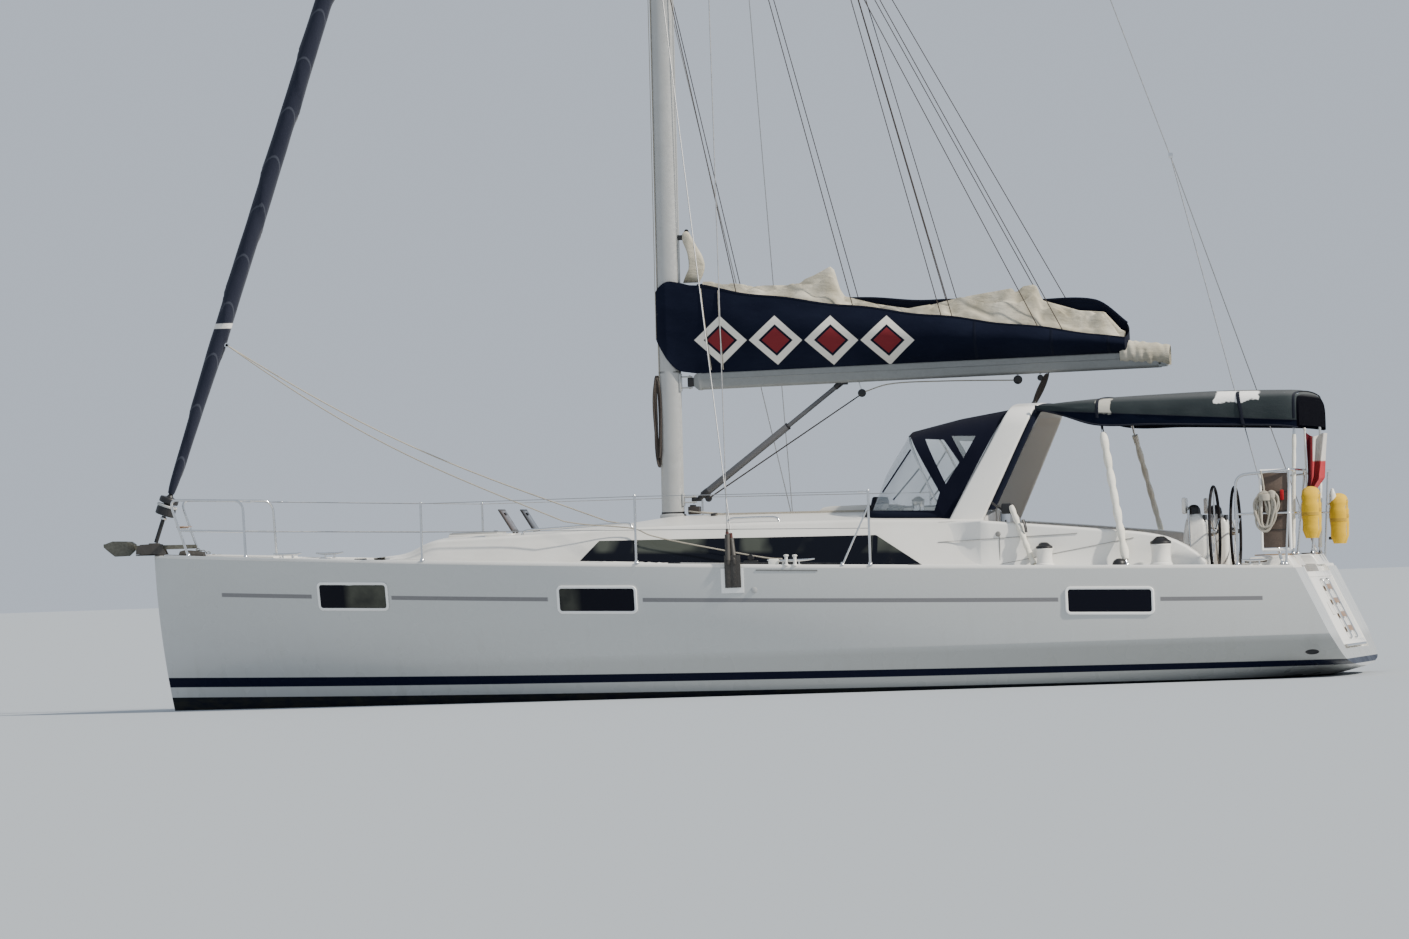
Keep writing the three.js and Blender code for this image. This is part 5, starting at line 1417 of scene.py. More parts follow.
def build_mast():
    shape = Shape()
    rings = []
    for z in (1745, 1900, 3000, 5000, 7300, 9500, 12300, 15000, MAST_TOP):
        ring = []
        for a in turns(40):
            blunt = 1 - 0.05 * cos(2 * a)
            ring.append((X(mast_station(z)) + MAST_LONG * cos(a), MAST_WIDE * sin(a) * blunt, z))
        rings.append(ring)
    shape.loft(rings)
    shape.tube([(X(mast_station(z) + 112), 0, z) for z in (3250, 9000, 17900)], 11, 8, flat=1.4)

    def collar(levels, mat, caps=True):
        shape.loft([[(X(mast_station(h)) + (MAST_LONG + grow) * cos(a), (MAST_WIDE + grow) * sin(a), h)
                     for a in turns(32)] for h, grow in levels], mat, caps)

    collar(((1735, 20), (1768, 19), (1776, 12), (1782, 1)), 0)
    collar(((1783, 0), (1784, 4), (1797, 4), (1799, 0)), 1, False)
    for z in (3162, 3172, 7190, 12190):
        collar(((z, 0), (z + 1, 2.2), (z + 5, 2.2), (z + 6, 0)), 2, False)
    top = mast_station(MAST_TOP)
    crane = [(top - 250, MAST_TOP - 60), (top, MAST_TOP - 110), (5770, MAST_TOP - 95), (5770, MAST_TOP - 45),
             (top - 250, MAST_TOP - 22)]
    shape.prism(crane, -20, 20)
    for z, half, thick, pin in ((GOOSENECK_Z, 45, 16, 10), (VANG_Z, 20, 14, 8)):
        front, back = mast_station(z) + 96, GOOSENECK + 24
        for low in (z + half + 0.5, z - half - 0.5 - thick):
            shape.block((X(front), -26, low), (X(back), 26, low + thick), 5)
        shape.rod((X(GOOSENECK), 0, z - half - thick - 6), (X(GOOSENECK), 0, z + half + thick + 6), pin, 16)
        shape.block((X(front), -44, z - half - 42), (X(front) + 20, 44, z + half + 42), 5)
    lamp = [(0, 0), (16, 0), (16, 60), (9, 70), (9, 90), (0, 90)]
    shape.lathe(lamp, (X(top) - 60, 0, MAST_TOP), sides=16, mat=1)
    shape.rod((X(top) - 40, 30, MAST_TOP - 40), (X(top) - 230, 30, MAST_TOP + 60), 6, 8)
    shape.make("mast_spar", "alloy black dark_line", slot="mast_alloy", stands_for="mast")


def hank(shape, centre, half_height, half_width, spread, count, radius):
    """A hanging coil of rope whose turns lie side by side in y."""
    cx, cy, cz = centre
    for k in range(count):
        t = k / (count - 1)
        tall = half_height * (0.78 + 0.22 * abs(sin(2.3 * k + 0.4)))
        wide = half_width * (0.35 + 0.65 * abs(cos(1.7 * k)))
        loop = []
        for a in (2 * pi * j / 30 for j in range(31)):
            droop = half_height - tall
            loop.append((cx + wide * cos(a) * (1 + 0.15 * sin(3 * a + k)),
                         cy + spread * (t - 0.5) + 5 * sin(2 * a + k),
                         cz + tall * sin(a) + droop * 0.6))
        shape.tube(loop, radius, 7)
    top = cz + half_height * 0.72
    shape.lathe([(half_width * 0.3, -34), (half_width * 0.62, -30), (half_width * 0.66, 0),
                 (half_width * 0.62, 30), (half_width * 0.3, 34)], (cx, cy, top), sides=14)


def build_mast_gear():
    gear = Shape()
    hank(gear, (X(mast_front(2700)) - 10, -20, 2690), 450, 34, 70, 9, 10)
    for low, high in ((-90, -72), (72, 90)):
        gear.block((X(mast_station(3480)) - 12, low, 3380), (X(mast_station(3480)) + 12, high, 3560), 5, 2)
    for y in (-34, -18, 18, 34):
        gear.tube([(X(mast_front(1830)) + 26, y, 1795), (X(mast_front(3400)) + 10, y * 1.1, 3400),
                   (X(mast_front(12000)) + 12, y, 12000), (X(mast_front(17950)) + 8, y, 17950)], 5, 6, 3)
    gear.tube([(X(mast_front(3500)) - 10, -30, 3500), (X(mast_front(17800)) - 6, -20, 17800)], 4, 6, 3)
    for y in (-54, 6):
        gear.block((X(5384), y, 1766), (X(5500), y + 48, 1846), 9, 4)
        gear.block((X(5402), y + 8, 1840), (X(5452), y + 40, 1862), 6, 2)
    gear.make("mast_gear", "rope_dark alloy black rope dark_frame", slot="rope")


SPREADERS = rows(["name", "z", "station", "y", "chord"],
                 [["lower", 7300, 5945, 1130, 118], ["upper", 12300, 5800, 860, 96]])


def spreader_ring(centre, chord, thick):
    """The section of a spreader."""
    cx, cy, cz = centre
    return [(cx + chord / 2 * cos(a), cy, cz + thick / 2 * sin(a) * (1 - 0.25 * cos(a))) for a in turns(14)]


def build_spreaders():
    for name, z, tip, half, chord in (row.values() for row in SPREADERS):
        shape = Shape()
        mast = X(mast_station(z))
        root = mast + 60
        for sign in (1, -1):
            rings = []
            for t in span(0, 1, 8):
                centre = (root + (X(tip) - 20 - root) * t, sign * (40 + (half - 40) * t), z)
                rings.append(spreader_ring(centre, chord * (1 - 0.4 * t), 34 - 12 * t))
            shape.loft(rings)
            y = sign * half
            shape.block((X(tip) - 48, y - 16, z - 14), (X(tip) + 20, y + 16, z + 14), 7, 1)
        shape.block((mast + 90, -70, z - 14), (mast + 150, 70, z + 14), 6)
        shape.make("spreader_pair_" + name, "alloy black", slot="mast_alloy", stands_for="spreaders_" + name)


def turnbuckle(shape, low, way, length, mat, radius):
    """A bottle screw from its lower pin, along the wire."""
    a, way = Vector(low), Vector(way).normalized()

    def barrel(t):
        return radius * (0.8 if t in (0, 1) else 1.25)

    shape.tube([a, a + way * 45], radius * 0.9, 10, mat)
    shape.tube([a + way * along for along in (40, 50, length - 60, length - 50)], barrel, 12, mat)
    shape.tube([a + way * (length - 55), a + way * length], radius * 0.7, 8, mat)


def plate_on(shape, surface, sign, front, back, low, high, out, thick, mat=0):
    """A plate that follows the boat's side between two stations and two heights."""
    grid = [[(X(s), sign * (surface(s, z) + out), z) for z in span(low, high, 7)]
            for s in span(front, back, 5)]
    return shape.sheet(grid, mat, thick * sign)


CAP_SHROUD, LOWER_SHROUD, SHROUD_FOOT_Z = 6105, 6165, 1280


def build_shrouds():
    side = smooth(HULL, "sheer", 6212)
    lower, upper = SPREADERS
    for name, sign in SIDES:
        shape = Shape()
        plate_on(shape, topside, sign, 6026, 6246, 990, 1226, 4, 5, 4)
        plate_on(shape, topside, sign, 6066, 6222, 1040, 1352, 14, 9, 3)
        for s in (CAP_SHROUD, LOWER_SHROUD):
            plate_on(shape, topside, sign, s - 18, s + 18, 1050, 1352, 18, 5, 3)
            for z in (1085, 1135, 1185):
                at = (X(s), sign * (topside(s, z) + 17), z)
                shape.lathe([(0, 0), (10, 0), (9, 5), (0, 6)], at, (0, sign, 0), 12, 3)
        y0 = sign * (side + 9)
        cap = [(X(CAP_SHROUD), y0, SHROUD_FOOT_Z),
               (X(lower["station"]), sign * (lower["y"] + 5.8), lower["z"]),
               (X(upper["station"]), sign * (upper["y"] + 5.8), upper["z"]),
               (X(mast_station(17900)), sign * 66, 17900)]
        inner = [(X(LOWER_SHROUD), y0, SHROUD_FOOT_Z), (X(mast_station(7100)), sign * 66, 7130)]
        shape.tube(cap, WIRE, 8)
        shape.tube(inner, WIRE, 8)
        for line, length in ((cap, 330), (inner, 300)):
            a, way = Vector(line[0]), (Vector(line[1]) - Vector(line[0])).normalized()
            turnbuckle(shape, a, way, length, 3, 20)
            shape.tube([a + way * 20, a + way * 130], 26, 12, 3)
            shape.tube([a + way * 235, a + way * 300], 17, 12, 2)
            shape.block((a.x - 14, y0 - 17, 1262), (a.x + 14, y0 + 17, 1316), 4, 3)
        shape.make("shroud_set_" + name, "wire steel rust weathered bright",
                   slot="wire_rope", stands_for="shrouds_" + name)


SPLIT = Vector((X(10250), 0, 5100))
STAY_FOOT = (X(11400), 1745, deck_top(11400) - 5)


def build_backstay():
    shape = Shape()
    head = Vector((X(5745), 0, MAST_TOP - 85))
    shape.tube([head, SPLIT], WIRE, 8)
    for sign in (1, -1):
        foot = Vector((STAY_FOOT[0], sign * STAY_FOOT[1], STAY_FOOT[2] + 5))
        shape.tube([SPLIT + Vector((0, 0, 4)), foot], WIRE, 8)
        turnbuckle(shape, foot + Vector((0, 0, 12)), SPLIT - foot, 420, 1, 13)
        shape.block((foot.x - 16, foot.y - 5, foot.z - 2), (foot.x + 16, foot.y + 5, foot.z + 40), 4, 1)
        base_plate(shape, foot.x, foot.y, foot.z, 44, 1)
    shape.block((SPLIT.x - 14, -22, SPLIT.z - 30), (SPLIT.x + 26, 22, SPLIT.z + 24), 6, 1)
    for t in (0.28, 0.62):
        insulator = [(0, 0), (17, 4), (26, 22), (26, 70), (17, 88), (0, 92)]
        shape.lathe(insulator, head.lerp(SPLIT, t), SPLIT - head, 16, 2)
    shape.make("backstay_wires", "wire steel white_plastic", slot="wire_rope", stands_for="backstay")


STAY_LOW, STAY_HIGH = Vector((X(95), 0, 1893)), Vector((X(5215), 0, 16290))
STAY_WAY = (STAY_HIGH - STAY_LOW).normalized()


def stay_at(z):
    """The point of the forestay at a height."""
    return STAY_LOW + STAY_WAY * ((z - STAY_LOW.z) / STAY_WAY.z)


FURL_LOW, FURL_HIGH = 2150, 15800
FURL = rows(
    ["station", "r"],
    [[2150, 34], [2200, 42], [2300, 50], [2800, 62], [3600, 84], [5000, 92], [7000, 94], [10000, 84],
     [13000, 62], [15200, 34], [15800, 20]])


def build_forestay():
    shape = Shape()
    shape.tube([stay_at(1668), stay_at(16450)], WIRE, 10)
    shape.tube([stay_at(1672), stay_at(1700), stay_at(1900), stay_at(1930)], 21, 16, 2)
    shape.lathe([(22, -6), (34, 0), (34, 16), (24, 22)], stay_at(1900), STAY_WAY, 20, 1)
    shape.make("forestay_wire", "wire steel black", slot="wire_rope", stands_for="forestay")


def build_furl():
    """The rolled sail: turns of cloth that overlap in a helix, thicker where the leech is."""
    side = Vector((0, 1, 0))
    ahead = STAY_WAY.cross(side)
    rings = []
    for z in span(FURL_LOW, FURL_HIGH, 260):
        r = smooth(FURL, "r", z)
        ring = []
        for a in turns(28):
            phase = (a / (2 * pi) + (z - FURL_LOW) / 1150) % 1
            lip = 1 + 0.10 * (1 - phase) ** 6 - 0.06 * phase
            ripple = 1 + 0.035 * noise.noise(Vector((cos(a) * 1.5, sin(a) * 1.5, z / 240)))
            ring.append(stay_at(z) + (side * cos(a) + ahead * sin(a)) * max(r * lip * ripple * 0.97, 12))
        rings.append(ring)
    roll = Shape().loft(rings).make("furled_sail", "furl", body="furler", slot="navy_canvas",
                                    stands_for="furled_genoa")
    drum = Shape()
    base = stay_at(1938)
    drum.lathe([(7, 0), (88, 0), (97, 8), (98, 60), (94, 92), (60, 96), (40, 100), (40, 116), (70, 122),
                (94, 128), (97, 140), (96, 172), (88, 184), (40, 190), (26, 205), (16, 240), (7, 242)], base,
                STAY_WAY, 36, 0)
    drum.lathe([(99, 84), (103, 88), (104, 104), (100, 108), (40, 108), (40, 84), (99, 84)], base, STAY_WAY,
               36, 2)
    top = stay_at(15820)
    drum.lathe([(7, -20), (20, -18), (34, -6), (34, 100), (24, 120), (7, 124)], top, STAY_WAY, 24, 1)
    drum.tube([stay_at(2060), stay_at(15900)], 9, 10, 2)
    drum.make("furling_drum", "black steel alloy", body="furler", slot="mast_alloy")
    clew = Shape()
    tack = stay_at(3600) + Vector((95, -20, 0))
    clew.lathe([(13, -5), (24, -5), (24, 5), (13, 5), (13, -5)], tack + Vector((8, 0, 0)), (0, 1, 0), 18, 1)
    for y in (-1, 1):
        a = tack + Vector((20, 0, -8))
        end = Vector((X(4356), y * 1180, 1735))
        points = []
        for t in span(0, 1, 30):
            p = a.lerp(end, t)
            p.z -= 190 * sin(pi * t) * (1 - 0.35 * t)
            points.append(p)
        run = [(X(4356), y * 1180, 1735), (X(4560), y * 1200, 1700), (X(5064), y * 1250, 1640),
               (X(5237), y * 1350, 1570), (X(5983), y * 1500, 1400), (X(6446), y * 1600, 1310),
               (X(6560), y * 1640, deck_top(6560) + 60)]
        clew.tube(points[:-1] + spline(run, 6), 6.5, 8, 0)
    clew.make("jib_sheets", "rope steel", slot="rope")


BOOM_FRONT, BOOM_BACK, BOOM_LOW, BOOM_RISE, BOOM_DEEP = 5530, 10095, 2985, 55, 170
BOOM_HALF = 55


def boom_low(s):
    """Height of the boom's underside."""
    return BOOM_LOW + BOOM_RISE * (s - BOOM_FRONT) / (BOOM_BACK - BOOM_FRONT)


def boom_top(s):
    """Height of the boom's upper face."""
    return boom_low(s) + BOOM_DEEP


def pulley(shape, at, size, mat=0):
    """A sheave block whose axle lies across the boat."""
    outline = [(0, -16), (size * 0.8, -16), (size, -10), (size, 10), (size * 0.8, 16), (0, 16)]
    shape.lathe(outline, at, (0, 1, 0), 20, mat)


def build_boom():
    shape = Shape()
    rings = []
    for s in span(BOOM_FRONT, BOOM_BACK, 12):
        low, top, half = boom_low(s), boom_top(s), BOOM_HALF
        ring = []
        for cx, cz, start, r in ((half - 22, top - 22, 0, 22), (22 - half, top - 22, 90, 22),
                                 (34 - half, low + 34, 180, 34), (half - 34, low + 34, 270, 34)):
            for k in range(6):
                a = radians(start + 18 * k)
                ring.append((X(s), cx + r * cos(a), cz + r * sin(a)))
        rings.append(ring)
    shape.loft(rings)
    for sign in (1, -1):
        shape.tube([(X(s), sign * 54, boom_low(s) + 100) for s in (5560, 10060)], 5, 6, 0)
    shape.block((X(GOOSENECK) - 22, -22, GOOSENECK_Z - 44.5), (X(5550), 22, GOOSENECK_Z + 44.5), 6, 1)
    shape.block((X(5526), -57, 2982), (X(5560), 57, 3160), 6, 0)
    end = [(10075, 3046), (10075, 3222), (10115, 3226), (10158, 3212), (10165, 3190), (10165, 3070),
           (10150, 3050)]
    shape.prism(end, -BOOM_HALF, BOOM_HALF)
    shape.prism([(10135, 3090), (10170, 3090), (10170, 3170), (10135, 3170)], -14, 14, 1)
    rings = []
    for s, half, low, high in ((5482, 30, 3032, 3118), (5500, 44, 3006, 3140), (5528, 54, 2988, 3154)):
        rings.append([(X(s), -half, low), (X(s), half, low), (X(s), half, high), (X(s), -half, high)])
    shape.loft(rings, 0)
    # The boom takes the darker alloy copy as painted shade.
    shape.make("boom_spar", "boom_alloy black", body=RIG, slot="mast_alloy", stands_for="boom")


def build_vang():
    vang = Shape()
    a, b = Vector((X(5492), 0, VANG_Z + 8)), Vector((X(6965), 0, 3025))
    way = (b - a).normalized()

    def collar(low, high, radius):
        vang.tube([a + way * along for along in (low, low + 6, high - 6, high)],
                  lambda t: radius if 0.1 < t < 0.9 else radius - 4, 20, 1)

    vang.tube([a, a + way * 60], 26, 16, 1)
    vang.tube([a + way * along for along in (40, 52, 1120, 1132)], lambda t: 36 if 0.1 < t < 0.9 else 31, 20)
    collar(44, 120, 39)
    collar(1118, 1140, 37)
    vang.tube([a + way * 1130, b], 23, 16)
    collar((b - a).length - 110, (b - a).length - 10, 29)
    vang.block((X(GOOSENECK) - 22, -14, VANG_Z - 19.5), (X(5515), 14, VANG_Z + 19.5), 5, 1)
    vang.block((b.x - 60, -24, 2985), (b.x + 40, 24, 3012), 5, 1)
    # The vang's tube takes the dark alloy copy as painted shade.
    vang.make("vang_strut", "dull_alloy black", body=RIG, slot="mast_alloy", stands_for="vang")


def build_boom_gear():
    gear = Shape()
    foot, head = Vector((X(5545), 0, 1905)), Vector((X(7141), 0, 2898))
    for off in (-24, -8, 8, 24):
        gear.tube([foot + Vector((50, off, 20)), head + Vector((-20, off * 0.6, -20))], 5.5, 6, 3)
    pulley(gear, foot + Vector((40, 0, 14)), 34)
    pulley(gear, head, 40)
    gear.tube([head + Vector((0, 0, 20)), (head.x - 30, 0, boom_low(7110) + 4)], 8, 8, 2)
    for s, size in ((8683, 44), (8905, 30)):
        low = boom_low(s)
        gear.block((X(s) - 9, -9, low - 24), (X(s) + 9, 9, low + 3), 3, 2)
        pulley(gear, (X(s), 0, low - 24 - size * 0.62), size)
    line = [(X(7180), -10, 2912), (X(7400), -12, boom_low(7400) - 34), (X(8000), -12, boom_low(8000) - 30),
            (X(8640), -10, boom_low(8640) - 54)]
    gear.tube(spline(line, 6), 6.5, 8, 1)
    gear.make("boom_gear", "black rope steel rope_dark", body=RIG, slot="black_fitting")


def build_mainsheet():
    """The sheet's dark webbing from the boom to the arch."""
    top, low = Vector((X(8972), 0, boom_low(8972) - 4)), Vector((X(8838), 0, 2726))
    shape = Shape()
    grid = []
    for t in span(0, 1, 13):
        p = top.lerp(low, t)
        wide = 20 + 22 * sin(pi * t) ** 0.6
        twist = radians(16 * sin(t * 5))
        across = Vector((cos(twist), sin(twist), 0.25)) * wide
        grid.append([p - across, p, p + across])
    shape.sheet(grid, 0, 7)
    for off in (-14, 14):
        shape.tube([top + Vector((0, off, 0)), low + Vector((0, off, 0))], 6, 8, 0)
    sheet = shape.make("mainsheet", "rope_dark", slot="rope", ride=False)
    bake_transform(sheet)
    base = Shape()
    base.block((X(8765), -90, 2701), (X(8915), 90, 2713), 4, 0)
    for off in (-1, 1):
        pulley(base, (X(8838), 26 * off, 2736), 24, 1)
    base.make("mainsheet_base", "steel black", slot="black_fitting")


BAG = rows(
    ["station", "port", "stbd", "half"],
    [[5600, 4010, 4020, 150], [6110, 3905, 3950, 210], [6850, 3790, 3860, 235], [7500, 3690, 3810, 235],
     [8300, 3570, 3770, 225], [8900, 3480, 3745, 215], [9450, 3394, 3735, 190], [9770, 3335, 3480, 150]])


def bag_side(s, sign, t):
    """A point of a bag flap: t is 0 on the boom and 1 at its top edge."""
    top = smooth(BAG, "port" if sign < 0 else "stbd", s)
    half = smooth(BAG, "half", s)
    low = boom_top(s) - 6
    bulge = sin(min(t * 1.25, 1) * pi / 2) ** 0.8
    lean = 1 - 0.26 * max(0, (t - 0.55) / 0.45) ** 1.3
    wave = 9 * sin(s / 118.0 + 2.6 * t) * t * (1 - t) * 2 + 7 * sin(s / 310.0 + sign)
    y = sign * (52 + (half - 52) * bulge * lean + wave * sin(pi * min(t, 0.9)))
    sag = 16 * sin((s - 5600) / 4170 * pi * 5) ** 2 * t ** 3
    z = low + (top - low) * t - sag
    return Vector((X(s), y, z))


def build_bag():
    levels = span(0, 1, 19)
    for name, sign in (("port", -1), ("stbd", 1)):
        grid = [[bag_side(s, sign, t) for t in levels] for s in span(5560, 9760, 110)]
        cloth_sheet("bag_flap_" + name, grid, "bag", "navy_canvas", body=RIG,
                    stands_for="sail_bag" if sign < 0 else None)
        hem = Shape()
        hem.tube([bag_side(s, sign, 1) for s in span(5560, 9760, 110)], 9, 8, flat=1.3)
        hem.tube([bag_side(s, sign, 0.985) + Vector((0, sign * 3, -34)) for s in span(5580, 9740, 100)], 3, 5)
        hem.make("bag_hem_" + name, "navy", body=RIG, slot="navy_canvas")
    aft = []
    for t in levels:
        a, b = bag_side(9760, -1, t), bag_side(9760, 1, t)
        aft.append([a.lerp(b, u) + Vector((34 * sin(pi * u), 0, 0)) for u in span(0, 1, 13)])
    cloth_sheet("bag_end", aft, "navy", "navy_canvas", body=RIG)
    straps = Shape()
    for s in (8300, 9050, 9600):
        for sign in (1, -1):
            path = [bag_side(s, sign, t) + Vector((0, sign * 5, 0)) for t in span(0.02, 0.97, 12)]
            straps.tube(path, 15, 6, flat=0.2)
    for (top_s, top_t), (low_s, low_t) in (((5594, 0.96), (5667, 0.03)), ((5773, 0.98), (5786, 0.03))):
        path = [bag_side(top_s + (low_s - top_s) * u, -1, top_t + (low_t - top_t) * u) + Vector((0, -8, 0))
                for u in span(0, 1, 14)]
        straps.tube(path, 6, 6, 1)
    straps.make("bag_straps", "navy rope", body=RIG, slot="navy_canvas")


FOLDS = rows(
    ["station", "top"],
    [[5480, 4048], [5700, 4040], [6110, 3985], [6450, 3975], [6700, 4060], [6866, 4142], [6905, 4110],
     [6985, 3850], [7300, 3760], [7624, 3702], [7900, 3740], [8140, 3792], [8500, 3840], [8863, 3889],
     [8900, 3870], [8940, 3735], [9300, 3620], [9540, 3600], [9700, 3420], [9850, 3360]])


def build_folds():
    """The dropped sail between the flaps: flaked folds heaped on the boom."""
    grid = []
    for s in span(5600, 9745, 230):
        top = straight(FOLDS, "top", s) - 8
        half = smooth(BAG, "half", s)
        port, stbd = smooth(BAG, "port", s) - 60, smooth(BAG, "stbd", s) - 70
        line = []
        for u in span(-1, 1, 49):
            edge = port if u < 0 else stbd
            base = edge + (top - edge) * (1 - abs(u) ** 1.5)
            drift = 2.4 * noise.noise(Vector((s / 420, 1, 0)))
            pleat = 40 * (1 - 2 * abs(sin(u * 7.5 + drift))) * (1 - abs(u) ** 3)
            rough = 44 * noise.noise(Vector((s / 120, u * 2.6, 3.0)))
            crease = abs(sin(s / 135 + u * 2.2 + 2 * noise.noise(Vector((s / 300, u, 7.0)))))
            lift = (pleat + rough - 52 * crease ** 3 + 12) * (1 - u * u)
            line.append((X(s), u * (half * 0.72), min(base + lift, top + 10)))
        grid.append(line)
    cloth_sheet("folded_sail", grid, "sail", "sailcloth", body=RIG, crease=50)
    head = Shape()
    outline = [(5404, 4040), (5462, 4170), (5455, 4330), (5408, 4470), (5420, 4535), (5462, 4545),
               (5500, 4490), (5545, 4400), (5600, 4300), (5622, 4200), (5600, 4110), (5560, 4040)]
    board = spline([(s, z, 0) for s, z in outline], 4)
    head.loft([[(X(5520) + (X(p.x) - X(5520)) * k, y, 4290 + (p.y - 4290) * k) for p in board]
               for y, k in ((-42, 0.72), (-30, 0.93), (-12, 1), (12, 1), (30, 0.93), (42, 0.72))], 0)
    head.lathe([(10, -7), (22, -7), (22, 7), (10, 7), (10, -7)], (X(5452), 0, 4545), (0, 1, 0), 16, 2)
    head.block((X(mast_station(4490)) + 108, -16, 4462), (X(5424), 16, 4512), 5, 2)
    head.make("headboard", "sail sail black", body=RIG, slot="sailcloth")
    tail = []
    for s in span(9700, 10186, 30):
        t = (s - 9700) / 486
        line = []
        for v in span(0, 1, 21):
            a = pi * (v * 1.6 - 0.3)
            crumple = 0.2 * noise.noise(Vector((s / 60, v * 4, 1))) + 0.08 * abs(sin(s / 24 + v * 5))
            r = 84 * (1 - 0.12 * t) * (1 + crumple)
            line.append((X(s), -r * cos(a), boom_top(s) - 56 + 62 * (1 - t) + r * sin(a) * 1.3))
        tail.append(line)
    cloth_sheet("sail_tail", tail, "sail", "sailcloth", body=RIG)


FRONT_EDGES = rows(
    ["station", "low", "high"],
    [[0, 3500, 3950], [0.12, 3400, 4010], [0.3, 3270, 4056], [0.5, 3185, 4050], [0.75, 3158, 4020],
     [1, 3150, 4015]])


def build_bag_front():
    """The flaps' forward ends laced round the mast."""
    grid = []
    for k in span(0, 1, 19):
        line = []
        for u in span(-1, 1, 49):
            w = abs(u)
            joined = bag_side(5562, -1 if u < 0 else 1, k)
            low, high = (smooth(FRONT_EDGES, c, w) for c in ("low", "high"))
            ease = max(0, (w - 0.75) / 0.25)
            z = (low + (high - low) * k) * (1 - ease) + joined.z * ease
            nose = mast_front(z) - 15
            clear = 90 + 6 * sin(k * 9 + u * 5)
            wrap = min(1, w * 4) ** 0.5
            y = copysign(clear * wrap + (abs(joined.y) - clear) * max(0, (w - 0.25) / 0.75) ** 1.2, u)
            line.append((X(nose + (5562 - nose) * w), y if w > 0 else 0, z))
        grid.append(line)
    front = cloth_sheet("bag_front", grid, "bag", "navy_canvas",
                        ride=False)
    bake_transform(front)


# Each line is [height on the mast, station on the bag].
LAZY_JACKS = {
    "low": [(6857, 5955)],
    "middle": [(10702, 7109), (10594, 8920), (10727, 9162)],
    "high": [(13649, 7976), (13673, 8084)],
}


def build_lazy_jacks():
    """Thin lines from the mast to the bag's edges."""
    for name, lines in LAZY_JACKS.items():
        shape = Shape()
        for top_z, low_s in lines:
            for sign in (1, -1):
                flap = bag_side(low_s, sign, 0.98)
                top = Vector((X(mast_station(top_z)) + 100, sign * 55, top_z))
                shape.tube([top, (flap.x, flap.y, flap.z + 6)], 5, 6)
        piece = shape.make("lazy_jacks_" + name, "rope_dark", slot="rope", ride=False)
        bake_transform(piece)


# Rails and deck gear
RAIL = dict(front=10985, back=11530, side=1812, z=1990, mid=1580, inner=670)
SEAT_TOP = 1180
BUOY = dict(side=1300, half=130, low=1330, top=1770)


def build_pulpit():
    shape = Shape()
    for sign in (1, -1):
        path = [(X(1080), sign * 715, deck_top(1080)), (X(1060), sign * 690, 2050),
                (X(220), sign * 250, 2085), (X(400), sign * 262, deck_top(400))]
        shape.tube(rounded(path, 110, 8), TUBE, 12)
        shape.tube([(X(1070), sign * 701, 1745), (X(312), sign * 257, 1780)], TUBE * 0.8, 10)
        base_plate(shape, X(1080), sign * 715, deck_top(1080))
        base_plate(shape, X(400), sign * 262, deck_top(400))
    shape.tube([(X(307), -256, 1800), (X(307), 256, 1800)], TUBE, 12)
    shape.block((X(268), -180, 1812), (X(346), 180, 1824), 4, 1)
    shape.make("pulpit_rails", "steel teak_plain", slot="stainless", stands_for="pulpit")


STANCHIONS = [(3015, 1965), (5190, 1960), (7480, 1930)]


def build_lifelines():
    for name, sign in SIDES:
        shape = Shape()
        heads, mids = [], []
        for s, top in STANCHIONS:
            y = smooth(HULL, "sheer", s) - 38
            shape.tube([(X(s), sign * y, deck_top(s) + 2), (X(s), sign * (y - 4), top)], 12.5, 12)
            shape.lathe([(0, 0), (15, 0), (15, 5), (10, 12), (0, 14)], (X(s), sign * (y - 4), top - 6),
                        sides=14)
            base_plate(shape, X(s), sign * (y + 0.5), deck_top(s), 42)
            heads.append((X(s), sign * (y - 4), top - 12))
            mids.append((X(s), sign * (y - 2), (deck_top(s) - 5 + top) / 2))
        start, low_start = (X(1062), sign * 693, 2040), (X(1070), sign * 701, 1745)
        shape.tube([start] + heads, 4, 6, 1)
        shape.tube([low_start] + mids, 4, 6, 1)
        y = smooth(HULL, "sheer", 7480) - 38
        shape.tube([(X(7210), sign * (y + 4), deck_top(7210)), (X(7480), sign * (y - 4), 1780)], 9, 10)
        base_plate(shape, X(7210), sign * (y + 4), deck_top(7210), 30)
        for a, b in ((heads[2], heads[1]), (start, heads[0])):
            turnbuckle(shape, a, Vector(b) - Vector(a), 150, 0, 7)
        shape.make("lifeline_set_" + name, "steel wire", slot="stainless", stands_for="lifelines_" + name)


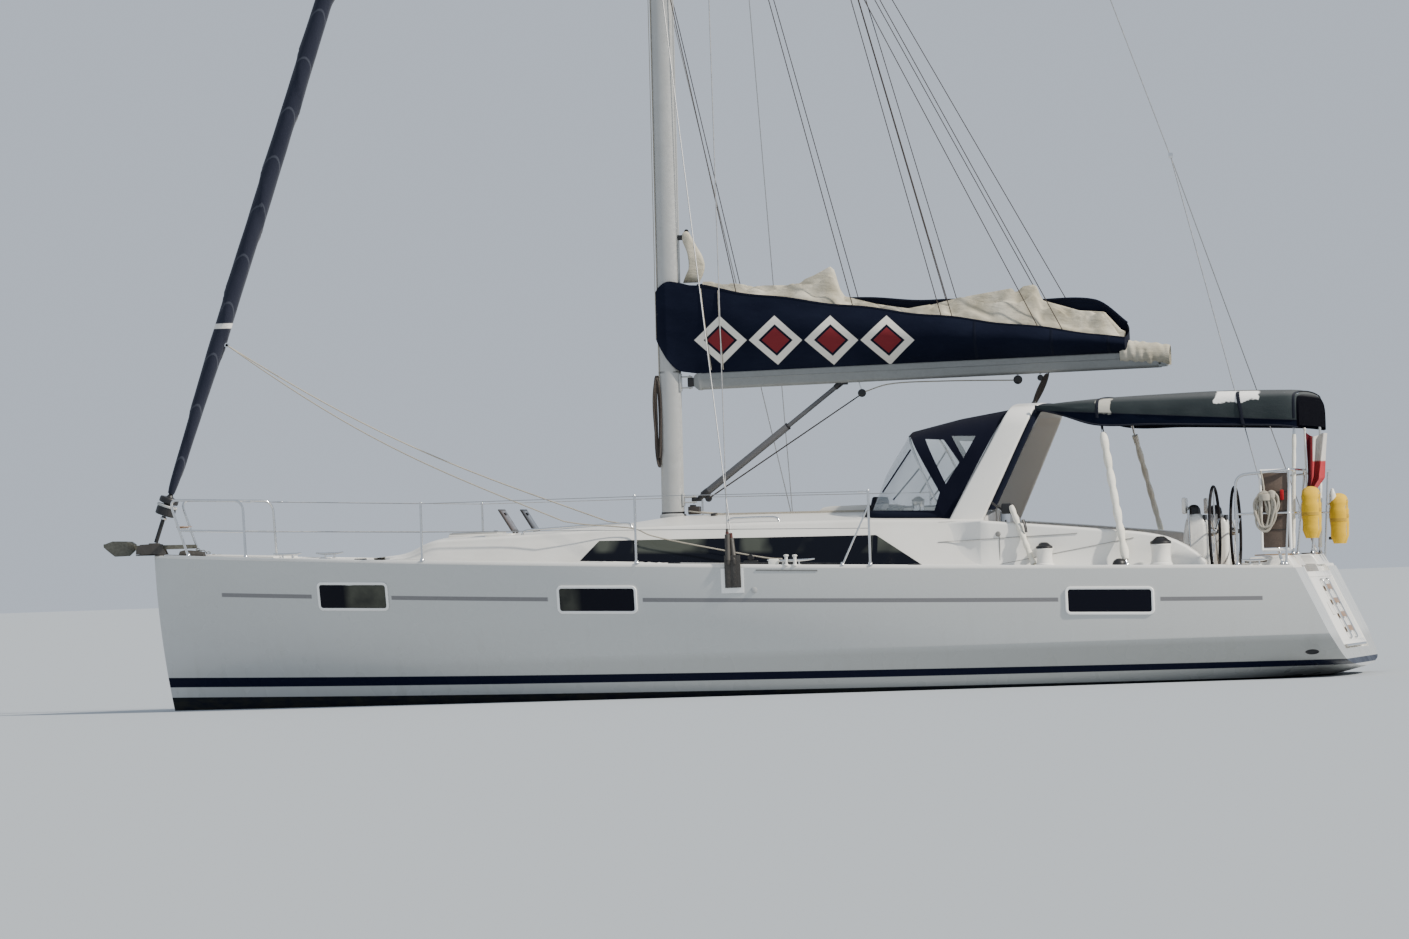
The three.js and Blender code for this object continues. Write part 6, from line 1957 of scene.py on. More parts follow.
def build_pushpit():
    front, back, side, z, mid, inner = (RAIL[k] for k in ("front", "back", "side", "z", "mid", "inner"))
    for name, sign in SIDES:
        shape = Shape()
        top_rail = [(front, side + 50, deck_top(front)), (front, side + 35, z - 40), (back, side, z),
                    (back, inner, z), (11435, inner, SEAT_TOP)]
        mid_rail = [(front, side + 42, mid), (back, side - 6, mid), (back - 30, inner, mid)]
        for points, radius in ((top_rail, TUBE), (mid_rail, TUBE * 0.8)):
            shape.tube(rounded([(X(s), sign * y, h) for s, y, h in points], 110, 8), radius, 12)
        shape.tube([(X(11440), sign * (side - 20), deck_top(11440)), (X(11500), sign * (side - 12), z - 6)],
                   TUBE, 12)
        base_plate(shape, X(front), sign * (side + 50), deck_top(front))
        base_plate(shape, X(11440), sign * (side - 20), deck_top(11440))
        base_plate(shape, X(11435), sign * inner, SEAT_TOP)
        buoy = sign * BUOY["side"]
        shape.block((X(back) - 22, buoy - 155, mid - 8), (X(back) + 12, buoy + 155, mid + 8), 4)
        for y in (buoy - 120, buoy + 120):
            shape.tube([(X(back) + 6, y, mid - 60), (X(back) + 12, y, mid + 60)], 7, 8)
        shape.make("pushpit_rails_" + name, "steel", slot="stainless", stands_for="pushpit_" + name)


def build_rail_gear():
    """The framed brown board, rope hank and lamp that hang on the stern rail."""
    board = Shape()
    low, high, front, back, y = 1250, 1962, 11232, 11478, -1782
    board.block((X(front), y - 14, low), (X(back), y + 6, high), 8, 0)
    left, right, foot, head = front - 14, back + 12, low - 20, high + 22
    for a, b in (((left, head), (right + 18, head)), ((right, foot), (right, head)),
                 ((left, foot), (left, head)), ((left, foot), (right, foot))):
        board.tube([(X(s), y - 4, z) for s, z in (a, b)], 15, 10, 1)
    for z in (1420, 1600, 1780):
        board.block((X(front) + 6, y - 19, z - 5), (X(back) - 6, y - 12, z + 5), 2, 2)
    board.block((X(11404), y - 34, 1700), (X(11440), y - 16, 1800), 9, 3)
    board.make("rail_board", "brown bright dark_frame red", slot="brown_canvas")
    coil = Shape()
    hank(coil, (X(11262), -1868, 1596), 190, 96, 44, 9, 11)
    hank(coil, (X(11330), -1862, 1670), 120, 60, 30, 5, 10)
    coil.tube(spline([(X(11262), -1860, 1750), (X(11250), -1850, 1880), (X(11230), -1835, 1985)], 6), 9, 8, 0)
    coil.make("rail_hank", "rope", slot="rope")
    lamp = Shape()
    lamp.lathe([(0, 0), (30, 0), (34, 20), (34, 130), (24, 160), (12, 190), (0, 196)], (X(11598), 1190, 1620),
               sides=20)
    lamp.block((X(11540), 1176, 1650), (X(11580), 1204, 1674), 4)
    lamp.make("buoy_lamp", "white_plastic", slot="white_frame")


def build_lifebuoys():
    thick = 82
    aft = X(RAIL["back"]) + TUBE + 0.6 + thick + 22
    for name, sign, drop in (("stbd", 1, 60), ("port", -1, 0)):
        y, half, low, top = BUOY["side"] * sign, BUOY["half"], BUOY["low"] - drop, BUOY["top"] - drop
        corners = [(aft, y - half, low), (aft, y - half, top), (aft, y + half, top), (aft, y + half, low)]
        path = rounded(corners, 130, 12)
        dense = []
        for a, b in zip(path, path[1:]):
            dense += [a.lerp(b, k / 8) for k in range(8)] if (b - a).length > 60 else [a]
        dense.append(path[-1])

        def girth(t):
            taper = min(1, 0.6 + 7 * min(t, 1 - t))
            pinch = 1 - 0.09 * abs(sin(t * pi * 6)) ** 12
            return thick * taper * pinch * (1 + 0.03 * sin(t * 43))

        ring = Shape().tube(dense, girth, 20, flat=0.66)
        piece = ring.make("buoy_" + name, "foam", slot="buoy_foam", stands_for="lifebuoy_" + name)
        extra = Shape()
        for t in (0.15, 0.5, 0.85):
            i = int(t * (len(dense) - 1))
            way = (dense[i + 1] - dense[i]).normalized()
            side = Vector((1, 0, 0))
            up = way.cross(side)
            rings = []
            for along, grow in ((-17, 0), (-15, 2), (15, 2), (17, 0)):
                rings.append([dense[i] + way * along + side * (thick + grow) * cos(a)
                              + up * (thick * 0.66 + grow) * sin(a)
                              for a in turns(20)])
            extra.loft(rings, 0, caps=False)
        line = [dense[i] + Vector((thick * 0.92, 0, -8 * abs(sin(i * 0.4))))
                for i in range(2, len(dense) - 2, 3)]
        extra.tube(line, 5, 6, 1)
        if sign > 0:
            extra.block((X(RAIL["back"]) + 8, y - 30, low + 40), (aft - 40, y + 30, low + 70), 6, 2)
        extra.make("buoy_bands_" + name, "foam_dark rope black", slot="buoy_foam")


FLAG_Y = -760


def build_flag():
    x0 = X(RAIL["back"]) + TUBE + 0.3 + 9 - 1.4
    staff = Shape().tube([(x0, FLAG_Y, 1500), (x0, FLAG_Y, 2375)], 9, 10)
    staff.lathe([(0, 0), (13, 4), (16, 14), (11, 24), (0, 27)], (x0, FLAG_Y, 2368), sides=14)
    staff.block((x0 - 16, FLAG_Y - 18, 1560), (x0 + 11, FLAG_Y + 18, 1584), 4)
    staff.block((x0 - 16, FLAG_Y - 18, 1962), (x0 + 11, FLAG_Y + 18, 1986), 4)
    staff.make("flagstaff", "white_plastic", slot="white_frame", stands_for="flag_on_staff")
    grid = []
    for r in span(0, 1, 52):
        line = []
        for c in span(0, 1, 46):
            narrow = 1 - 0.30 * r - 0.35 * max(0, r - 0.8) / 0.2
            reach = 205 * c * narrow
            fold = (24 + 26 * r) * sin(c * 13 + 1.2 * r) * min(1, c * 4)
            drop = 40 * c + 26 * sin(c * 5) * (1 - r) + 12 * r * sin(c * 11)
            sway = 12 * sin(c * 18 + r * 3) * r
            line.append((x0 + 10 + reach + sway, FLAG_Y + fold, 2348 - 520 * r - drop))
        grid.append(line)
    cloth_sheet("ensign", grid, "flag_stripes", "flag_cloth", 1.5)


def winch(shape, s, y, z, scale=1.0, mats=(0, 1, 2)):
    """A winch on its base; mats are the slots of its base, cap and drum."""
    base, cap, drum = mats

    def turned(outline, mat):
        shape.lathe([(r * scale, h * scale) for r, h in outline], (X(s), y, z), sides=36, mat=mat)

    turned([(0, 0), (108, 0), (108, 20), (100, 30), (0, 30)], base)
    turned([(0, 28), (98, 28), (98, 38), (94, 54), (91, 90), (91, 130), (94, 165), (102, 190), (104, 198),
            (98, 206), (0, 206)], drum)
    turned([(0, 204), (98, 204), (104, 214), (100, 232), (76, 244), (58, 262), (34, 278), (0, 280)], cap)
    shape.block((X(s) + 70 * scale, y - 10, z + 206 * scale), (X(s) + 112 * scale, y + 10, z + 226 * scale),
                4, drum)


WINCH_STATION, WINCH_SIDE = 10240, 1740


def build_winches():
    for name, sign in SIDES:
        shape = Shape()
        winch(shape, WINCH_STATION, sign * WINCH_SIDE, deck_top(WINCH_STATION))
        shape.make("winch_set_" + name, "white black white_plastic", slot="black_fitting",
                   stands_for="winch_" + name)
    small = Shape()
    for sign in (1, -1):
        winch(small, 9120, sign * 1745, deck_top(9120), 0.8)
        winch(small, 7780, sign * 820, roof_crown(7780, 820), 0.6, (1, 1, 3))
        dome = [(0, 0), (66, 0), (66, 26), (52, 52), (26, 68), (0, 72)]
        small.lathe(dome, (X(9836), sign * 1745, deck_top(9836) - 2), sides=28, mat=1)
        outlet = [(0, 0), (34, 0), (36, 24), (32, 46), (0, 48)]
        small.lathe(outlet, (X(9075), sign * 1598, 1340), (0.25, sign, 0.05), 24, 1)
    small.make("small_winches", "white black white_plastic steel", slot="black_fitting")


def cleat(shape, s, y, z, length, mat, base):
    """A horn cleat along the boat."""
    way = Vector((1, 0, 0))
    mid = Vector((X(s), y, z + 46))
    points = [mid + way * length * along + Vector((0, 0, up))
              for along, up in ((-0.5, 10), (-0.3, 2), (0, 0), (0.3, 2), (0.5, 10))]
    shape.tube(spline(points, 4), lambda t: 7 + 6 * sin(pi * t), 10, mat)
    for off in (-0.17, 0.17):
        p = Vector((X(s), y, z)) + way * length * off
        shape.tube([p, p + Vector((0, 0, 44))], 9, 10, mat)
        shape.lathe([(0, 0), (24, 0), (22, 6), (0, 8)], p, sides=14, mat=base)


def build_deck_gear():
    shape = Shape()
    for sign in (1, -1):
        for s, length in ((1560, 280), (6705, 460), (11150, 250)):
            y = smooth(HULL, "sheer", s) - 75
            cleat(shape, s, sign * y, deck_top(s), length, 0, 4)
        for s in (2360, 5560, 7900):
            y = smooth(HULL, "sheer", s) - 62
            shape.block((X(s) - 60, sign * y - 16, deck_top(s)), (X(s) + 60, sign * y + 16, deck_top(s) + 20),
                        6, 1)
        track = [(X(s), sign * (roof_side(s, deck_top(s) + 4) + 60), deck_top(s) + 9)
                 for s in span(5500, 6900, 16)]
        shape.tube(track, 17, 6, 2, flat=0.5)
        p = track[8]
        shape.block((p[0] - 70, p[1] - 26, p[2]), (p[0] + 70, p[1] + 26, p[2] + 34), 8, 1)
        pulley(shape, (p[0], p[1], p[2] + 62), 32, 1)
        for low, high in ((5960, 6480), (3880, 5010)):
            rail = []
            for s, up in ((low, -2), (low + 25, 44), ((low + high) / 2, 46), (high - 25, 44), (high, -2)):
                y = soft("edge", s) - 64
                rail.append((X(s), sign * y, roof_crown(s, y) + up))
            shape.tube(rounded(rail, 60, 5), 11, 10, 0)
        for k in range(4):
            y = sign * (440 + 62 * k)
            z = roof_crown(7560, y)
            shape.block((X(7440), y - 22, z - 4), (X(7580), y + 22, z + 44), 8, 1)
            shape.block((X(7500), y - 16, z + 40), (X(7600), y + 16, z + 58), 6, 1)
            bend = roof_crown(5700, 300 + 40 * k)
            line = [(X(5400), sign * (90 + 12 * k), 1800), (X(5700), sign * (300 + 40 * k), bend + 12),
                    (X(5720), sign * (312 + 42 * k), bend + 12), (X(7440), y, z + 20)]
            shape.tube(line, 6, 6, 3)
            outline = [(0, 0), (24, 0), (24, 24), (0, 26)]
            shape.lathe(outline, (X(5700), sign * (310 + 46 * k), bend - 2), sides=14, mat=1)
        coil = [(X(11150) + 95 * cos(a) * (1 + 0.1 * sin(a * 0.31)), sign * 1800 + 34 * sin(a),
                 deck_top(11150) + 40 + 9 * sin(a * 0.27)) for a in span(0, 44, 160)]
        shape.tube(coil, 7, 6, 5)
    shape.lathe([(0, 0), (62, 0), (60, 8), (0, 10)], (X(1720), 0, deck_top(1720)), sides=24, mat=0)
    shape.make("deck_fittings", "steel black alloy rope white_plastic rope_dark",
               slot="black_fitting")
    small = Shape()
    for sign in (1, -1):
        small.lathe([(0, -2), (30, -2), (30, 4), (20, 9), (0, 10)],
                    (X(6345), sign * (topside(6345, 1012) - 1), 1012), (0, sign, 0), 20, 0)
    rings = []
    for grow, out in ((1.25, -3), (1.2, 6), (1.0, 8), (0.92, 2), (0.5, 1), (0.02, 1)):
        ring = []
        for a in turns(24):
            s, z = 11668 + 54 * grow * cos(a), 249 + 20 * grow * sin(a)
            ring.append((X(s), -(topside(STERN, max(z, 200)) + out), z))
        rings.append(ring)
    small.loft(rings, 1, caps=False)
    small.make("hull_fittings", "alloy black", slot="black_fitting")


def build_side_gear():
    """Small things on the side decks and along the hull's edge."""
    pad = Shape()
    line = [Vector((X(8781), -1512, 1734)).lerp(Vector((X(9009), -1712, 1170)), t) for t in span(0, 1, 40)]
    pad.tube(line, lambda t: 22 + 7 * abs(sin(t * 21)) + 4 * noise.noise(Vector((t * 9, 2, 0))), 14)
    piece = pad.make("side_strut_pad", "pad", slot="flag_cloth")
    gear = Shape()
    at = line[2]
    gear.block((at.x - 108, -1528, 1660), (at.x - 4, -1468, 1762), 14, 1)
    strap = [(X(8590), -1492, 1776), (X(8660), -1500, 1724), (X(8700), -1506, 1690)]
    gear.tube(spline(strap, 4), 17, 8, 1, flat=0.6)
    strap = [(X(8905), -1600, 1600), (X(8925), -1616, 1540), (X(8935), -1628, 1478)]
    gear.tube(spline(strap, 4), 16, 8, 1, flat=0.6)
    for sign in (1, -1):
        section = [(4, 0), (4, 14), (-3, 14), (-3, 0)]
        rings = []
        for s in span(6371, 6972, 14):
            z = sheer_z(s) - 30
            rings.append([(X(s), sign * (topside(s, z + up) + out), z + up) for out, up in section])
        gear.loft(rings, 0)
        for s in (6668, 6752):
            y = sign * (smooth(HULL, "sheer", s) - 16)
            base = deck_top(s) - 4
            gear.lathe([(0, 0), (26, 0), (26, 10), (17, 16), (15, 84), (24, 92), (24, 104), (0, 110)],
                       (X(s), y, base), sides=18, mat=2)
        y = sign * (smooth(HULL, "sheer", 6560) - 40)
        gear.block((X(6492), y - 22, deck_top(6560)), (X(6590), y + 22, deck_top(6560) + 62), 12, 3)
        bar = [(X(s), sign * (smooth(HULL, "sheer", s) - 130), deck_top(s) + 16)
               for s in span(6200, 7190, 16)]
        gear.tube(bar, 18, 6, 1, flat=0.7)
    gear.make("side_deck_gear", "grey black white_plastic pad", slot="black_fitting")


def build_bow():
    shape = Shape()
    front, back, half, top = -180, 520, 55, 1664
    cheek = [(front, 1560), (front + 4, 1600), (front + 22, 1640), (front + 50, 1656), (40, top - 4),
             (75, top - 12), (104, 1610), (130, 1552), (-40, 1549)]
    for low, high in ((half - 8, half), (-half, 8 - half)):
        shape.prism(cheek, low, high, 0)
    floor = [(front, 1545), (0, deck_top(0) + 0.3), (back, deck_top(back) + 0.3), (back, deck_top(back) + 9),
             (0, 1556), (front, 1556)]
    shape.prism(floor, -half, half, 0)
    spool = [(0, -46), (27, -46), (27, -38), (19, -8), (19, 8), (27, 38), (27, 46), (0, 46)]
    shape.lathe(spool, (X(-120), 0, 1574), (0, 1, 0), 24, 1)
    shape.rod((X(-120), -62, 1574), (X(-120), 62, 1574), 8, 14)
    shape.block((X(-45), -half, top - 9), (X(45), half, top + 3), 4)
    shape.rod((X(90), -60, 1628), (X(90), 60, 1628), 7, 12)
    for s in (260, 400, 500):
        for y in (-38, 38):
            shape.lathe([(0, 0), (11, 0), (9, 4), (0, 5)], (X(s), y, deck_top(s) + 9), sides=12)
    # Painted shade: the roller's stainless cheeks and floor take the near-black dark metal.
    shape.make("bow_roller_piece", "weathered black", slot="stainless", stands_for="bow_roller")
    fang = Shape()
    shank = [(-230, 1601), (-200, 1650), (-60, 1647), (410, 1640), (430, 1630), (430, 1606), (410, 1600)]
    fang.prism(shank, -12, 12)
    blade = [(-516, 12, 1640, 1666), (-470, 45, 1598, 1680), (-405, 88, 1545, 1698), (-320, 112, 1546, 1695),
             (-250, 128, 1548, 1690), (-192, 60, 1600, 1660)]
    rings = []
    for s, h, low, high in blade:
        mid = (high + low) / 2
        ring = [(-h, high), (-h * 0.62, mid - 4), (0, low), (h * 0.62, mid - 4), (h, high),
                (h * 0.45, high - 3), (0, mid + 20), (-h * 0.45, high - 3)]
        rings.append([(X(s), y, z) for y, z in ring])
    fang.loft(rings)
    fang.rod((X(412), -22, 1620), (X(412), 22, 1620), 9, 12)
    fang.make("anchor_piece", "zinc", slot="galvanised", stands_for="anchor")
    chain = Shape()
    for k in range(9):
        s = 440 + k * 26
        z = 1588 - 9 * k if k < 5 else deck_top(s) + 14
        flat = k % 2
        ring = []
        for a in (2 * pi * j / 14 for j in range(15)):
            u, v = 21 * cos(a), 11 * sin(a)
            ring.append((X(s) + u, v if flat else 0, z + (0 if flat else v)))
        chain.tube(ring, 4, 6)
    chain.make("anchor_chain", "zinc", slot="galvanised")
    cover = Shape()
    rings = []
    for s, half_y, up in ((248, 20, 16), (258, 34, 40), (300, 40, 52), (380, 42, 50), (460, 40, 46),
                          (506, 32, 34), (514, 20, 14)):
        low = deck_top(s) + 8
        high = low + up
        ring = []
        for a in span(0, pi, 13):
            lump = 1 + 0.07 * noise.noise(Vector((s / 70, a * 2, 5)))
            ring.append((X(s), half_y * cos(a) * lump, low + (high - low) * sin(a) ** 0.7 * lump))
        rings.append(ring)
    cover.loft(rings)
    cover.make("chain_stopper", "weathered", slot="galvanised")


# Cockpit
WHEEL = dict(station=10665, side=900, z=1425, radius=430, rim=15)


def build_wheels():
    rim, radius = WHEEL["rim"], WHEEL["radius"]
    for name, sign in SIDES:
        cx, y, z = X(WHEEL["station"]), WHEEL["side"] * sign, WHEEL["z"]
        shape = Shape()
        rings = []
        for a in turns(96):
            ring = []
            for b in turns(14):
                reach = radius + rim * cos(b)
                ring.append((cx + rim * sin(b), y + reach * cos(a), z + reach * sin(a)))
            rings.append(ring)
        shape.loft(rings + [rings[0]], 0, caps=False)
        hub = [(30, -44.5), (42, -44.5), (42, -20), (36, -12), (36, 8), (28, 22), (0, 30)]
        shape.lathe(hub, (cx, y, z), (1, 0, 0), 28, 1)
        shape.lathe([(0, 22), (20, 22), (22, 26), (20, 32), (0, 34)], (cx, y, z), (1, 0, 0), 20, 2)
        for a in (pi / 2 + 2 * pi * i / 5 for i in range(5)):
            path = [(cx, y + cos(a) * r, z + sin(a) * r) for r in (24, 200, 424)]
            shape.tube(path, lambda t: 9.5 - 2.5 * t, 10, 1)
            for b in (a - 0.055, a + 0.055):
                at = (cx, y + radius * cos(b), z + radius * sin(b))
                lashing = [(15.2, -3), (16.4, -2), (16.4, 2), (15.2, 3)]
                shape.lathe(lashing, at, (0, -sin(b), cos(b)), 14, 2)
        shape.make("wheel_piece_" + name, "leather steel black", body="helm_wheel_" + name,
                   slot="wheel_cover", stands_for="wheel_" + name)


PEDESTAL = rows(
    ["station", "front", "back", "half"],
    [[620.3, 10310, 10620, 150], [1150, 10345, 10605, 128], [1500, 10385, 10600, 108],
     [1600, 10420, 10560, 85]])


def build_pedestals():
    pods = Shape()
    for name, sign in SIDES:
        shape = Shape()
        y = WHEEL["side"] * sign
        rings = []
        for z in span(620.3, 1480, 10) + [1520, 1550, 1575, 1592, 1600]:
            shrink = 0 if z < 1560 else (z - 1560) ** 1.5 / 12
            f, b, h = (smooth(PEDESTAL, c, z) for c in ("front", "back", "half"))
            f, b, h = f + shrink, b - shrink, h - shrink
            outline = rounded_outline(b - f, 2 * h, 45, 5)
            rings.append([(X((f + b) / 2) + along, y + across, z) for along, across in outline])
        shape.loft(rings)
        shape.rod((X(10500), y, WHEEL["z"]), (X(WHEEL["station"] - 46), y, WHEEL["z"]), 34, 24, 1)
        shape.lathe([(0, -4), (66, -4), (66, 20), (60, 52), (42, 78), (20, 88), (0, 90)], (X(10470), y, 1601),
                    sides=28, mat=2)
        shape.block((X(10562), y - 92, 1500), (X(10588), y + 92, 1590), 8, 2)
        guard = [(X(s), y + across, z) for s, across, z in
                 ((10440, -128, 1180), (10430, -128, 1660), (10430, 128, 1660), (10440, 128, 1180))]
        shape.tube(rounded(guard, 70, 6), 12, 12, 1)
        if sign > 0:
            shape.tube([(X(10585), y + 118, 1290), (X(10606), y + 128, 1290), (X(10606), y + 128, 1410)], 7,
                       8, 1)
            shape.lathe([(0, 0), (14, 0), (14, 22), (0, 26)], (X(10606), y + 128, 1400), sides=14, mat=2)
        shape.make("pedestal_piece_" + name, "white steel black", slot="gelcoat",
                   stands_for="pedestal_" + name)
        low, high = sorted((sign * 800, sign * 1010))
        pods.block((X(10366), low, 1604), (X(10404), high, 1760), 14, 0)
    pods.make("instrument_pods", "white", slot="gelcoat")


def build_cockpit():
    for name, sign in SIDES:
        shape = Shape()
        low, high = sorted((sign * 740, sign * 1359.7))
        shape.block((X(8522), low, 620.3), (X(10150), high, 1014), 14, 0)
        shape.block((X(8534), low + 11, 1010), (X(10138), high - 11, 1030), 5, 1)
        for front in (8600, 9380):
            shape.block((X(front), sign * 738 - 4, 700), (X(front + 700), sign * 738 + 4, 930), 3, 0)
        shape.make("bench_" + name, "white teak", slot="teak", stands_for="cockpit_bench_" + name)
    table = Shape()
    table.block((X(8980), -128, 1120), (X(10020), 128, 1262), 16, 0)
    table.block((X(8990), -118, 1258), (X(10010), 118, 1270), 4, 1)
    for s in (9165, 9835):
        table.tube([(X(s), 0, 620.3), (X(s), 0, 1140)], 38, 24, 2)
        table.lathe([(0, 0), (84, 0), (82, 8), (50, 18), (40, 30), (0, 30)], (X(s), 0, 620.3), sides=28,
                    mat=2)
    handle = [(X(9020), -60, 1268), (X(9010), -60, 1400), (X(9010), 60, 1400), (X(9020), 60, 1268)]
    table.tube(rounded(handle, 50, 6), 12, 12, 2)
    table.make("table_piece", "white teak steel", slot="gelcoat", stands_for="cockpit_table")
    for name, sign in SIDES:
        leaf = Shape()
        low, high = sorted((sign * 137.5, sign * 157.5))
        leaf.block((X(8980), low, 925), (X(10020), high, 1250), 7, 0)
        for s in span(9060, 9940, 5):
            leaf.rod((X(s) - 40, sign * 137.5, 1250), (X(s) + 40, sign * 137.5, 1250), 9, 14, 1)
        leaf.make("leaf_piece_" + name, "teak_plain steel", body="leaf_" + name, slot="teak",
                  stands_for="table_leaf_" + name)
    sole = Shape()
    for front, back, half in ((8524, 10300, 736), (10330, 11040, 1340), (11060, 11480, 545)):
        sole.block((X(front), -half, 620.2), (X(back), half, 628), 2)
    sole.make("sole_laths", "teak", slot="teak")
    seats = Shape()
    for sign in (1, -1):
        low, high = sorted((sign * 640, sign * 1610))
        seats.block((X(11120), low, 1178), (X(11440), high, 1190), 4, 0)
    seats.make("helm_seat_laths", "teak", slot="teak")
    sill = Shape()
    sill.block((X(8486), -420, 700), (X(8500), 420, 1722), 4, 0)
    sill.block((X(8500), -362, 690), (X(8512), -340, 1706), 4, 0)
    sill.block((X(8500), 340, 690), (X(8512), 362, 1706), 4, 0)
    sill.make("companionway_frame", "white", slot="deck_moulding")


# Underwater gear and platform
def foil_section(z, front, back, half, count=26):
    """A streamlined section between a front and a back station."""
    ring = []
    for k, a in enumerate(turns(count)):
        t = (1 - cos(a)) / 2
        thick = 10 * (0.2969 * sqrt(t) - 0.126 * t - 0.3516 * t * t + 0.2843 * t ** 3 - 0.1036 * t ** 4)
        side = 0 if k in (0, count // 2) else copysign(1, sin(a))
        ring.append((X(front + (back - front) * t), side * half * min(thick, 1), z))
    return ring


KEEL_SECTIONS = rows(
    ["z", "front", "back", "half"],
    [[-382, 4702, 6478, 75], [-640, 4745, 6440, 73], [-900, 4790, 6400, 72], [-1400, 4870, 6338, 69],
     [-1950, 4960, 6270, 66]])
BULB = rows(["station", "part"],
            [[0, 0.05], [0.06, 0.5], [0.2, 0.88], [0.42, 1], [0.7, 0.8], [0.9, 0.38], [1, 0.05]])
DRIVE_SECTIONS = rows(
    ["z", "front", "back", "half"],
    [[-395, 7490, 7860, 55], [-520, 7530, 7860, 50], [-640, 7560, 7860, 45], [-860, 7620, 7850, 38]])
RUDDER = rows(
    ["station", "front", "back", "half"],
    [[-1780, 10620, 10950, 22], [-1600, 10580, 10985, 30], [-900, 10530, 11070, 40], [-60, 10490, 11130, 46]])
SHAFT_Z, BLADE_STATION, BLADE_ROOT, BLADE_TIP = -800, 7952, 30, 212
SHAFT = (X(0), 0, SHAFT_Z)


def build_underwater():
    fin = Shape()
    fin.loft([foil_section(**row) for row in KEEL_SECTIONS])
    rings = []
    for t in [0, 0.015, 0.04] + span(0.08, 0.96, 20) + [0.985, 1]:
        part = max(smooth(BULB, "part", t), 0.04)
        x, half, tall = X(4520 + 2260 * t), 205 * part, 150 * part
        rings.append([(x, half * cos(a), -2040 + tall * sin(a)) for a in turns(32)])
    fin.loft(rings)
    fin.make("keel_fin", "bottom", slot="antifoul", stands_for="keel")
    leg = Shape()
    leg.loft([foil_section(**row, count=22) for row in DRIVE_SECTIONS])
    torpedo = [(2, 7500), (18, 7512), (34, 7545), (48, 7590), (55, 7650), (58, 7790), (52, 7860), (44, 7909)]
    leg.lathe(torpedo, SHAFT, (1, 0, 0), 28)
    leg.lathe([(58.5, 7700), (60, 7704), (60, 7716), (58.5, 7720)], SHAFT, (1, 0, 0), 28, 1)
    leg.make("drive_leg", "drive steel", slot="mast_alloy", stands_for="saildrive")
    screw = Shape()
    hub = [(20, 7910.5), (43, 7911), (42, 7950), (40, 7985), (30, 8000), (14, 8009), (2, 8010)]
    screw.lathe(hub, SHAFT, (1, 0, 0), 28)
    for i in range(3):
        base = 2 * pi * i / 3
        grid = []
        for r in span(BLADE_ROOT, BLADE_TIP, 12):
            t = (r - BLADE_ROOT) / (BLADE_TIP - BLADE_ROOT)
            chord = 36 + 34 * sin(pi * min(t * 1.15, 1) ** 0.9) - 26 * t ** 4
            pitch = radians(64 - 34 * t)
            line = []
            for u in span(-1, 1, 10):
                along = sin(pitch) * chord * u
                around = cos(pitch) * chord * u
                a = base + around / max(r, 1) + 0.22 * t
                line.append((X(BLADE_STATION) + along * 0.6 - 6 * t, -r * sin(a), SHAFT_Z + r * cos(a)))
            grid.append(line)
        screw.sheet(grid, 0, 6)
    screw.make("propeller_piece", "bronze", body="screw", slot="bronze", stands_for="propeller")
    blade = Shape()
    rings = []
    for z in [-1780, -1772, -1755] + span(-1730, -330, 16):
        f, b, h = (smooth(RUDDER, c, z) for c in ("front", "back", "half"))
        tip = max(0, (-1730 - z) / 50)
        rings.append(foil_section(z, f + 30 * tip ** 2, b - 30 * tip ** 2, h * (1 - 0.5 * tip ** 2)))
    blade.loft(rings)
    blade.rod((X(RUDDER_STATION), 0, -700), (X(RUDDER_STATION), 0, 100), STOCK_RADIUS, 28, 1)
    blade.make("rudder_piece", "bottom steel", body="rudder_blade", slot="antifoul", stands_for="rudder")


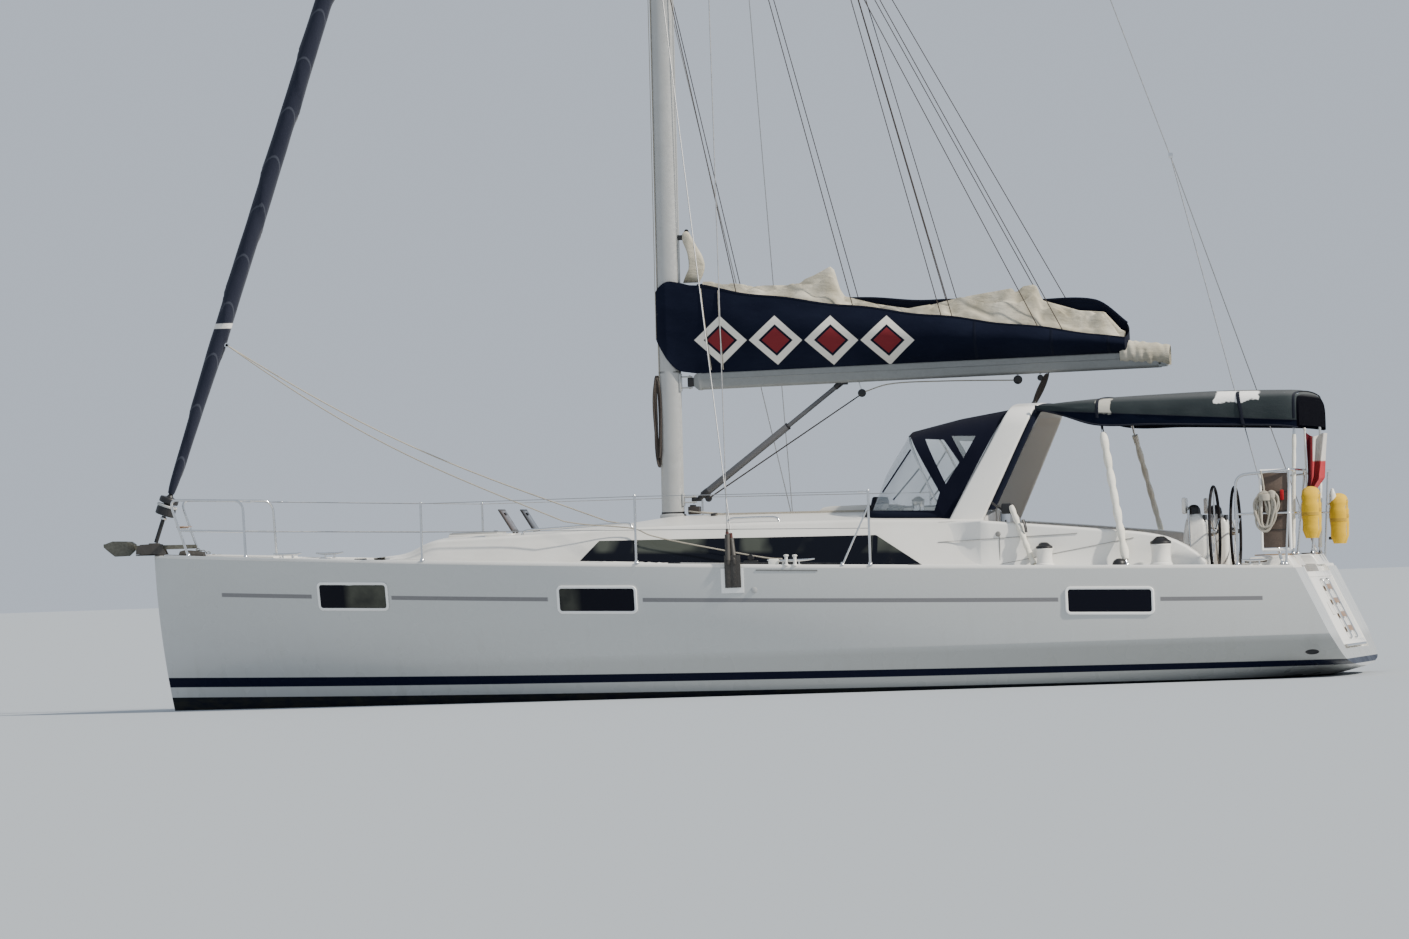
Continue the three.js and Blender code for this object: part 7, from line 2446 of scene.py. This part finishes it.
def build_platform():
    shape = Shape()

    def panel(y0, y1, up0, up1, inner, outer, mat, bevel):
        corners = rounded_outline(y1 - y0, up1 - up0, bevel * 2, 4)
        cy, cu = (y0 + y1) / 2, (up0 + up1) / 2

        def ring(out, shrink):
            tall, wide = 1 - shrink / (up1 - up0) * 2, 1 - shrink / (y1 - y0) * 2
            return [on_transom(cu + u * tall, cy + y * wide, out) for y, u in corners]

        half = bevel * 0.5
        shape.loft([ring(inner, half), ring(inner + half, 0), ring(outer - half, 0), ring(outer, half)], mat)

    panel(-1100, 1100, 12, 800, -45, -6, 0, 12)
    for y0, y1, up0, up1 in ((-1100, -1040, 12, 800), (1040, 1100, 12, 800), (-1045, 1045, 740, 800),
                             (-1045, 1045, 12, 60)):
        panel(y0, y1, up0, up1, -8, 0, 0, 4)
    shape.rod((HINGE.x, -900, HINGE.z), (HINGE.x, 900, HINGE.z), 14, 16, 1)
    for y in (-260, 260):
        rail = [on_transom(up, y, out) for up, out in ((70, -1), (70, 22), (700, 22), (700, -1))]
        shape.tube(rounded(rail, 30, 4), 12, 10, 1)
    for up in (170, 320, 470, 620):
        panel(-250, 250, up - 28, up + 28, 12, 24, 2, 4)
    panel(-640, -420, 330, 470, -6, 3, 3, 4)
    panel(420, 640, 330, 470, -6, 3, 3, 4)
    shape.make("platform_piece", "white steel teak_plain white_plastic", body="stern_platform",
               slot="gelcoat", stands_for="swim_platform")


# Stage
def build_stage():
    edge = 400000
    corners = [(-edge, -edge, 0), (edge, -edge, 0), (edge, edge, 0), (-edge, edge, 0)]
    Shape().add(corners, [(0, 1, 2, 3)]).make("floor", "floor", ride=False)
    world = bpy.data.worlds.new("sky")
    bpy.context.scene.world = world
    world.use_nodes = True
    world.node_tree.nodes["Background"].inputs[0].default_value = (0.78, 0.87, 1.0, 1)
    world.node_tree.nodes["Background"].inputs[1].default_value = 0.7
    data = bpy.data.lights.new("sun", "SUN")
    data.energy, data.angle, data.color = 5.6, radians(1.5), (1.0, 0.94, 0.84)
    lamp = bpy.data.objects.new("sun", data)
    lamp.rotation_euler = [radians(a) for a in (50, 0, 76)]
    bpy.context.scene.collection.objects.link(lamp)


BUILDERS = (
    build_hull, build_windows, build_deck, build_coaming, build_roof, build_roof_windows, build_hatches,
    build_arch, build_bows, build_hood, build_bimini, build_mast, build_mast_gear, build_spreaders,
    build_shrouds, build_backstay, build_forestay, build_furl, build_boom, build_vang, build_boom_gear,
    build_mainsheet, build_bag, build_folds, build_bag_front, build_lazy_jacks, build_pulpit,
    build_lifelines, build_pushpit, build_rail_gear, build_lifebuoys, build_flag, build_winches,
    build_deck_gear, build_side_gear, build_bow, build_wheels, build_pedestals, build_cockpit,
    build_underwater, build_platform, build_stage,
)
for build in BUILDERS:
    build()
